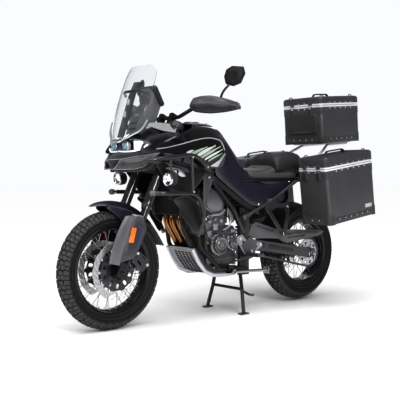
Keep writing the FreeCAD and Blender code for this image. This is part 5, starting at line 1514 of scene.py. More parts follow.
    def wing_y(self, x: float, z: float) -> float:
        """How far out the gloss wing is at a place."""
        stations = sorted(self.wing)
        before = max((row for row in stations if row[0] <= x), default=stations[0])
        after = min((row for row in stations if row[0] >= x), default=stations[-1])
        values = []
        for row in (before, after):
            spots = sorted(row[1:], key=lambda spot: spot[1])
            for low, high in zip(spots, spots[1:]):
                if low[1] <= z <= high[1]:
                    values.append(low[0] + (high[0] - low[0]) * (z - low[1]) / (high[1] - low[1]))
                    break
            else:
                values.append(spots[-1][0])
        share = 0 if after[0] == before[0] else (x - before[0]) / (after[0] - before[0])
        return values[0] + (values[1] - values[0]) * share + 0.6

    def nose(self) -> None:
        """Faceted nose, lamp with projector and lit panel, and the pale plate under it."""
        parts = []
        for _, turn in SIDES:
            rows = [[(824, 0, 868), (834, 0, 900), (850, 0, 930), (826, 0, 972)],
                    [(796, 46, 866), (806, 50, 900), (822, 52, 928), (800, 56, 974)],
                    [(742, 92, 866), (752, 98, 900), (770, 106, 928), (756, 116, 974)],
                    [(690, 128, 872), (700, 136, 904), (712, 148, 936), (712, 160, 974)],
                    [(640, 142, 888), (644, 152, 914), (648, 166, 948), (660, 172, 974)]]
            parts.append(self.panel("nose", rows, turn, BLACK, (1, 2, 3), (1, 2), levels=1))
            lip = [[(802, 74, 938), (768, 113, 946), (724, 152, 954), (680, 178, 962), (634, 192, 970)],
                   [(824, 62, 912), (792, 110, 918), (750, 148, 922), (712, 172, 930), (664, 188, 948)],
                   [(834, 50, 886), (802, 92, 883), (760, 125, 885), (716, 148, 896), (690, 168, 918)]]
            parts.append(self.panel("lip", lip, turn, LIP, (0, 1, 2), (0, 4), 4, 1))
            for line in (
                    ((842, 0, 880), (836, 48, 883), (806, 73, 938), (770, 113, 948), (726, 153, 956),
                     (634, 194, 971)), ((852, 0, 932), (826, 48, 936), (806, 73, 938)),
                    ((690, 170, 918), (716, 150, 894), (760, 127, 883), (802, 94, 881), (836, 48, 883))):
                spots = [Vector((x + 2, turn * y, z)) for x, y, z in line]
                self.add(parts, PALE, sweep("outline", path(spots, 12, 3), 1.5, 6))
        self.join("nose_shell", parts, "frame", BLACK, "nose_fairing")
        self.lamp()

    def swept(self, y: float) -> float:
        """How far the lamp's face falls back at a distance from its middle."""
        return self.lamp_sweep * abs(y) ** 1.9

    def lamp(self) -> None:
        """Wide lamp: violet frame, blue lens with a bright projector, lit panel and running-light strip."""
        rim = [(-184, 1022), (-150, 1046), (-60, 1050), (0, 1046), (60, 1050), (150, 1046), (184, 1022),
               (150, 985), (70, 972), (0, 975), (-70, 972), (-150, 985)]

        def ring(depth: float, size: float, drop: float = 0) -> list[Point]:
            """One ring of the lamp's outline, swept back at its sides."""
            spots = []
            for y, z in rim:
                spots.append((778 - depth - self.swept(y), y * size, 1012 + (z - 1012) * size + drop))
            return spots

        shell = self.paint(smoothed(
            skin("lamp_shell", [ring(70, 0.94), ring(30, 1), ring(4, 1), ring(0, 0.95), ring(12, 0.90),
                                ring(16, 0.2)], rows=(2, 3)), 1), VIOLET)
        parts = [shell]
        for _, turn in SIDES:
            centre = Vector((764, turn * 56, 1010))
            self.add(parts, CYAN, lathe(
                "projector", [(-14, 0), (-14, 20), (0, 22), (3, 20), (3, 18), (7, 14), (10, 7), (11, 0)],
                centre, (1, 0, 0), 40, ring=False))
            self.add(parts, STEEL, lathe(
                "bezel", [(-10, 21), (3, 21), (6, 24), (4, 30), (-10, 31)], centre, (1, 0, 0), 40))
            cell = []
            for depth in (0, 10):
                cell.append([(757 - depth - self.swept(y) * 0.8, turn * y, z)
                             for y, z in ((94, 1040), (150, 1038), (170, 1022), (150, 994), (96, 986))])
            self.add(parts, LIT, rounded(skin("lit_panel", cell), 4))
            strip = path([(776 - self.swept(y), turn * y, z)
                          for y, z in ((6, 981), (60, 978), (110, 981), (150, 990), (182, 1016))], 12, 4)
            self.add(parts, LIT, sweep("running_strip", strip, 4.4, 10))
        cell = [[(762 - depth, y, z) for y, z in ((-24, 1036), (24, 1036), (20, 992), (-20, 992))]
                for depth in (0, 8)]
        self.add(parts, BLUE_LENS, rounded(skin("blue_cell", cell), 4))
        self.join("headlight_unit", parts, "frame", VIOLET, "headlight")
        lens = smoothed(skin("headlight_lens", [ring(8, 0.955), ring(-2, 0.95), ring(-6, 0.80),
                                                ring(-8, 0.3)], rows=(0,)), 1)
        self.fit(lens, "frame", CLEAR)
        turnlights = []
        for _, turn in SIDES:
            stem = sweep("stem", [(690, turn * 160, 930), (684, turn * 196, 922)], 8, 12, flat=0.6)
            self.add(turnlights, RUBBER, stem)
            rings = [[(684 + d, turn * y, z) for y, z in (
                (194, 932 + s), (246, 926 + s), (250, 918), (246, 912 - s), (194, 910 - s))]
                     for d, s in ((-22, -3), (-10, 1), (12, 2))]
            self.add(turnlights, BLACK, rounded(skin("body", rings), 3))
            lens_rings = [[(684 + d, turn * y, z) for y, z in (
                (198, 930 - s), (242, 925 - s), (244, 916 + s), (198, 914 + s))]
                          for d, s in ((12, 0), (17, 2))]
            self.add(turnlights, SMOKY, rounded(skin("lens", lens_rings), 1.5))
        self.join("front_turn_signals", turnlights, "frame", BLACK)

    def screen(self) -> None:
        """Clear screen with a pale V-shaped foot band, its lifting bracket and the side vanes."""
        rows = []
        for x, wide, z, edge in ((792, 44, 1040, 0.4), (774, 112, 1076, 0.62), (757, 132, 1140, 0.72),
                                 (735, 146, 1215, 0.8), (708, 150, 1290, 0.85), (680, 150, 1363, 0.88),
                                 (656, 142, 1422, 0.9), (640, 116, 1459, 0.94)):
            row = []
            for share in (-1, -0.8, -0.4, 0, 0.4, 0.8, 1):
                row.append((x - 0.42 * wide * (1 - edge * 0.35) * abs(share) ** 2.1, wide * share,
                            z + 8 * (1 - abs(share))))
            rows.append(row)
        screen = smoothed(sheet("windscreen_sheet", rows), 2)
        if screen.data.polygons[0].normal.x < 0:
            screen.data.flip_normals()
        self.fit(thickened(screen, 3.2), "frame", CLEAR, "windscreen")
        band = path([(700, -166, 1150), (726, -150, 1096), (776, -64, 1050), (800, -38, 1032),
                     (800, 38, 1032), (776, 64, 1050), (726, 150, 1096), (700, 166, 1150)], 24)
        parts = [self.paint(sweep("foot_band", band, 9, 10, flat=0.36, up=(0.8, 0, 0.6)), SILVER)]
        face = ((776, -26, 1060), (776, 26, 1060), (700, 24, 1290), (664, 20, 1372), (664, -20, 1372),
                (700, -24, 1290))
        slab = [[(x - back, y, z - drop) for x, y, z in face] for back, drop in ((0, 0), (12, 3))]
        self.add(parts, BLACK, rounded(moved(skin("bracket", slab), shift(-10, 0, 0)), 3))
        for z, x in ((1170, 735), (1240, 712)):
            self.add(parts, SILVER, block("slot", (x - 8, -11, z), (x - 2, 11, z + 34), 3))
        self.add(parts, FRAME, sweep("cross_bar", path(
            [(640, -120, 1300), (690, -60, 1316), (690, 60, 1316), (640, 120, 1300)], 30), 8, 12))
        self.join("windscreen_bracket", parts, "frame", BLACK)
        vanes = []
        for _, turn in SIDES:
            rows = [[(742, 136, 1066), (716, 149, 1093), (690, 162, 1120)],
                    [(720, 138, 1150), (692, 154, 1182), (664, 171, 1214)],
                    [(674, 136, 1262), (656, 149, 1290), (638, 162, 1318)],
                    [(646, 138, 1340), (638, 145, 1352), (630, 152, 1364)]]
            vanes.append(self.panel("vane", rows, turn, CLEAR, wall=1.4))
        self.join("windscreen_vanes", vanes, "frame", CLEAR)

    def dash(self) -> None:
        """Upright display in its shroud, mast bars, cowl and pale side plates."""
        way = Matrix.Rotation(math.radians(29), 4, (0, 1, 0))
        case = [[Vector((d, y * s, z * s)) for y, z in (
            (-76, 54), (-66, 62), (66, 62), (76, 54), (76, -54), (66, -62), (-66, -62), (-76, -54))]
                for d, s in ((14, 0.84), (8, 1), (-7, 1), (-10, 0.96))]
        spot = shift(548, 6, 1296) @ way
        parts = [self.paint(moved(rounded(skin("display_case", case), 3), spot), BLACK)]
        glass = [[Vector((d, y, z)) for y, z in ((-68, 48), (68, 48), (68, -52), (-68, -52))]
                 for d in (-8, -11.2)]
        self.add(parts, DISPLAY, moved(rounded(skin("display_glass", glass), 1.5), spot))
        for _, turn in SIDES:
            self.add(parts, FRAME, sweep("mast", path(
                [(700, turn * 44, 960), (640, turn * 44, 1080), (590, turn * 40, 1180),
                 (556, turn * 40, 1270)], 60), 9, 12))
        column = []
        for z, front, rear, wide in ((1078, 696, 604, 60), (1150, 668, 562, 62), (1236, 618, 528, 62),
                                     (1252, 598, 530, 60), (1300, 594, 542, 58), (1340, 588, 556, 50)):
            column.append([(rear, -wide, z), (front - 12, -wide, z), (front, -wide * 0.62, z),
                           (front, wide * 0.62, z), (front - 12, wide, z), (rear, wide, z)])
        self.add(parts, GREY, rounded(skin("column", column), 2))
        blank = [[(x + out, y, z) for x, y, z in (
            (651, -22, 1180), (651, 22, 1180), (642, 22, 1196), (642, -22, 1196))] for out in (0, 2.5)]
        self.add(parts, PALE, rounded(skin("blank_label", blank), 0.6))
        for z, x in ((1106, 690), (1138, 676)):
            self.add(parts, BLACK, block("column_rib", (x - 14, -36, z), (x + 2, 36, z + 7), 2))
        cowl = [[(706, y, 1046 - 0.0014 * y * y), (664, y, 1086 - 0.0014 * y * y),
                 (618, y, 1104 - 0.0014 * y * y), (576, y, 1108 - 0.0012 * y * y)]
                for y in (-132, -90, -40, 0, 40, 90, 132)]
        parts.append(self.panel("cowl", cowl, 1, BLACK))
        self.join("dash_and_display", parts, "frame", BLACK, "instrument_panel")
        for side, turn in SIDES:
            rows = [[(672, 116, 1112), (640, 104, 1140), (560, 90, 1148), (446, 80, 1138)],
                    [(676, 126, 1104), (646, 130, 1118), (590, 138, 1100), (486, 146, 1090)]]
            self.fit(self.panel(f"{side}_dash_plate", rows, turn, PALE, (0, 1), (0, 1, 3), wall=4,
                                levels=1), "frame", PALE, painted=True)
            cheek = [[(712, 152, 1042), (640, 152, 1074), (560, 142, 1086), (430, 120, 1100)],
                     [(742, 170, 1000), (640, 158, 1010), (560, 154, 1046), (470, 154, 1080)],
                     [(760, 168, 968), (690, 172, 974), (600, 170, 966), (520, 176, 950)]]
            self.fit(self.panel(f"{side}_dash_cheek", cheek, turn, BLACK, levels=1), "frame", BLACK,
                     painted=True)

    def shrouds(self) -> None:
        """Radiator shrouds with an air slot and a lower scoop, and the tidy under the wings."""
        for side, turn in SIDES:
            rows = [[(676, 160, 962), (600, 174, 952), (520, 186, 930), (440, 190, 908), (350, 192, 896),
                     (272, 190, 878)], [(640, 168, 905), (590, 182, 900),
                                        (520, 194, 884), (440, 198, 866), (370, 196, 858), (300, 190, 850)],
                    [(590, 160, 840), (560, 180, 828), (510, 190, 812), (450, 192, 800), (400, 188, 796),
                     (340, 180, 800)], [(540, 140, 770), (520, 164, 752), (490, 174, 738), (450, 176, 730),
                                        (420, 170, 734), (380, 164, 750)]]
            shell = self.panel("shroud", rows, turn, BLACK, (1,), (1,))
            scoop = [[(600, 176, 930), (520, 190, 906), (420, 196, 884)],
                     [(586, 184, 914), (516, 198, 890), (426, 201, 870)],
                     [(570, 178, 898), (512, 190, 874), (440, 196, 858)]]
            rim = self.panel("scoop", scoop, turn, TRIM, (1,), wall=5, levels=1)
            self.join(f"{side}_radiator_shroud", [shell, rim], "frame", BLACK,
                      *left_only(turn, "side_shrouds"))
            gusset = [[(300, 168, 880), (262, 170, 884), (232, 172, 850)],
                      [(304, 174, 846), (264, 177, 838), (226, 176, 818)],
                      [(300, 170, 700), (276, 172, 720), (250, 172, 780)],
                      [(302, 168, 606), (290, 170, 612), (280, 170, 640)]]
            self.fit(self.panel(f"{side}_frame_gusset", gusset, turn, ALLOY, wall=4, levels=1), "frame",
                     ALLOY, painted=True)
            duct = [[(532, 168, 724), (440, 180, 734), (392, 186, 728), (350, 186, 682), (316, 182, 600)],
                    [(520, 172, 704), (448, 190, 706), (404, 196, 690), (366, 196, 640), (330, 190, 576)],
                    [(470, 160, 660), (430, 182, 610), (400, 190, 580), (372, 190, 544), (344, 184, 520)],
                    [(462, 148, 640), (426, 160, 588), (398, 166, 552), (374, 168, 520), (352, 166, 500)]]
            housing = outlines(((446, 640), (446, 700), (520, 712), (530, 736), (380, 742), (340, 660),
                                (372, 560), (420, 600)), turn * 128, turn * 150)
            self.join(f"{side}_radiator_duct", [
                self.panel("duct", duct, turn, BLACK, (0, 1, 2), (1, 3), levels=1),
                self.paint(rounded(skin("housing", housing), 4), CORE)], "frame", BLACK)
            blade = [[(606, 200, 892), (552, 205, 894), (500, 208, 884), (462, 208, 852)],
                     [(598, 206, 886), (550, 212, 884), (506, 214, 868), (470, 214, 842)],
                     [(584, 202, 882), (552, 206, 872), (520, 208, 856), (500, 208, 838)]]
            self.fit(self.panel(f"{side}_scoop_blade", blade, turn, SILVER, (0, 1), (), 3, 1), "frame",
                     SILVER, painted=True)
            rail = [Vector((x, turn * y, z)) for x, y, z in (
                (-20, 176, 591), (-120, 182, 634), (-251, 184, 686), (-487, 178, 811))]
            parts = [self.paint(sweep("rail", rail, 9, 14), FRAME)]
            for x, z in ((-251, 686), (-20, 592)):
                self.add(parts, ALLOY, drum("lug", 15, -8, 12, (x, turn * 178, z), (0, turn, 0), 2, 24))
            self.join(f"{side}_side_rail", parts, "frame", FRAME)
            self.screws(f"{side}_panel_screws", "frame", [
                ((250, turn * 192, 872), (0, turn, 0)), ((262, turn * 178, 838), (0, turn, 0)),
                ((-150, turn * 174, 668), (0, turn, 0)), ((-430, turn * 168, 806), (0, turn, 0)),
                ((560, turn * 184, 906), (0.2, turn, 0))], 6.5, tall=4)

    def build(self) -> None:
        """Make every panel."""
        self.tank()
        self.nose()
        self.screen()
        self.dash()
        self.shrouds()


@dataclass
class FuelCap(Assembly):
    """Hinged filler cap with its lock flap and ring of screws."""

    def build(self) -> None:
        """Make the cap."""
        low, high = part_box("fuel_cap")
        x, z = FILLER_X, low.z / MM
        parts = [self.paint(lathe(
            "cap_disc", [(0.2, 0), (0.2, 41), (1.5, 42), (5.5, 41), (7, 38), (7, 30), (5.6, 28), (5.6, 0)],
            (x, 0, z), (0, 0, 1), 48, ring=False), STEEL),
                 self.paint(block("lock_flap", (x - 14, -10, z + 5), (x + 22, 10, z + 8.4), 1.6), CHROME),
                 self.paint(sweep("knuckle", [(low.x / MM + 4.5, -16, high.z / MM - 4.6),
                                              (low.x / MM + 4.5, 16, high.z / MM - 4.6)], 4, 12), STEEL)]
        screws = self.copies.along("cap_screws", self.bolt(2.6, 1.6), [(
            (*on_ring(34, 30 + 60 * step, (x, 0)), z + 6.8),
            looking((0, 0, 1))) for step in range(6)], self.paints.of(CHROME))
        self.join("fuel_cap_disc", [*parts, screws], "fuel_cap", STEEL, "fuel_cap")


# ------------------------------------------------------------------ chassis
@dataclass
class Chassis(Assembly):
    """Frame, engine, exhaust, guards, drive and stands."""

    chain_y: float = 98.0
    chain_pitch: float = 15.875
    drive: tuple = (34.0, 438.0, 37.5)
    driven: tuple = (*REAR_AXLE, 92.5)

    def engine(self) -> None:
        """Vertical twin: finned crankcase, round covers, cylinder block, head and cam cover."""
        parts = self.castings()
        for dress in (self.round_covers, self.head_dress):
            for _, turn in SIDES:
                parts += dress(turn)
        parts += [*self.sprocket_cover(), *self.airbox()]
        self.join("engine_castings", parts, "frame", ENGINE, "engine")
        self.screws("engine_screws", "frame", [
            ((x, turn * 124.5, z), (0, turn, 0)) for _, turn in SIDES
            for x, z in ((224, 520), (16, 520), (222, 324), (8, 346), (120, 530), (108, 318), (280, 620),
                         (100, 620), (190, 742), (270, 742), (116, 742))], 6, ALLOY, 4.5)

    def castings(self) -> list[bpy.types.Object]:
        """Crankcase with its ribs, finned barrels and cam cover."""
        parts = []
        case = outlines(((-14, 372), (-8, 322), (60, 300), (190, 296), (238, 330), (244, 470), (220, 548),
                         (90, 552), (10, 540), (-12, 480)), -122, -116, 116, 122)
        for end in (0, -1):
            case[end] = [(x * 0.96 + 5, y, z * 0.94 + 26) for x, y, z in case[end]]
        self.add(parts, ENGINE, rounded(skin("crankcase", case), 5, 3))
        for z in (346, 384, 500):
            self.add(parts, ENGINE, block("case_rib", (-6, -124, z - 3), (238, 124, z + 3), 2))
        barrel = [[(x + lean, y, z) for x, y in (
            (84, -112), (84, 112), (98, 120), (284, 120), (298, 112), (298, -112), (284, -120), (98, -120))]
                  for z, lean in ((500, -14), (640, 0), (700, 0))]
        self.add(parts, ENGINE, rounded(skin("barrel", barrel), 4))
        for step in range(5):
            z = 566 + step * 15
            self.add(parts, ENGINE, block("fin", (74, -124, z), (296, 124, z + 4.5), 1.5))
        self.add(parts, TRIM, block("cam_cover", (96, -116, 700), (290, 116, 772), 14, 4))
        for y in (-60, 60):
            self.add(parts, ENGINE, block("plug_well", (150, y - 22, 764), (240, y + 22, 775), 8, 3))
        return parts

    def round_covers(self, turn: int) -> list[bpy.types.Object]:
        """Round covers on one side, with dark rings of painted shade for their grooves, their screws, and the
        casting bosses.
        """
        parts = []
        for x, z, radius, deep in (((164, 437, 66, 63), (34, 438, 46, 30)) if turn > 0
                                   else ((130, 440, 86, 50), (206, 404, 36, 34))):
            profile = [(-12, 0), (-12, radius), (deep * 0.55, radius), (deep * 0.62, radius - 3),
                       (deep * 0.66, radius - 12), (deep * 0.90, radius - 15), (deep * 0.98, radius - 21),
                       (deep * 0.92, radius * 0.48), (deep * 0.96, radius * 0.42), (deep * 0.96, 0)]
            self.add(parts, ENGINE_COVER, lathe(
                "cover", profile, (x, turn * 122, z), (0, turn, 0), 56, ring=False))
            # Painted shade: each groove is a thin raised ring in the dark chain finish, standing for the
            # shade inside a groove.
            for reach in (0.70, 0.30):
                self.add(parts, CHAIN, lathe("cover_groove", [
                    (deep * 0.93, radius * reach - 2.4),
                    (deep * 0.99, radius * reach - 1.2), (deep * 0.99, radius * reach + 1.2),
                    (deep * 0.93, radius * reach + 2.4)], (x, turn * 122, z), (0, turn, 0), 40))
            parts.append(self.bolt_ring(
                "cover_screws", (x, turn * (122 + deep * 0.58), z), radius - 6, 7, turn, 4.6, 4, 20, 51.4))
        for x, z in ((256, 520), (264, 700), (92, 700), (80, 520)):
            self.add(parts, ALLOY, lathe("boss", [(-4, 0), (-4, 13), (6, 13), (8, 10), (8, 0)],
                                         (x, turn * 118, z), (0, turn, 0), 20, ring=False))
        return parts

    def head_dress(self, turn: int) -> list[bpy.types.Object]:
        """One side's head cover, sensors, hoses, brackets and plugs."""
        parts = []
        head = ((112, 640), (98, 700), (112, 752), (150, 772), (214, 772), (256, 748), (268, 700),
                (250, 650), (206, 622), (150, 620))
        for low, high, size in ((112, 134, 1.0), (134, 142, 0.84)):
            rings = outlines(head, turn * low, turn * high, middle=(184, 700), size=size)
            self.add(parts, ENGINE_COVER, rounded(skin("head_cover", rings), 4, 3))
        self.add(parts, ALLOY, drum("sensor", 15, 0, 26, (230, turn * 128, 604), (0, turn, 0), 4, 24))
        self.add(parts, TRIM, drum(
            "coil_cap", 11, 0, 40, (27, turn * 112, 560), (0.06, turn * 0.12, 1), 3, 20))
        self.add(parts, ALLOY, drum(
            "canister", 17, 0, 84, (27, turn * 120, 566), (0.16, turn * 0.06, 1), 6, 28))
        for route, radius, finish in (
                (((268, 140, 596), (214, 150, 614), (148, 150, 614), (96, 130, 640)), 7.5, CAST),
                (((256, 128, 560), (262, 150, 520), (250, 150, 470)), 6, RUBBER),
                (((70, 128, 650), (52, 140, 600), (66, 146, 540), (120, 140, 520)), 5, STEEL),
                (((20, 118, 520), (-40, 128, 500), (-66, 120, 560), (-40, 100, 640)), 6.5, RUBBER)):
            self.add(parts, finish, sweep("side_hose", path(sided(route, turn), 40), radius, 10))
        for low, high in (((44, 120, 584), (58, 134, 668)), ((64, 122, 600), (72, 130, 676)),
                          ((-8, 118, 500), (40, 128, 522)), ((196, 121, 480), (248, 129, 520)),
                          ((150, 121, 520), (186, 131, 560))):
            self.add(parts, CAST, side_block("bracket", turn, low, high, 4, 3))
        for x, z, radius in ((214, 574, 12), (168, 586, 9), (120, 574, 12), (60, 470, 13), (222, 446, 11),
                             (-2, 444, 10)):
            self.add(parts, CAST, lathe(
                "plug", [(-4, 0), (-4, radius), (6, radius), (8, radius - 3), (8, 4), (5, 3), (5, 0)],
                (x, turn * 124, z), (0, turn, 0), 24, ring=False))
        return parts

    def sprocket_cover(self) -> list[bpy.types.Object]:
        """Cover over the front sprocket, with its screws."""
        parts = []
        guard = ((-62, 352), (-66, 440), (-44, 492), (0, 500), (22, 470), (22, 392), (-6, 340), (-40, 330))
        for low, high, size in ((88, 126, 1.0), (126, 134, 0.9)):
            rings = outlines(guard, low, high, middle=(-20, 415), size=size)
            self.add(parts, ENGINE_COVER, rounded(skin("sprocket_cover", rings), 4, 3))
        for x, z in ((-50, 360), (-52, 440), (-4, 480), (8, 380)):
            self.add(parts, CHROME, lathe("cover_boss", [(-2, 0), (-2, 7), (5, 7), (7, 4), (7, 0)],
                                          (x, 131, z), (0, 1, 0), 16, ring=False))
        return parts

    def airbox(self) -> list[bpy.types.Object]:
        """Airbox, coolant hoses, starter and water pump."""
        parts = []
        self.add(parts, BLACK, block("airbox", (-118, -96, 590), (82, 96, 744), 16, 4))
        for z in (622, 666, 708):
            self.add(parts, TRIM, block("airbox_rib", (-112, -99, z - 5), (76, 99, z + 5), 3))
        hoses = (((240, 96, 690), (330, 100, 700), (396, 96, 760), (412, 90, 800)),
                 ((244, 60, 420), (330, 90, 430), (400, 100, 560), (414, 96, 640)))
        for route in hoses:
            self.add(parts, RUBBER, sweep("hose", path(route, 60), 13, 16))
        self.add(parts, ALLOY, block("starter", (60, 70, 556), (150, 118, 596), 10, 3),
                 drum("water_pump", 26, 0, 22, (226, 122, 352), (0, 1, 0), 4))
        return parts

    def radiator(self) -> None:
        """Radiator with its core, fins, side tanks, rails and fan housing."""
        low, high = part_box("radiator")
        fin = block("fin", (-9, -118, -0.6), (9, 118, 0.6), 0.3, 1)
        count = 46
        start, end = low.z / MM + 12, high.z / MM - 12
        fins = self.copies.along(
            "fins", fin, [((424, 0, start + (end - start) * step / (count - 1)), Matrix.Identity(4))
                          for step in range(count)], self.paints.of(CORE))
        parts = [fins, self.paint(block("core", (421, -118, start - 4), (427, 118, end + 4), 1), CORE),
                 self.paint(block("fan_housing", (380, -116, start + 40), (404, 116, end - 8), 8, 3),
                            BLACK)]
        for turn in (-1, 1):
            self.add(parts, BLACK, side_block(
                "tank", turn, (410, 116, start - 10), (440, 144, end + 10), 6, 3))
        for z in (start - 6, end + 2):
            self.add(parts, BLACK, block("rail", (412, -120, z), (438, 120, z + 5), 1.5))
        self.join("radiator_fins", parts, "frame", CORE, "radiator")

    def exhaust(self) -> None:
        """Silencer can with its end cap, bands and heat shield; the header pipes keep their frame node in a
        heat-tinted finish.
        """
        start, end = Vector((-372, -176, 490)), Vector((-820, -178, 550))
        way = (end - start).normalized()
        long = (end - start).length
        profile = [(0, 24), (0, 30), (40, 47), (long - 42, 49.5), (long - 40, 48), (long - 14, 45),
                   (long - 2, 34), (long, 22), (long - 30, 20), (long - 30, 0)]
        can = self.paint(lathe("can", profile, start, way, 56, ring=False), CAN)
        parts = [can]
        for along in (44, long * 0.52, long - 62):
            self.add(parts, TRIM, lathe(
                "band", [(along, 47), (along, 50.5), (along + 12, 50.5), (along + 12, 47)], start, way, 56))
        tip = self.paint(lathe("tip", [(long - 16, 44), (long - 12, 47), (long - 1, 36), (long - 1, 24),
                                       (long - 24, 23), (long - 24, 40)], start, way, 56), BLACK)
        shield = []
        side, up = Vector((0, -1, 0)), way.cross(Vector((0, -1, 0)))
        up = up if up.z > 0 else -up
        for along in (30, 60, long * 0.45, long * 0.62):
            row = []
            for turn in (-38, -14, 14, 38, 62):
                angle = math.radians(turn)
                row.append(start + way * along + (side * math.cos(angle) + up * math.sin(angle)) * 50.5)
            shield.append(row)
        plate_piece = self.paint(thickened(smoothed(sheet("shield", shield), 2), 2.4, 0), BLACK)
        parts += [tip, plate_piece]
        self.join("silencer_can", parts, "frame", CAN, "silencer")
        self.keep("exhaust_pipes", HEADER)

    def belly(self) -> None:
        """Ribbed bash plate with near-black blocks of painted shade for its slots, a folded bright edge and
        dark side cheeks.
        """
        line = [(336, 421), (322, 396), (290, 340), (240, 282), (176, 255), (80, 252), (-2, 254)]
        rows = []
        for x, z in line:
            row = []
            for y in (-118, -104, -84, -78, -52, -46, -20, -14, 14, 20, 46, 52, 78, 84, 104, 118):
                groove = 5 if abs(abs(y) - 65) < 14 or abs(abs(y) - 33) < 14 or abs(y) < 15 else 0
                row.append((x - groove * 0.6, y, z + groove * 0.5))
            rows.append(row)
        parts = [self.paint(thickened(smoothed(sheet("ribs", rows), 1), 4), PALE)]
        # Painted shade: the slots are not cut through; small near-black blocks sit in the plate where a
        # slot's shade would show.
        slot = block("vent", (-1.6, -2.6, -5.2), (1.6, 2.6, 5.2), 1.2, 2)
        spots = []
        for y in (-72, -65, -58, -39.5, -33, -26.5, -7, 0, 7, 26.5, 33, 39.5, 58, 65, 72):
            for (x0, z0), (x1, z1) in pairwise(line[1:5]):
                lean = math.degrees(math.atan2(x0 - x1, z0 - z1))
                count = int(math.dist((x0, z0), (x1, z1)) / 14)
                for step in range(count):
                    share = (step + 0.5) / count
                    spots.append(((x0 + (x1 - x0) * share - 2.2, y, z0 + (z1 - z0) * share + 2.2),
                                  turned((0, 1, 0), lean)))
        parts.append(self.copies.along("vents", slot, spots, self.paints.of(CORE)))
        for _, turn in SIDES:
            cheek = outlines([*line, (-4, 300), (60, 306), (150, 318), (206, 352), (246, 404), (270, 424)],
                             turn * 117, turn * 122)
            self.add(parts, TRIM, rounded(skin("cheek", cheek), 1.2))
            edge = [Vector((x, turn * 119, z)) for x, z in line]
            self.add(parts, SILVER, sweep("fold", edge, 14, 10, flat=0.42, up=(0.0, turn, 0.0)))
        self.join("bash_plate_ribs", parts, "frame", CAN, "bash_plate")
        self.screws("bash_screws", "frame", [((x, turn * 122, z), (0, turn, 0)) for _, turn in SIDES
                                             for x, z in ((258, 400), (20, 280), (170, 300))], 7)

    def bars(self) -> None:
        """Crash bars with clamps and sliders, and the fog lamps on them."""
        for side, turn in SIDES:
            upper = [(236, 176, 866), (262, 196, 872), (310, 222, 885), (400, 242, 951), (468, 244, 962),
                     (614, 242, 944), (706, 216, 930), (738, 172, 918)]
            lower = [(676, 204, 752), (638, 234, 751), (560, 244, 749), (436, 244, 747), (386, 240, 716),
                     (340, 228, 610), (332, 160, 500)]
            parts = [self.paint(sweep("rail", path(sided(route, turn), 44), 12.5, 20), BARS)
                     for route in (upper, lower)]
            self.add(parts, BARS, sweep("post", [(440, turn * 244, 748), (448, turn * 244, 960)], 8.5, 14))
            self.add(parts, FRAME, sweep(
                "lamp_stay", [(600, turn * 242, 944), (592, turn * 238, 872)], 7, 10))
            self.add(parts, ALLOY, lathe(
                "slider", [(-4, 0), (-4, 13), (0, 16.5), (26, 16.5), (32, 12), (32, 0)],
                (676, turn * 204, 752), (0.74, -turn * 0.62, 0.02), 24, ring=False))
            for x, z in ((326, 897), (339, 600)):
                self.add(parts, TRIM, drum("clamp", 16.5, -15, 15, (x, turn * (226 if z > 700 else 222), z),
                                           (0.6, 0, 0.8) if z > 700 else (0.12, 0, 1), 2, 24))
            self.join(f"{side}_crash_bar", parts, "frame", FRAME, *left_only(turn, "crash_bars"))
            self.screws(
                f"{side}_crash_bar_bolts", "frame", [((x, turn * y, z), (0, turn, 0)) for x, y, z in (
                    (326, 242, 897), (339, 238, 600), (440, 253, 758), (448, 253, 952))], 5, tall=3)
            spot = (562, turn * 238, 829)
            parts = [self.paint(
                lathe("lamp_body", [(4, 0), (4, 20), (16, 33), (40, 38), (46, 38.6), (50, 37),
                                    (50, 33), (40, 30), (38, 0)], spot, (1, 0, 0), 48, ring=False), BLACK),
                     self.paint(lathe("lamp_ring", [(48, 27), (56, 30), (60, 33), (59, 38),
                                                    (52, 39.5), (47, 38)], spot, (1, 0, 0), 48), CHROME),
                     self.paint(lathe("lamp_bowl", [(48.5, 30), (52, 27), (47, 14), (46, 0), (44, 0)],
                                      spot, (1, 0, 0), 40, ring=False), MIRROR),
                     self.paint(lathe("lamp_bulb", [(46, 13), (53, 11), (56, 5), (57, 0), (46, 0)], spot,
                                      (1, 0, 0), 24, ring=False), LIT)]
            for step in range(5):
                self.add(parts, BLACK, lathe(
                    "cooling_fin", [(10 + 6 * step, 26), (10 + 6 * step, 35 + step),
                                    (13 + 6 * step, 35 + step), (13 + 6 * step, 26)], spot, (1, 0, 0), 32))
            self.add(parts, FRAME, sweep("lamp_bracket", path(
                [(588, turn * 236, 872), (566, turn * 238, 884), (540, turn * 234, 876),
                 (540, turn * 226, 850)], 14), 6, 10, flat=0.5))
            self.join(f"{side}_fog_lamp", parts, "frame", BLACK)

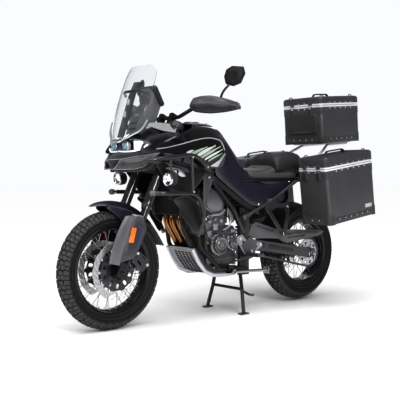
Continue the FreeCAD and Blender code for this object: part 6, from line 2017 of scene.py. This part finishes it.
    def chain(self) -> None:
        """Roller chain round both sprockets, link by link."""
        (ax, az, ar), (bx, bz, br) = self.drive, self.driven
        spread = math.hypot(ax - bx, az - bz)
        lean = math.atan2(az - bz, ax - bx)
        open_angle = math.acos((br - ar) / spread)
        route: list[tuple[float, float]] = []
        for step in range(61):
            turn = lean + open_angle + (2 * math.pi - 2 * open_angle) * step / 60
            route.append((bx + br * math.cos(turn), bz + br * math.sin(turn)))
        for step in range(31):
            turn = lean - open_angle + 2 * open_angle * step / 30
            route.append((ax + ar * math.cos(turn), az + ar * math.sin(turn)))
        lengths = [math.dist(first, second) for first, second in zip(route, route[1:] + route[:1])]
        total = sum(lengths)
        pairs = round(total / (2 * self.chain_pitch))
        spots = []
        for index in range(pairs):
            points = []
            for offset in (0.0, 0.5, 1.0):
                left = total * ((index + offset) % pairs) / pairs
                for start, long, end in zip(route, lengths, route[1:] + route[:1]):
                    if left <= long:
                        share = left / long
                        points.append((
                            start[0] + (end[0] - start[0]) * share, start[1] + (end[1] - start[1]) * share))
                        break
                    left -= long
            way = Vector((points[2][0] - points[0][0], 0, points[2][1] - points[0][1])).normalized()
            turn = Matrix((way, (0, 1, 0), way.cross(Vector((0, 1, 0))))).transposed().to_4x4()
            spots.append(((points[1][0], self.chain_y, points[1][1]), turn))
        link_parts = []
        half = self.chain_pitch / 2
        for centre, y, tall in ((-half, 4.6, 7), (half, 6.2, 7.4)):
            for turn in (-1, 1):
                rim = [(centre + dx, dz) for dx, dz in (
                    (-half - 6, 0), (-half - 3, tall * 0.8), (-half + 2, tall), (0, tall * 0.62),
                    (half - 2, tall), (half + 3, tall * 0.8), (half + 6, 0), (half + 3, -tall * 0.8),
                    (half - 2, -tall), (0, -tall * 0.62), (-half + 2, -tall), (-half - 3, -tall * 0.8))]
                link_parts.append(skin("plate", outlines(rim, turn * y, turn * (y + 1.5))))
        for centre in (-self.chain_pitch, 0):
            link_parts.append(drum("pin", 3.6, -8, 8, (centre + 0.0, 0, 0), (0, 1, 0), 0.6, 10))
        chain = self.copies.along("chain_links", welded("link", link_parts), spots, self.paints.of(CHAIN))
        self.fit(resharpened(chain), "frame", CHAIN, "drive_chain", painted=True)

    def rear(self) -> None:
        """Swingarm, chain guard, hugger, shock, caliper and pegs, and the nodes that are kept."""
        self.arm()
        self.chain_guard()
        self.hugger()
        self.shock()
        self.rear_brake()
        self.pegs()
        for node, finish in (("rider_footpegs", ALLOY), ("main_frame", FRAME), ("subframe", FRAME),
                             ("pannier_frames", FRAME), ("luggage_rack", SILVER), ("centre_stand", FRAME),
                             ("side_stand", STEEL)):
            self.keep(node, finish)
        self.screws(
            "peg_screws", "frame", [((x, turn * y, z), (0, turn, 0)) for _, turn in SIDES for x, y, z in (
                (-16, 154, 462), (-110, 154, 380), (-190, 154, 416), (-226, 180, 676), (-408, 180, 648),
                (-372, 180, 476))], 8)

    def arm(self) -> None:
        """Swingarm with dark plates of painted shade where its recesses are, pivot caps and chain adjusters.
        """
        self.keep("swingarm", ARM)
        panels = []
        for _, turn in SIDES:
            # Painted shade: dark trim plates laid flat on the arm's sides stand for the shade in its
            # recesses.
            for rim in (((-60, 454), (-80, 416), (-250, 388), (-256, 418)),
                        ((-284, 414), (-280, 384), (-520, 344), (-524, 368))):
                rings = []
                for out, grow in ((128.2, 1.0), (130.4, 0.97)):
                    middle = Vector((sum(p[0] for p in rim) / 4, 0, sum(p[1] for p in rim) / 4))
                    rings.append([(middle.x + (x - middle.x) * grow, turn * out,
                                   middle.z + (z - middle.z) * grow) for x, z in rim])
                self.add(panels, TRIM, rounded(skin("recess", rings), 0.8))
            self.add(panels, STEEL, lathe(
                "pivot", [(-6, 0), (-6, 24), (6, 24), (9, 20), (9, 13), (5, 12), (5, 0)],
                (-30, turn * 134, 438), (0, turn, 0), 32, ring=False))
            self.add(panels, CHROME, side_block("adjuster", turn, (-724, 128, 312), (-668, 134, 346), 3))
        self.join("swingarm_dress", panels, "frame", ALLOY)

    def chain_guard(self) -> None:
        """Wedge over the chain with its ribs."""
        guard = outlines(((-366, 500), (-430, 497), (-600, 486), (-815, 474), (-834, 460), (-792, 438),
                          (-640, 422), (-466, 407), (-400, 428)), 112, 120)
        parts = [self.paint(rounded(skin("guard", guard), 1.6), GREY)]
        front = outlines(((-112, 476), (-146, 540), (-180, 556), (-300, 522), (-372, 502), (-396, 436),
                          (-300, 446), (-180, 450)), 111, 119)
        self.add(parts, GREY, rounded(skin("chain_cover", front), 2))
        for start, end in (((-420, 474), (-600, 466)), ((-470, 440), (-640, 446)),
                           ((-640, 466), (-780, 460)), ((-190, 530), (-340, 488))):
            self.add(parts, TRIM, sweep("guard_rib", [(start[0], 120, start[1]), (end[0], 120, end[1])], 6,
                                        8, flat=0.3, up=(0, 1, 0)))
        self.join("chain_guard_wedge", parts, "frame", GUARD, "chain_guard")

    def hugger(self) -> None:
        """Short mudguard close over the rear tyre."""
        rows = arched([(turn - 70, reach, 104, 26) for turn, reach in (
            (176, 344), (152, 340), (130, 338), (108, 338), (84, 340), (66, 344), (50, 348))],
                      [(share, abs(share) ** 2.2) for share in (-1, -0.8, -0.4, 0, 0.4, 0.8, 1)], REAR_AXLE)
        low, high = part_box("rear_hugger")
        rows = [row for row in rows if low.x / MM - 90 < row[3][0] < high.x / MM + 40 and row[3][2] > low.z
                / MM - 20]
        self.fit(thickened(smoothed(sheet("rear_hugger_shell", rows), 2), 3), "frame", BLACK, "rear_hugger")

    def shock(self) -> None:
        """Damper in its coil spring."""
        low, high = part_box("rear_shock")
        middle = (low.x + high.x) / 2 / MM
        foot, top = Vector((middle + 30, 0, low.z / MM + 18)), Vector((middle - 30, 0, high.z / MM - 18))
        way = (top - foot).normalized()
        across = Vector((0, 1, 0))
        side = way.cross(across).normalized()
        coil = []
        for step in range(113):
            turn = step * 2 * math.pi / 16
            coil.append(foot + way * (40 + 190 * step / 112)
                        + (side * math.cos(turn) + across * math.sin(turn)) * 27)
        parts = [self.paint(sweep("coil", coil, 5.4, 8), ALLOY), self.paint(lathe("damper", [
            (0, 0), (0, 14), (30, 14), (34, 30), (40, 32), (44, 16), (220, 16), (232, 33), (250, 33),
            (256, 24), (320, 24), (324, 14), (342, 14), (342, 0)], foot, way, 32, ring=False), BLACK)]
        self.join("rear_shock_and_spring", parts, "frame", ALLOY, "rear_shock")

    def rear_brake(self) -> None:
        """Caliper on the rear disc."""
        low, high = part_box("rear_caliper")
        centre = (low + high) / 2 / MM
        parts = [self.paint(rounded(skin("body", [[(centre.x + dx, y, centre.z + dz) for dx, dz in (
            (-34, -40), (20, -46), (34, -20), (34, 30), (10, 46), (-26, 40),
            (-36, 0))] for y in (-118, -104, -92, -78)]), 5, 3), TUBE)]
        for dz in (-24, 20):
            self.add(parts, STEEL, drum("piston", 13, 0, 3, (centre.x, -117, centre.z + dz), (0, -1, 0)))
        self.join("rear_caliper_body", parts, "frame", TUBE, "rear_caliper")

    def pegs(self) -> None:
        """Peg hangers, and the passenger's brackets and pegs."""
        for side, turn in SIDES:
            hanger = [(18, 474), (-30, 486), (-70, 446), (-196, 430), (-204, 404), (-139, 374), (-80, 348),
                      (-44, 372), (6, 436)]
            passenger = [(-226, 704), (-204, 640), (-244, 596), (-350, 462), (-386, 458), (-400, 486),
                         (-424, 612), (-428, 664), (-392, 668), (-330, 672), (-262, 700)]
            hole = [(-264, 622), (-352, 508), (-368, 508), (-392, 604), (-386, 634), (-304, 640)]
            parts = [self.paint(plate(
                "hanger", Plane.XZ, hanger, (0, turn * 150, 0), 8,
                [circle(9, 16, (-40, 440)), circle(9, 16, (-150, 404)), slot_rim(60, 18, (-92, 404), 14)],
                1.5), CAST), self.paint(plate(
                    "passenger_bracket", Plane.XZ, passenger, (0, turn * 176, 0), 9, [hole], 2), FRAME),
                     self.paint(sweep("passenger_peg", [(-378, turn * 178, 478), (-378, turn * 247, 478)],
                                      12, 16, flat=0.7), RUBBER)]
            self.join(f"{side}_peg_hangers", parts, "frame", ALLOY, *left_only(turn, "passenger_footpegs"))

    def tail(self) -> None:
        """Tail cowl, lamp, turn signals and plate holder."""
        low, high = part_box("tail_section")
        x0, x1, z0, z1 = low.x / MM, high.x / MM, low.z / MM, high.z / MM
        rings = []
        for share, wide, top, base in (
                (0, 52, 0.99, 0.82), (0.06, 66, 1, 0.76), (0.3, 98, 0.99, 0.66), (0.6, 124, 0.93, 0.56),
                (0.85, 130, 0.80, 0.50), (1, 128, 0.72, 0.52)):
            x = x0 + share * (x1 - x0)
            up, down = z0 + top * (z1 - z0), z0 + base * (z1 - z0)
            waist = up * 0.7 + down * 0.3
            rings.append([(x, -wide * 0.7, up), (x, -wide, waist), (x, -wide * 0.86, down),
                          (x, wide * 0.86, down), (x, wide, waist), (x, wide * 0.7, up)])
        parts = [self.paint(smoothed(skin("cowl", rings, creases=(1, 4)), 2), BLACK)]
        z = z0 + 0.88 * (z1 - z0)
        self.add(parts, RED, block("tail_lamp", (x0 + 1, -42, z - 16), (x0 + 26, 42, z + 12), 6, 3))
        self.add(parts, BLACK, skin(
            "plate_arm", [[(x, -34, z), (x, 34, z), (x + 16, 34, z - 4), (x + 16, -34, z - 4)] for x, z in (
                (x0 + 40, z0 + 0.74 * (z1 - z0)), (x0 + 22, z0 + 0.4 * (z1 - z0)),
                (x0 + 8, z0 + 0.1 * (z1 - z0)))]))
        self.add(parts, PLATE, rounded(skin("blank_plate", [[(x0 + 3 + d, y, z) for y, z in (
            (-86, z0 + 130), (86, z0 + 130), (86, z0 + 4), (-86, z0 + 4))] for d in (0, 3)]), 1))
        self.add(parts, BLACK, block("plate_lamp", (x0 + 2, -26, z0 + 138), (x0 + 22, 26, z0 + 152), 4))
        for turn in (-1, 1):
            self.add(parts, RUBBER, sweep(
                "stem", [(x0 + 60, turn * 60, z - 10), (x0 + 52, turn * 104, z - 14)], 7, 10))
            self.add(parts, BLACK, side_block(
                "signal", turn, (x0 + 30, 98, z - 28), (x0 + 62, 134, z - 2), 7, 3))
            self.add(parts, AMBER, side_block(
                "signal_lens", turn, (x0 + 26, 102, z - 25), (x0 + 34, 130, z - 5), 3))
        self.join("tail_cowl_and_lamps", parts, "frame", BLACK, "tail_section")

    def build(self) -> None:
        """Make and dress every piece of the chassis."""
        self.engine()
        self.radiator()
        self.exhaust()
        self.belly()
        self.bars()
        self.chain()
        self.rear()
        self.tail()


# ------------------------------------------------------------------ seats
@dataclass
class Seating(Assembly):
    """Two padded seats with sewn seams and piping."""

    pressure: float = 4.0
    voxel: float = 5.5
    cap: float = 7.0
    stiffness: float = 40.0
    frames: int = 20
    margin: float = 0.001

    def pad(self, name: str, node: str, rings: Sequence[Sequence[Point]], finish: Finish,
            seams: Sequence[Sequence[Point]]) -> None:
        """Puff a cage into a pad, then add its seams.

        Args:
            name: the pad's name.
            node: the frame's node that it stands for.
            rings: its cage.
            finish: its cover.
            seams: lines that the seams follow.
        """
        cage = smoothed(skin(name, rings, rows=(0, len(rings) - 1)), 2)
        remesh = cage.modifiers.new("even", "REMESH")
        remesh.mode, remesh.voxel_size = "VOXEL", self.voxel * MM
        pad = baked(cage)
        low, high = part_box(node)
        start = [vertex.co.copy() for vertex in pad.data.vertices]
        cloth = pad.modifiers.new("puff", "CLOTH")
        cloth.settings.use_pressure = True
        cloth.settings.uniform_pressure_force = self.pressure
        cloth.settings.effector_weights.gravity = 0
        cloth.settings.tension_stiffness = self.stiffness
        cloth.point_cache.frame_start, cloth.point_cache.frame_end = 1, self.frames
        for step in range(1, self.frames + 1):
            bpy.context.scene.frame_set(step)
        pad = baked(pad)
        bpy.context.scene.frame_set(1)
        for vertex, before in zip(pad.data.vertices, start):
            step = vertex.co - before
            if step.length > self.cap * MM:
                step = step.normalized() * self.cap * MM
            vertex.co = before + step
            for axis in range(3):
                vertex.co[axis] = max(
                    low[axis] + self.margin, min(high[axis] - self.margin, vertex.co[axis]))
        pad = self.paint(smoothed(pad, 1), finish)
        lines = []
        for seam in seams:
            line = []
            for spot in path(seam, 30, 5):
                _, where, normal, _ = pad.closest_point_on_mesh(Vector(spot) * MM)
                line.append(where / MM + normal * 0.4)
            self.add(lines, BLACK, sweep("seam", line, 2.2, 6))
        whole = welded(name, [pad, *lines])
        self.fit(whole, "frame", finish, node, painted=True)

    @staticmethod
    def section(x: float, half: float, top: float, base: float, rise: float, narrow: float,
                drop: float) -> list[Point]:
        """Cross-section of a cage.

        Args:
            x: its station.
            half: its half width.
            top: the height of its crown.
            base: the height of its flat base.
            rise: the upright sides' share of the height.
            narrow: the share of the half width where the crown starts.
            drop: how far the crown falls there.

        Returns:
            Its places, from the base's right corner over the top.
        """
        knee = base + rise * (top - base)
        return [(x, -half, base), (x, -half, knee), (x, -half * narrow, top - drop), (x, 0, top),
                (x, half * narrow, top - drop), (x, half, knee), (x, half, base), (x, 0, base)]

    def build(self) -> None:
        """Make both seats."""
        front = []
        for x, half, top, base in ((-116, 60, 884, 846), (-150, 92, 880, 838), (-200, 122, 878, 836),
                                   (-260, 138, 884, 836), (-310, 142, 898, 838), (-350, 138, 918, 842)):
            front.append(self.section(x, half, top, base, 0.55, 0.72, 5))
        seams = [sided(((-140, 66, 880), (-200, 100, 880), (-270, 114, 890), (-344, 112, 914)), turn)
                 for turn in (-1, 1)]
        seams.append([(-270, -120, 880), (-276, 0, 890), (-270, 120, 880)])
        self.pad("rider_seat_cushion", "rider_seat", front, COVER, seams)
        rear = []
        for x, half, top, base in ((-362, 126, 962, 850), (-384, 136, 988, 846), (-430, 140, 998, 846),
                                   (-500, 140, 1000, 850), (-570, 128, 1000, 862), (-624, 106, 994, 878)):
            rear.append(self.section(x, half, top, base, 0.62, 0.76, 4))
        seams = [sided(((-370, 104, 966), (-400, 108, 994), (-500, 110, 1002), (-612, 84, 998)), turn)
                 for turn in (-1, 1)]
        seams.append([(-400, -112, 985), (-402, 0, 1000), (-400, 112, 985)])
        self.pad("passenger_seat_cushion", "passenger_seat", rear, COVER_REAR, seams)


# ------------------------------------------------------------------ luggage
@dataclass
class LuggageCase(Assembly):
    """Metal case: riveted shell, seam band, corner mouldings, latches, and a lid with its handle."""

    name: str = "top_case"
    lid_body: str = "top_lid"
    lid_node: str = "top_case_lid"
    at_x: float = -756
    at_z: float = 1057
    pitch: float = 4.5
    long: float = 402.4
    low_y: float = -172
    high_y: float = 172
    tall: float = 255
    lid: float = 60
    cut: float = 22
    pad: bool = True
    turn: int = 1
    metal: float = 2.2

    def way(self) -> Matrix:
        """From the case's own frame to the motorcycle's."""
        spot = shift(self.at_x, 0, self.at_z) @ Matrix.Rotation(math.radians(self.pitch), 4, "Y")
        return (Matrix.Scale(-1, 4, (0, 1, 0)) if self.turn < 0 else Matrix.Identity(4)) @ spot

    def rim(self, z: float, inset: float = 0) -> list[Point]:
        """Plan outline with round corners at a height."""
        low_x, high_x, low_y, high_y = -self.long + inset, -inset, self.low_y + inset, self.high_y - inset
        reach = max(3.0, self.cut - inset)
        ring = []
        for x, y, start in ((low_x + reach, low_y + reach, 180), (high_x - reach, low_y + reach, 270),
                            (high_x - reach, high_y - reach, 0), (low_x + reach, high_y - reach, 90)):
            for step in range(6):
                ring.append((*on_ring(reach, start + 18 * step, (x, y)), z))
        return ring

    def cup(self, name: str, heights: Sequence[tuple[float, float]],
            inner: Sequence[tuple[float, float]]) -> bpy.types.Object:
        """Open tray: outer rings, then inner rings back to its floor."""
        rings = [self.rim(z, inset) for z, inset in heights] + [self.rim(z, inset) for z, inset in inner]
        tray = rounded(skin(name, rings), 1.4, 2, 20)
        self.paint(tray, CASE)
        tray.data.materials.append(self.paints.of(CASE_FRONT))
        for face in tray.data.polygons:
            if face.normal.x > 0.75 and face.center.x > -0.003:
                face.material_index = 1
        return tray

    def corner(self, x: float, y: float, low: float, high: float, deep: float = 46) -> bpy.types.Object:
        """Moulding wrapped round one upright corner."""
        sx, sy = (1 if x > -self.long / 2 else -1), (1 if y > (self.low_y + self.high_y) / 2 else -1)

        def wrap(far: float, out: float) -> list[tuple[float, float]]:
            """Line round the corner, reaching far along both faces."""
            bend = [(x + sx * ((self.cut + out) * math.sin(turn) - self.cut),
                     y + sy * ((self.cut + out) * math.cos(turn) - self.cut))
                    for turn in (math.radians(18 * step) for step in range(6))]
            return [(x - sx * far, y + sy * out), *bend, (x + sx * out, y - sy * far)]

        rings = [[(a, b, z) for a, b in wrap(far, 2.4) + wrap(far, -1)[::-1]]
                 for z, far in ((low, deep), (low + 0.55 * (high - low), deep), (high, deep - 16))]
        return self.paint(rounded(skin("moulding", rings), 1.4), CASE_FRONT)

    def rivets(self, heights: Sequence[float], gap: float = 52) -> bpy.types.Object:
        """Rows of rivet heads round the case's four faces."""
        spots = []
        for z in heights:
            for x, normal in ((0.0, 1), (-self.long, -1)):
                count = int((self.high_y - self.low_y - 70) / gap)
                for index in range(count + 1):
                    y = self.low_y + 35 + (self.high_y - self.low_y - 70) * index / count
                    spots.append(((x, y, z), looking((normal, 0, 0))))
            for y, normal in ((self.high_y, 1), (self.low_y, -1)):
                count = int((self.long - 70) / gap)
                for index in range(count + 1):
                    spots.append(((-self.long + 35 + (self.long - 70) * index / count, y, z),
                                  looking((0, normal, 0))))
        head = lathe("head", [(-0.6, 0), (-0.6, 4.6), (0.7, 4.4), (1.9, 2.8), (2.3, 0)], (0, 0, 0),
                     (0, 0, 1), 8, ring=False)
        return resharpened(self.copies.along("rivets", head, spots, self.paints.of(RIVET)))

    def latch_places(self) -> tuple[float, float]:
        """Where the two latches stand across the front."""
        reach = 0.27 * (self.high_y - self.low_y)
        return self.low_y + reach, self.high_y - reach

    def placed(self, name: str, parts: Sequence[bpy.types.Object]) -> bpy.types.Object:
        """Join parts and carry them from the case's own frame to the motorcycle's."""
        whole = moved(welded(name, parts), self.way())
        if self.turn < 0:
            whole.data.flip_normals()
        return whole

    def corners(self) -> list[tuple[float, float]]:
        """The four upright corners in plan."""
        return [(x, y) for x in (0.0, -self.long) for y in (self.low_y, self.high_y)]

    def build(self) -> None:
        """Make the case and its lid."""
        self.shell()
        self.top()

    def shell(self) -> None:
        """Make the open case with its mouldings, latches and feet."""
        wall, tall = self.metal, self.tall
        parts = [self.cup("tray", ((0, 10), (7, 1), (10, 0), (tall - 1, 0)),
                          ((tall - 1, wall), (6 + wall, wall), (4, 12)))]
        for z, high in ((tall - 12, 11), (16, 4)):
            band = [self.rim(z, 0.5), self.rim(z, -1.5), self.rim(z + high, -1.5), self.rim(z + high, 0.5)]
            self.add(parts, RIVET if z > 50 else CASE, self.looped("band", band))
        foot = [self.rim(-0.6, 12), self.rim(4, 1), self.rim(8, -1.2), self.rim(40, -1.2),
                self.rim(44, 0.4)]
        self.add(parts, CASE_FRONT, rounded(
            self.looped("foot_rail", foot + [self.rim(40, 1), self.rim(8, 1)]), 1))
        parts += [self.corner(x, y, -0.5, 62) for x, y in self.corners()]
        parts += [self.corner(x, y, tall - 13, tall - 60, 38) for x, y in self.corners()]
        parts.append(self.rivets((tall - 20, 28)))
        for y in self.latch_places():
            self.add(parts, CASE_FRONT, block(
                "latch", (-1, y - 17, tall - 66), (8, y + 17, tall - 8), 3, 3))
            self.add(parts, BLACK, block(
                "latch_flap", (6, y - 12, tall - 62), (11, y + 12, tall - 22), 2.5, 3))
            self.add(parts, CHROME, block("latch_wire", (7, y - 9, tall - 20), (10, y + 9, tall - 9), 1.4))
        if self.pad:
            rings = [[(x, y * s, 134 + (z - 70) * s) for y, z in (
                (-136, 10), (-124, 0), (124, 0), (136, 10), (136, 128), (118, 142), (-118, 142),
                (-136, 128))] for x, s in ((0.0, 1.0), (10, 1.0), (15, 0.95), (16, 0.7))]
            self.add(parts, CASE_FRONT, smoothed(skin("back_pad", rings, rows=(0,)), 2))
            self.add(parts, TRIM, block("light_slot", (13, -70, 74), (17.8, 56, 86), 3))
        else:
            self.add(parts, PLATE, block("blank_tag", (-self.long + 44, self.high_y - 1, 58),
                                         (-self.long + 112, self.high_y + 1.2, 82), 0.8))
            for x in (-self.long * 0.3, -self.long * 0.7):
                self.add(parts, CASE, block(
                    "press_rib", (x - 46, self.high_y - 2, 110), (x + 46, self.high_y + 1.6, 114), 1))
        for x in (-60.0, -self.long + 60):
            for y in (self.low_y + 40, self.high_y - 40):
                self.add(parts, CASE_FRONT, drum("foot", 9, 0.2, 4, (x, y, -2), (0, 0, 1), 1, 16))
        self.fit(self.placed(f"{self.name}_shell", parts), "frame", CASE, f"{self.name}_body", painted=True)

    def top(self) -> None:
        """Make the lid with its rails, catches, handle and tie loops."""
        wall, tall, top = self.metal, self.tall, self.tall + self.lid
        parts = [self.cup("lid", ((top - 0.5, 22), (top - 3, 7), (top - 11, 0), (tall + 1.5, 0)),
                          ((tall + 1.5, wall), (top - 12, wall), (top - 6, 24)))]
        rail = [self.rim(tall + 14, 0.5), self.rim(tall + 14, -1.3), self.rim(top - 13, -1.3),
                self.rim(top - 4, 6), self.rim(top + 0.4, 21), self.rim(top - 3, 22), self.rim(top - 8, 8),
                self.rim(top - 14, 1)]
        self.add(parts, CASE_FRONT, rounded(self.looped("lid_rail", rail), 1))
        band = [self.rim(tall + 1.5, 0.5), self.rim(tall + 1.5, -1.5), self.rim(tall + 13, -1.5),
                self.rim(tall + 13, 0.5)]
        self.add(parts, RIVET, self.looped("lid_band", band))
        parts += [self.corner(x, y, tall + 12, top - 12, 44) for x, y in self.corners()]
        parts.append(self.rivets((tall + 19,)))
        for y in self.latch_places():
            self.add(parts, CASE_FRONT, block(
                "catch", (-1, y - 15, tall + 3), (8, y + 15, tall + 30), 3, 3))
        for share in (0.30, 0.70):
            y = self.low_y + share * (self.high_y - self.low_y)
            self.add(parts, CASE, block(
                "lid_rib", (-self.long + 46, y - 5, top - 3), (-46, y + 5, top + 1.4), 2.4))
        half, middle = 0.2 * self.long, (self.low_y + self.high_y) / 2
        back, front = -self.long / 2 - half, -self.long / 2 + half
        arch = path([(back, middle, top - 2), (back + 14, middle, top + 22), (front - 14, middle, top + 22),
                     (front, middle, top - 2)], 46)
        self.add(parts, BLACK, sweep("lid_handle", arch, 11, 12, flat=0.42))
        for x in (back, front):
            self.add(parts, BLACK, block(
                "handle_foot", (x - 17, middle - 15, top - 2), (x + 17, middle + 15, top + 5), 3, 3))
        for x in (-50.0, -self.long + 50):
            for y in (self.low_y + 34, self.high_y - 34):
                loop = path([(x - 18, y, top - 3), (x - 12, y, top + 9), (x + 12, y, top + 9),
                             (x + 18, y, top - 3)], 8, 4)
                self.add(parts, BLACK, sweep("tie_loop", loop, 3, 8))
        lid = self.placed(f"{self.name}_lid_shell", parts)
        self.fit(lid, self.lid_body, CASE, self.lid_node, painted=True)

    def looped(self, name: str, rings: Sequence[Sequence[Point]]) -> bpy.types.Object:
        """Hoop whose cross-section is the four rings."""
        shape = bmesh.new()
        grid = [[shape.verts.new(spot) for spot in ring] for ring in rings]
        count = len(grid[0])
        for first, second in zip(grid, grid[1:] + grid[:1]):
            for index in range(count):
                following = (index + 1) % count
                shape.faces.new((first[index], first[following], second[following], second[index]))
        return rounded(finished(name, shape), 0.5, 1)


# ------------------------------------------------------------------ studio
@dataclass
class Studio:
    """Pale floor, soft light, and the camera."""

    eye: tuple = (3.1638, 3.4490, 0.8680)
    yaw: float = -130.874
    pitch: float = -2.136
    lens: float = 67.82
    sensor: float = 36.0
    clip: tuple = (0.05, 200.0)
    floor: float = 40.0
    sunk: float = 0.6
    floor_colour: tuple = (0.98, 0.98, 0.98)
    air_colour: tuple = (0.97, 0.98, 1.0, 1.0)
    ambient: float = 0.21
    overhead: float = 3.0
    spread: float = 62.0
    falling: tuple = (-0.25, -0.28, -1.0)
    contrast: float = 0.76
    boxes: tuple = (
        ("key", (1.6, 4.2, 2.6), (0, 0, 0.6), 1.5, 110), ("fill", (4.6, -0.6, 1.9), (0.2, 0, 0.7), 1.2, 60),
        ("rim", (-3.4, -3.0, 3.2), (0, 0, 0.8), 2.4, 26))

    def ground(self, paints: Paints) -> None:
        """Plain pale floor.

        Args:
            paints: the makers of materials.
        """
        shape = bmesh.new()
        bmesh.ops.create_grid(shape, x_segments=1, y_segments=1, size=self.floor / MM)
        ground = finished("studio_floor", shape)
        moved(ground, shift(0, 0, -self.sunk))
        material = bpy.data.materials.new("studio_floor")
        material.use_nodes = True
        tree = material.node_tree
        shader = tree.nodes["Principled BSDF"]
        paints.worn(tree, self.floor_colour, 0.6, 0.004, 0.0, 0.0)
        shader.inputs["Specular IOR Level"].default_value = 0.2
        ground.data.materials.append(material)

    @staticmethod
    def light(name: str, at: Point, aim: Point, size: float, power: float) -> None:
        """One soft box.

        Args:
            name: its name.
            at: where it is.
            aim: where it shines.
            size: its width.
            power: its strength in watts.
        """
        data = bpy.data.lights.new(name, "AREA")
        data.shape, data.size, data.energy = "DISK", size, power
        lamp = bpy.data.objects.new(name, data)
        bpy.context.scene.collection.objects.link(lamp)
        lamp.location = at
        lamp.rotation_euler = (Vector(aim) - Vector(at)).to_track_quat("-Z", "Y").to_euler()

    def air(self) -> None:
        """White backdrop that lights the machine less than it shows."""
        world = bpy.data.worlds.new("studio")
        world.use_nodes = True
        tree = world.node_tree
        backdrop = tree.nodes["Background"]
        backdrop.inputs["Color"].default_value = self.air_colour
        seen = tree.nodes.new("ShaderNodeLightPath")
        glow = tree.nodes.new("ShaderNodeMapRange")
        glow.inputs["To Min"].default_value, glow.inputs["To Max"].default_value = self.ambient, 1.0
        through = Paints.maths(
            tree, "MAXIMUM", seen.outputs["Is Camera Ray"], seen.outputs["Is Transmission Ray"])
        tree.links.new(through, glow.inputs["Value"])
        tree.links.new(glow.outputs["Result"], backdrop.inputs["Strength"])
        bpy.context.scene.world = world

    def lamps(self) -> None:
        """Wide overhead light and the soft boxes."""
        overhead = bpy.data.lights.new("overhead", "SUN")
        overhead.energy, overhead.angle = self.overhead, math.radians(self.spread)
        lamp = bpy.data.objects.new("overhead", overhead)
        bpy.context.scene.collection.objects.link(lamp)
        lamp.rotation_euler = Vector(self.falling).to_track_quat("-Z", "Y").to_euler()
        for box in self.boxes:
            self.light(*box)

    def camera(self) -> None:
        """Camera to the front left of the machine."""
        data = bpy.data.cameras.new("camera")
        data.lens, data.sensor_width = self.lens, self.sensor
        data.clip_start, data.clip_end = self.clip
        camera = bpy.data.objects.new("camera", data)
        bpy.context.scene.collection.objects.link(camera)
        yaw, pitch = math.radians(self.yaw), math.radians(self.pitch)
        way = Vector((math.cos(pitch) * math.cos(yaw), math.cos(pitch) * math.sin(yaw), math.sin(pitch)))
        camera.location = self.eye
        camera.rotation_euler = way.to_track_quat("-Z", "Y").to_euler()
        bpy.context.scene.camera = camera

    def build(self, paints: Paints) -> None:
        """Set the whole studio.

        Args:
            paints: the makers of materials.
        """
        self.ground(paints)
        settings = bpy.context.scene.view_settings
        settings.view_transform, settings.gamma = "Standard", self.contrast
        self.air()
        self.lamps()
        self.camera()


def main() -> None:
    """Build every sub-assembly in order."""
    logging.basicConfig(level=logging.INFO, format="%(message)s")
    paints, copies = Paints(), Repeater()
    for part in (FrontWheel, RearWheel, FrontFork, Controls, Bodywork, FuelCap, Chassis, Seating,
                 LuggageCase):
        part(paints, copies).build()
    for side, turn in SIDES:
        LuggageCase(paints, copies, name=f"{side}_pannier", lid_body=f"{side}_lid",
                    lid_node=f"{side}_pannier_lid", at_x=-483, at_z=534, pitch=7.5, long=467, low_y=233,
                    high_y=470, tall=350, lid=75, pad=False, turn=turn).build()
    Studio().build(paints)


if __name__ == "__main__":
    main()
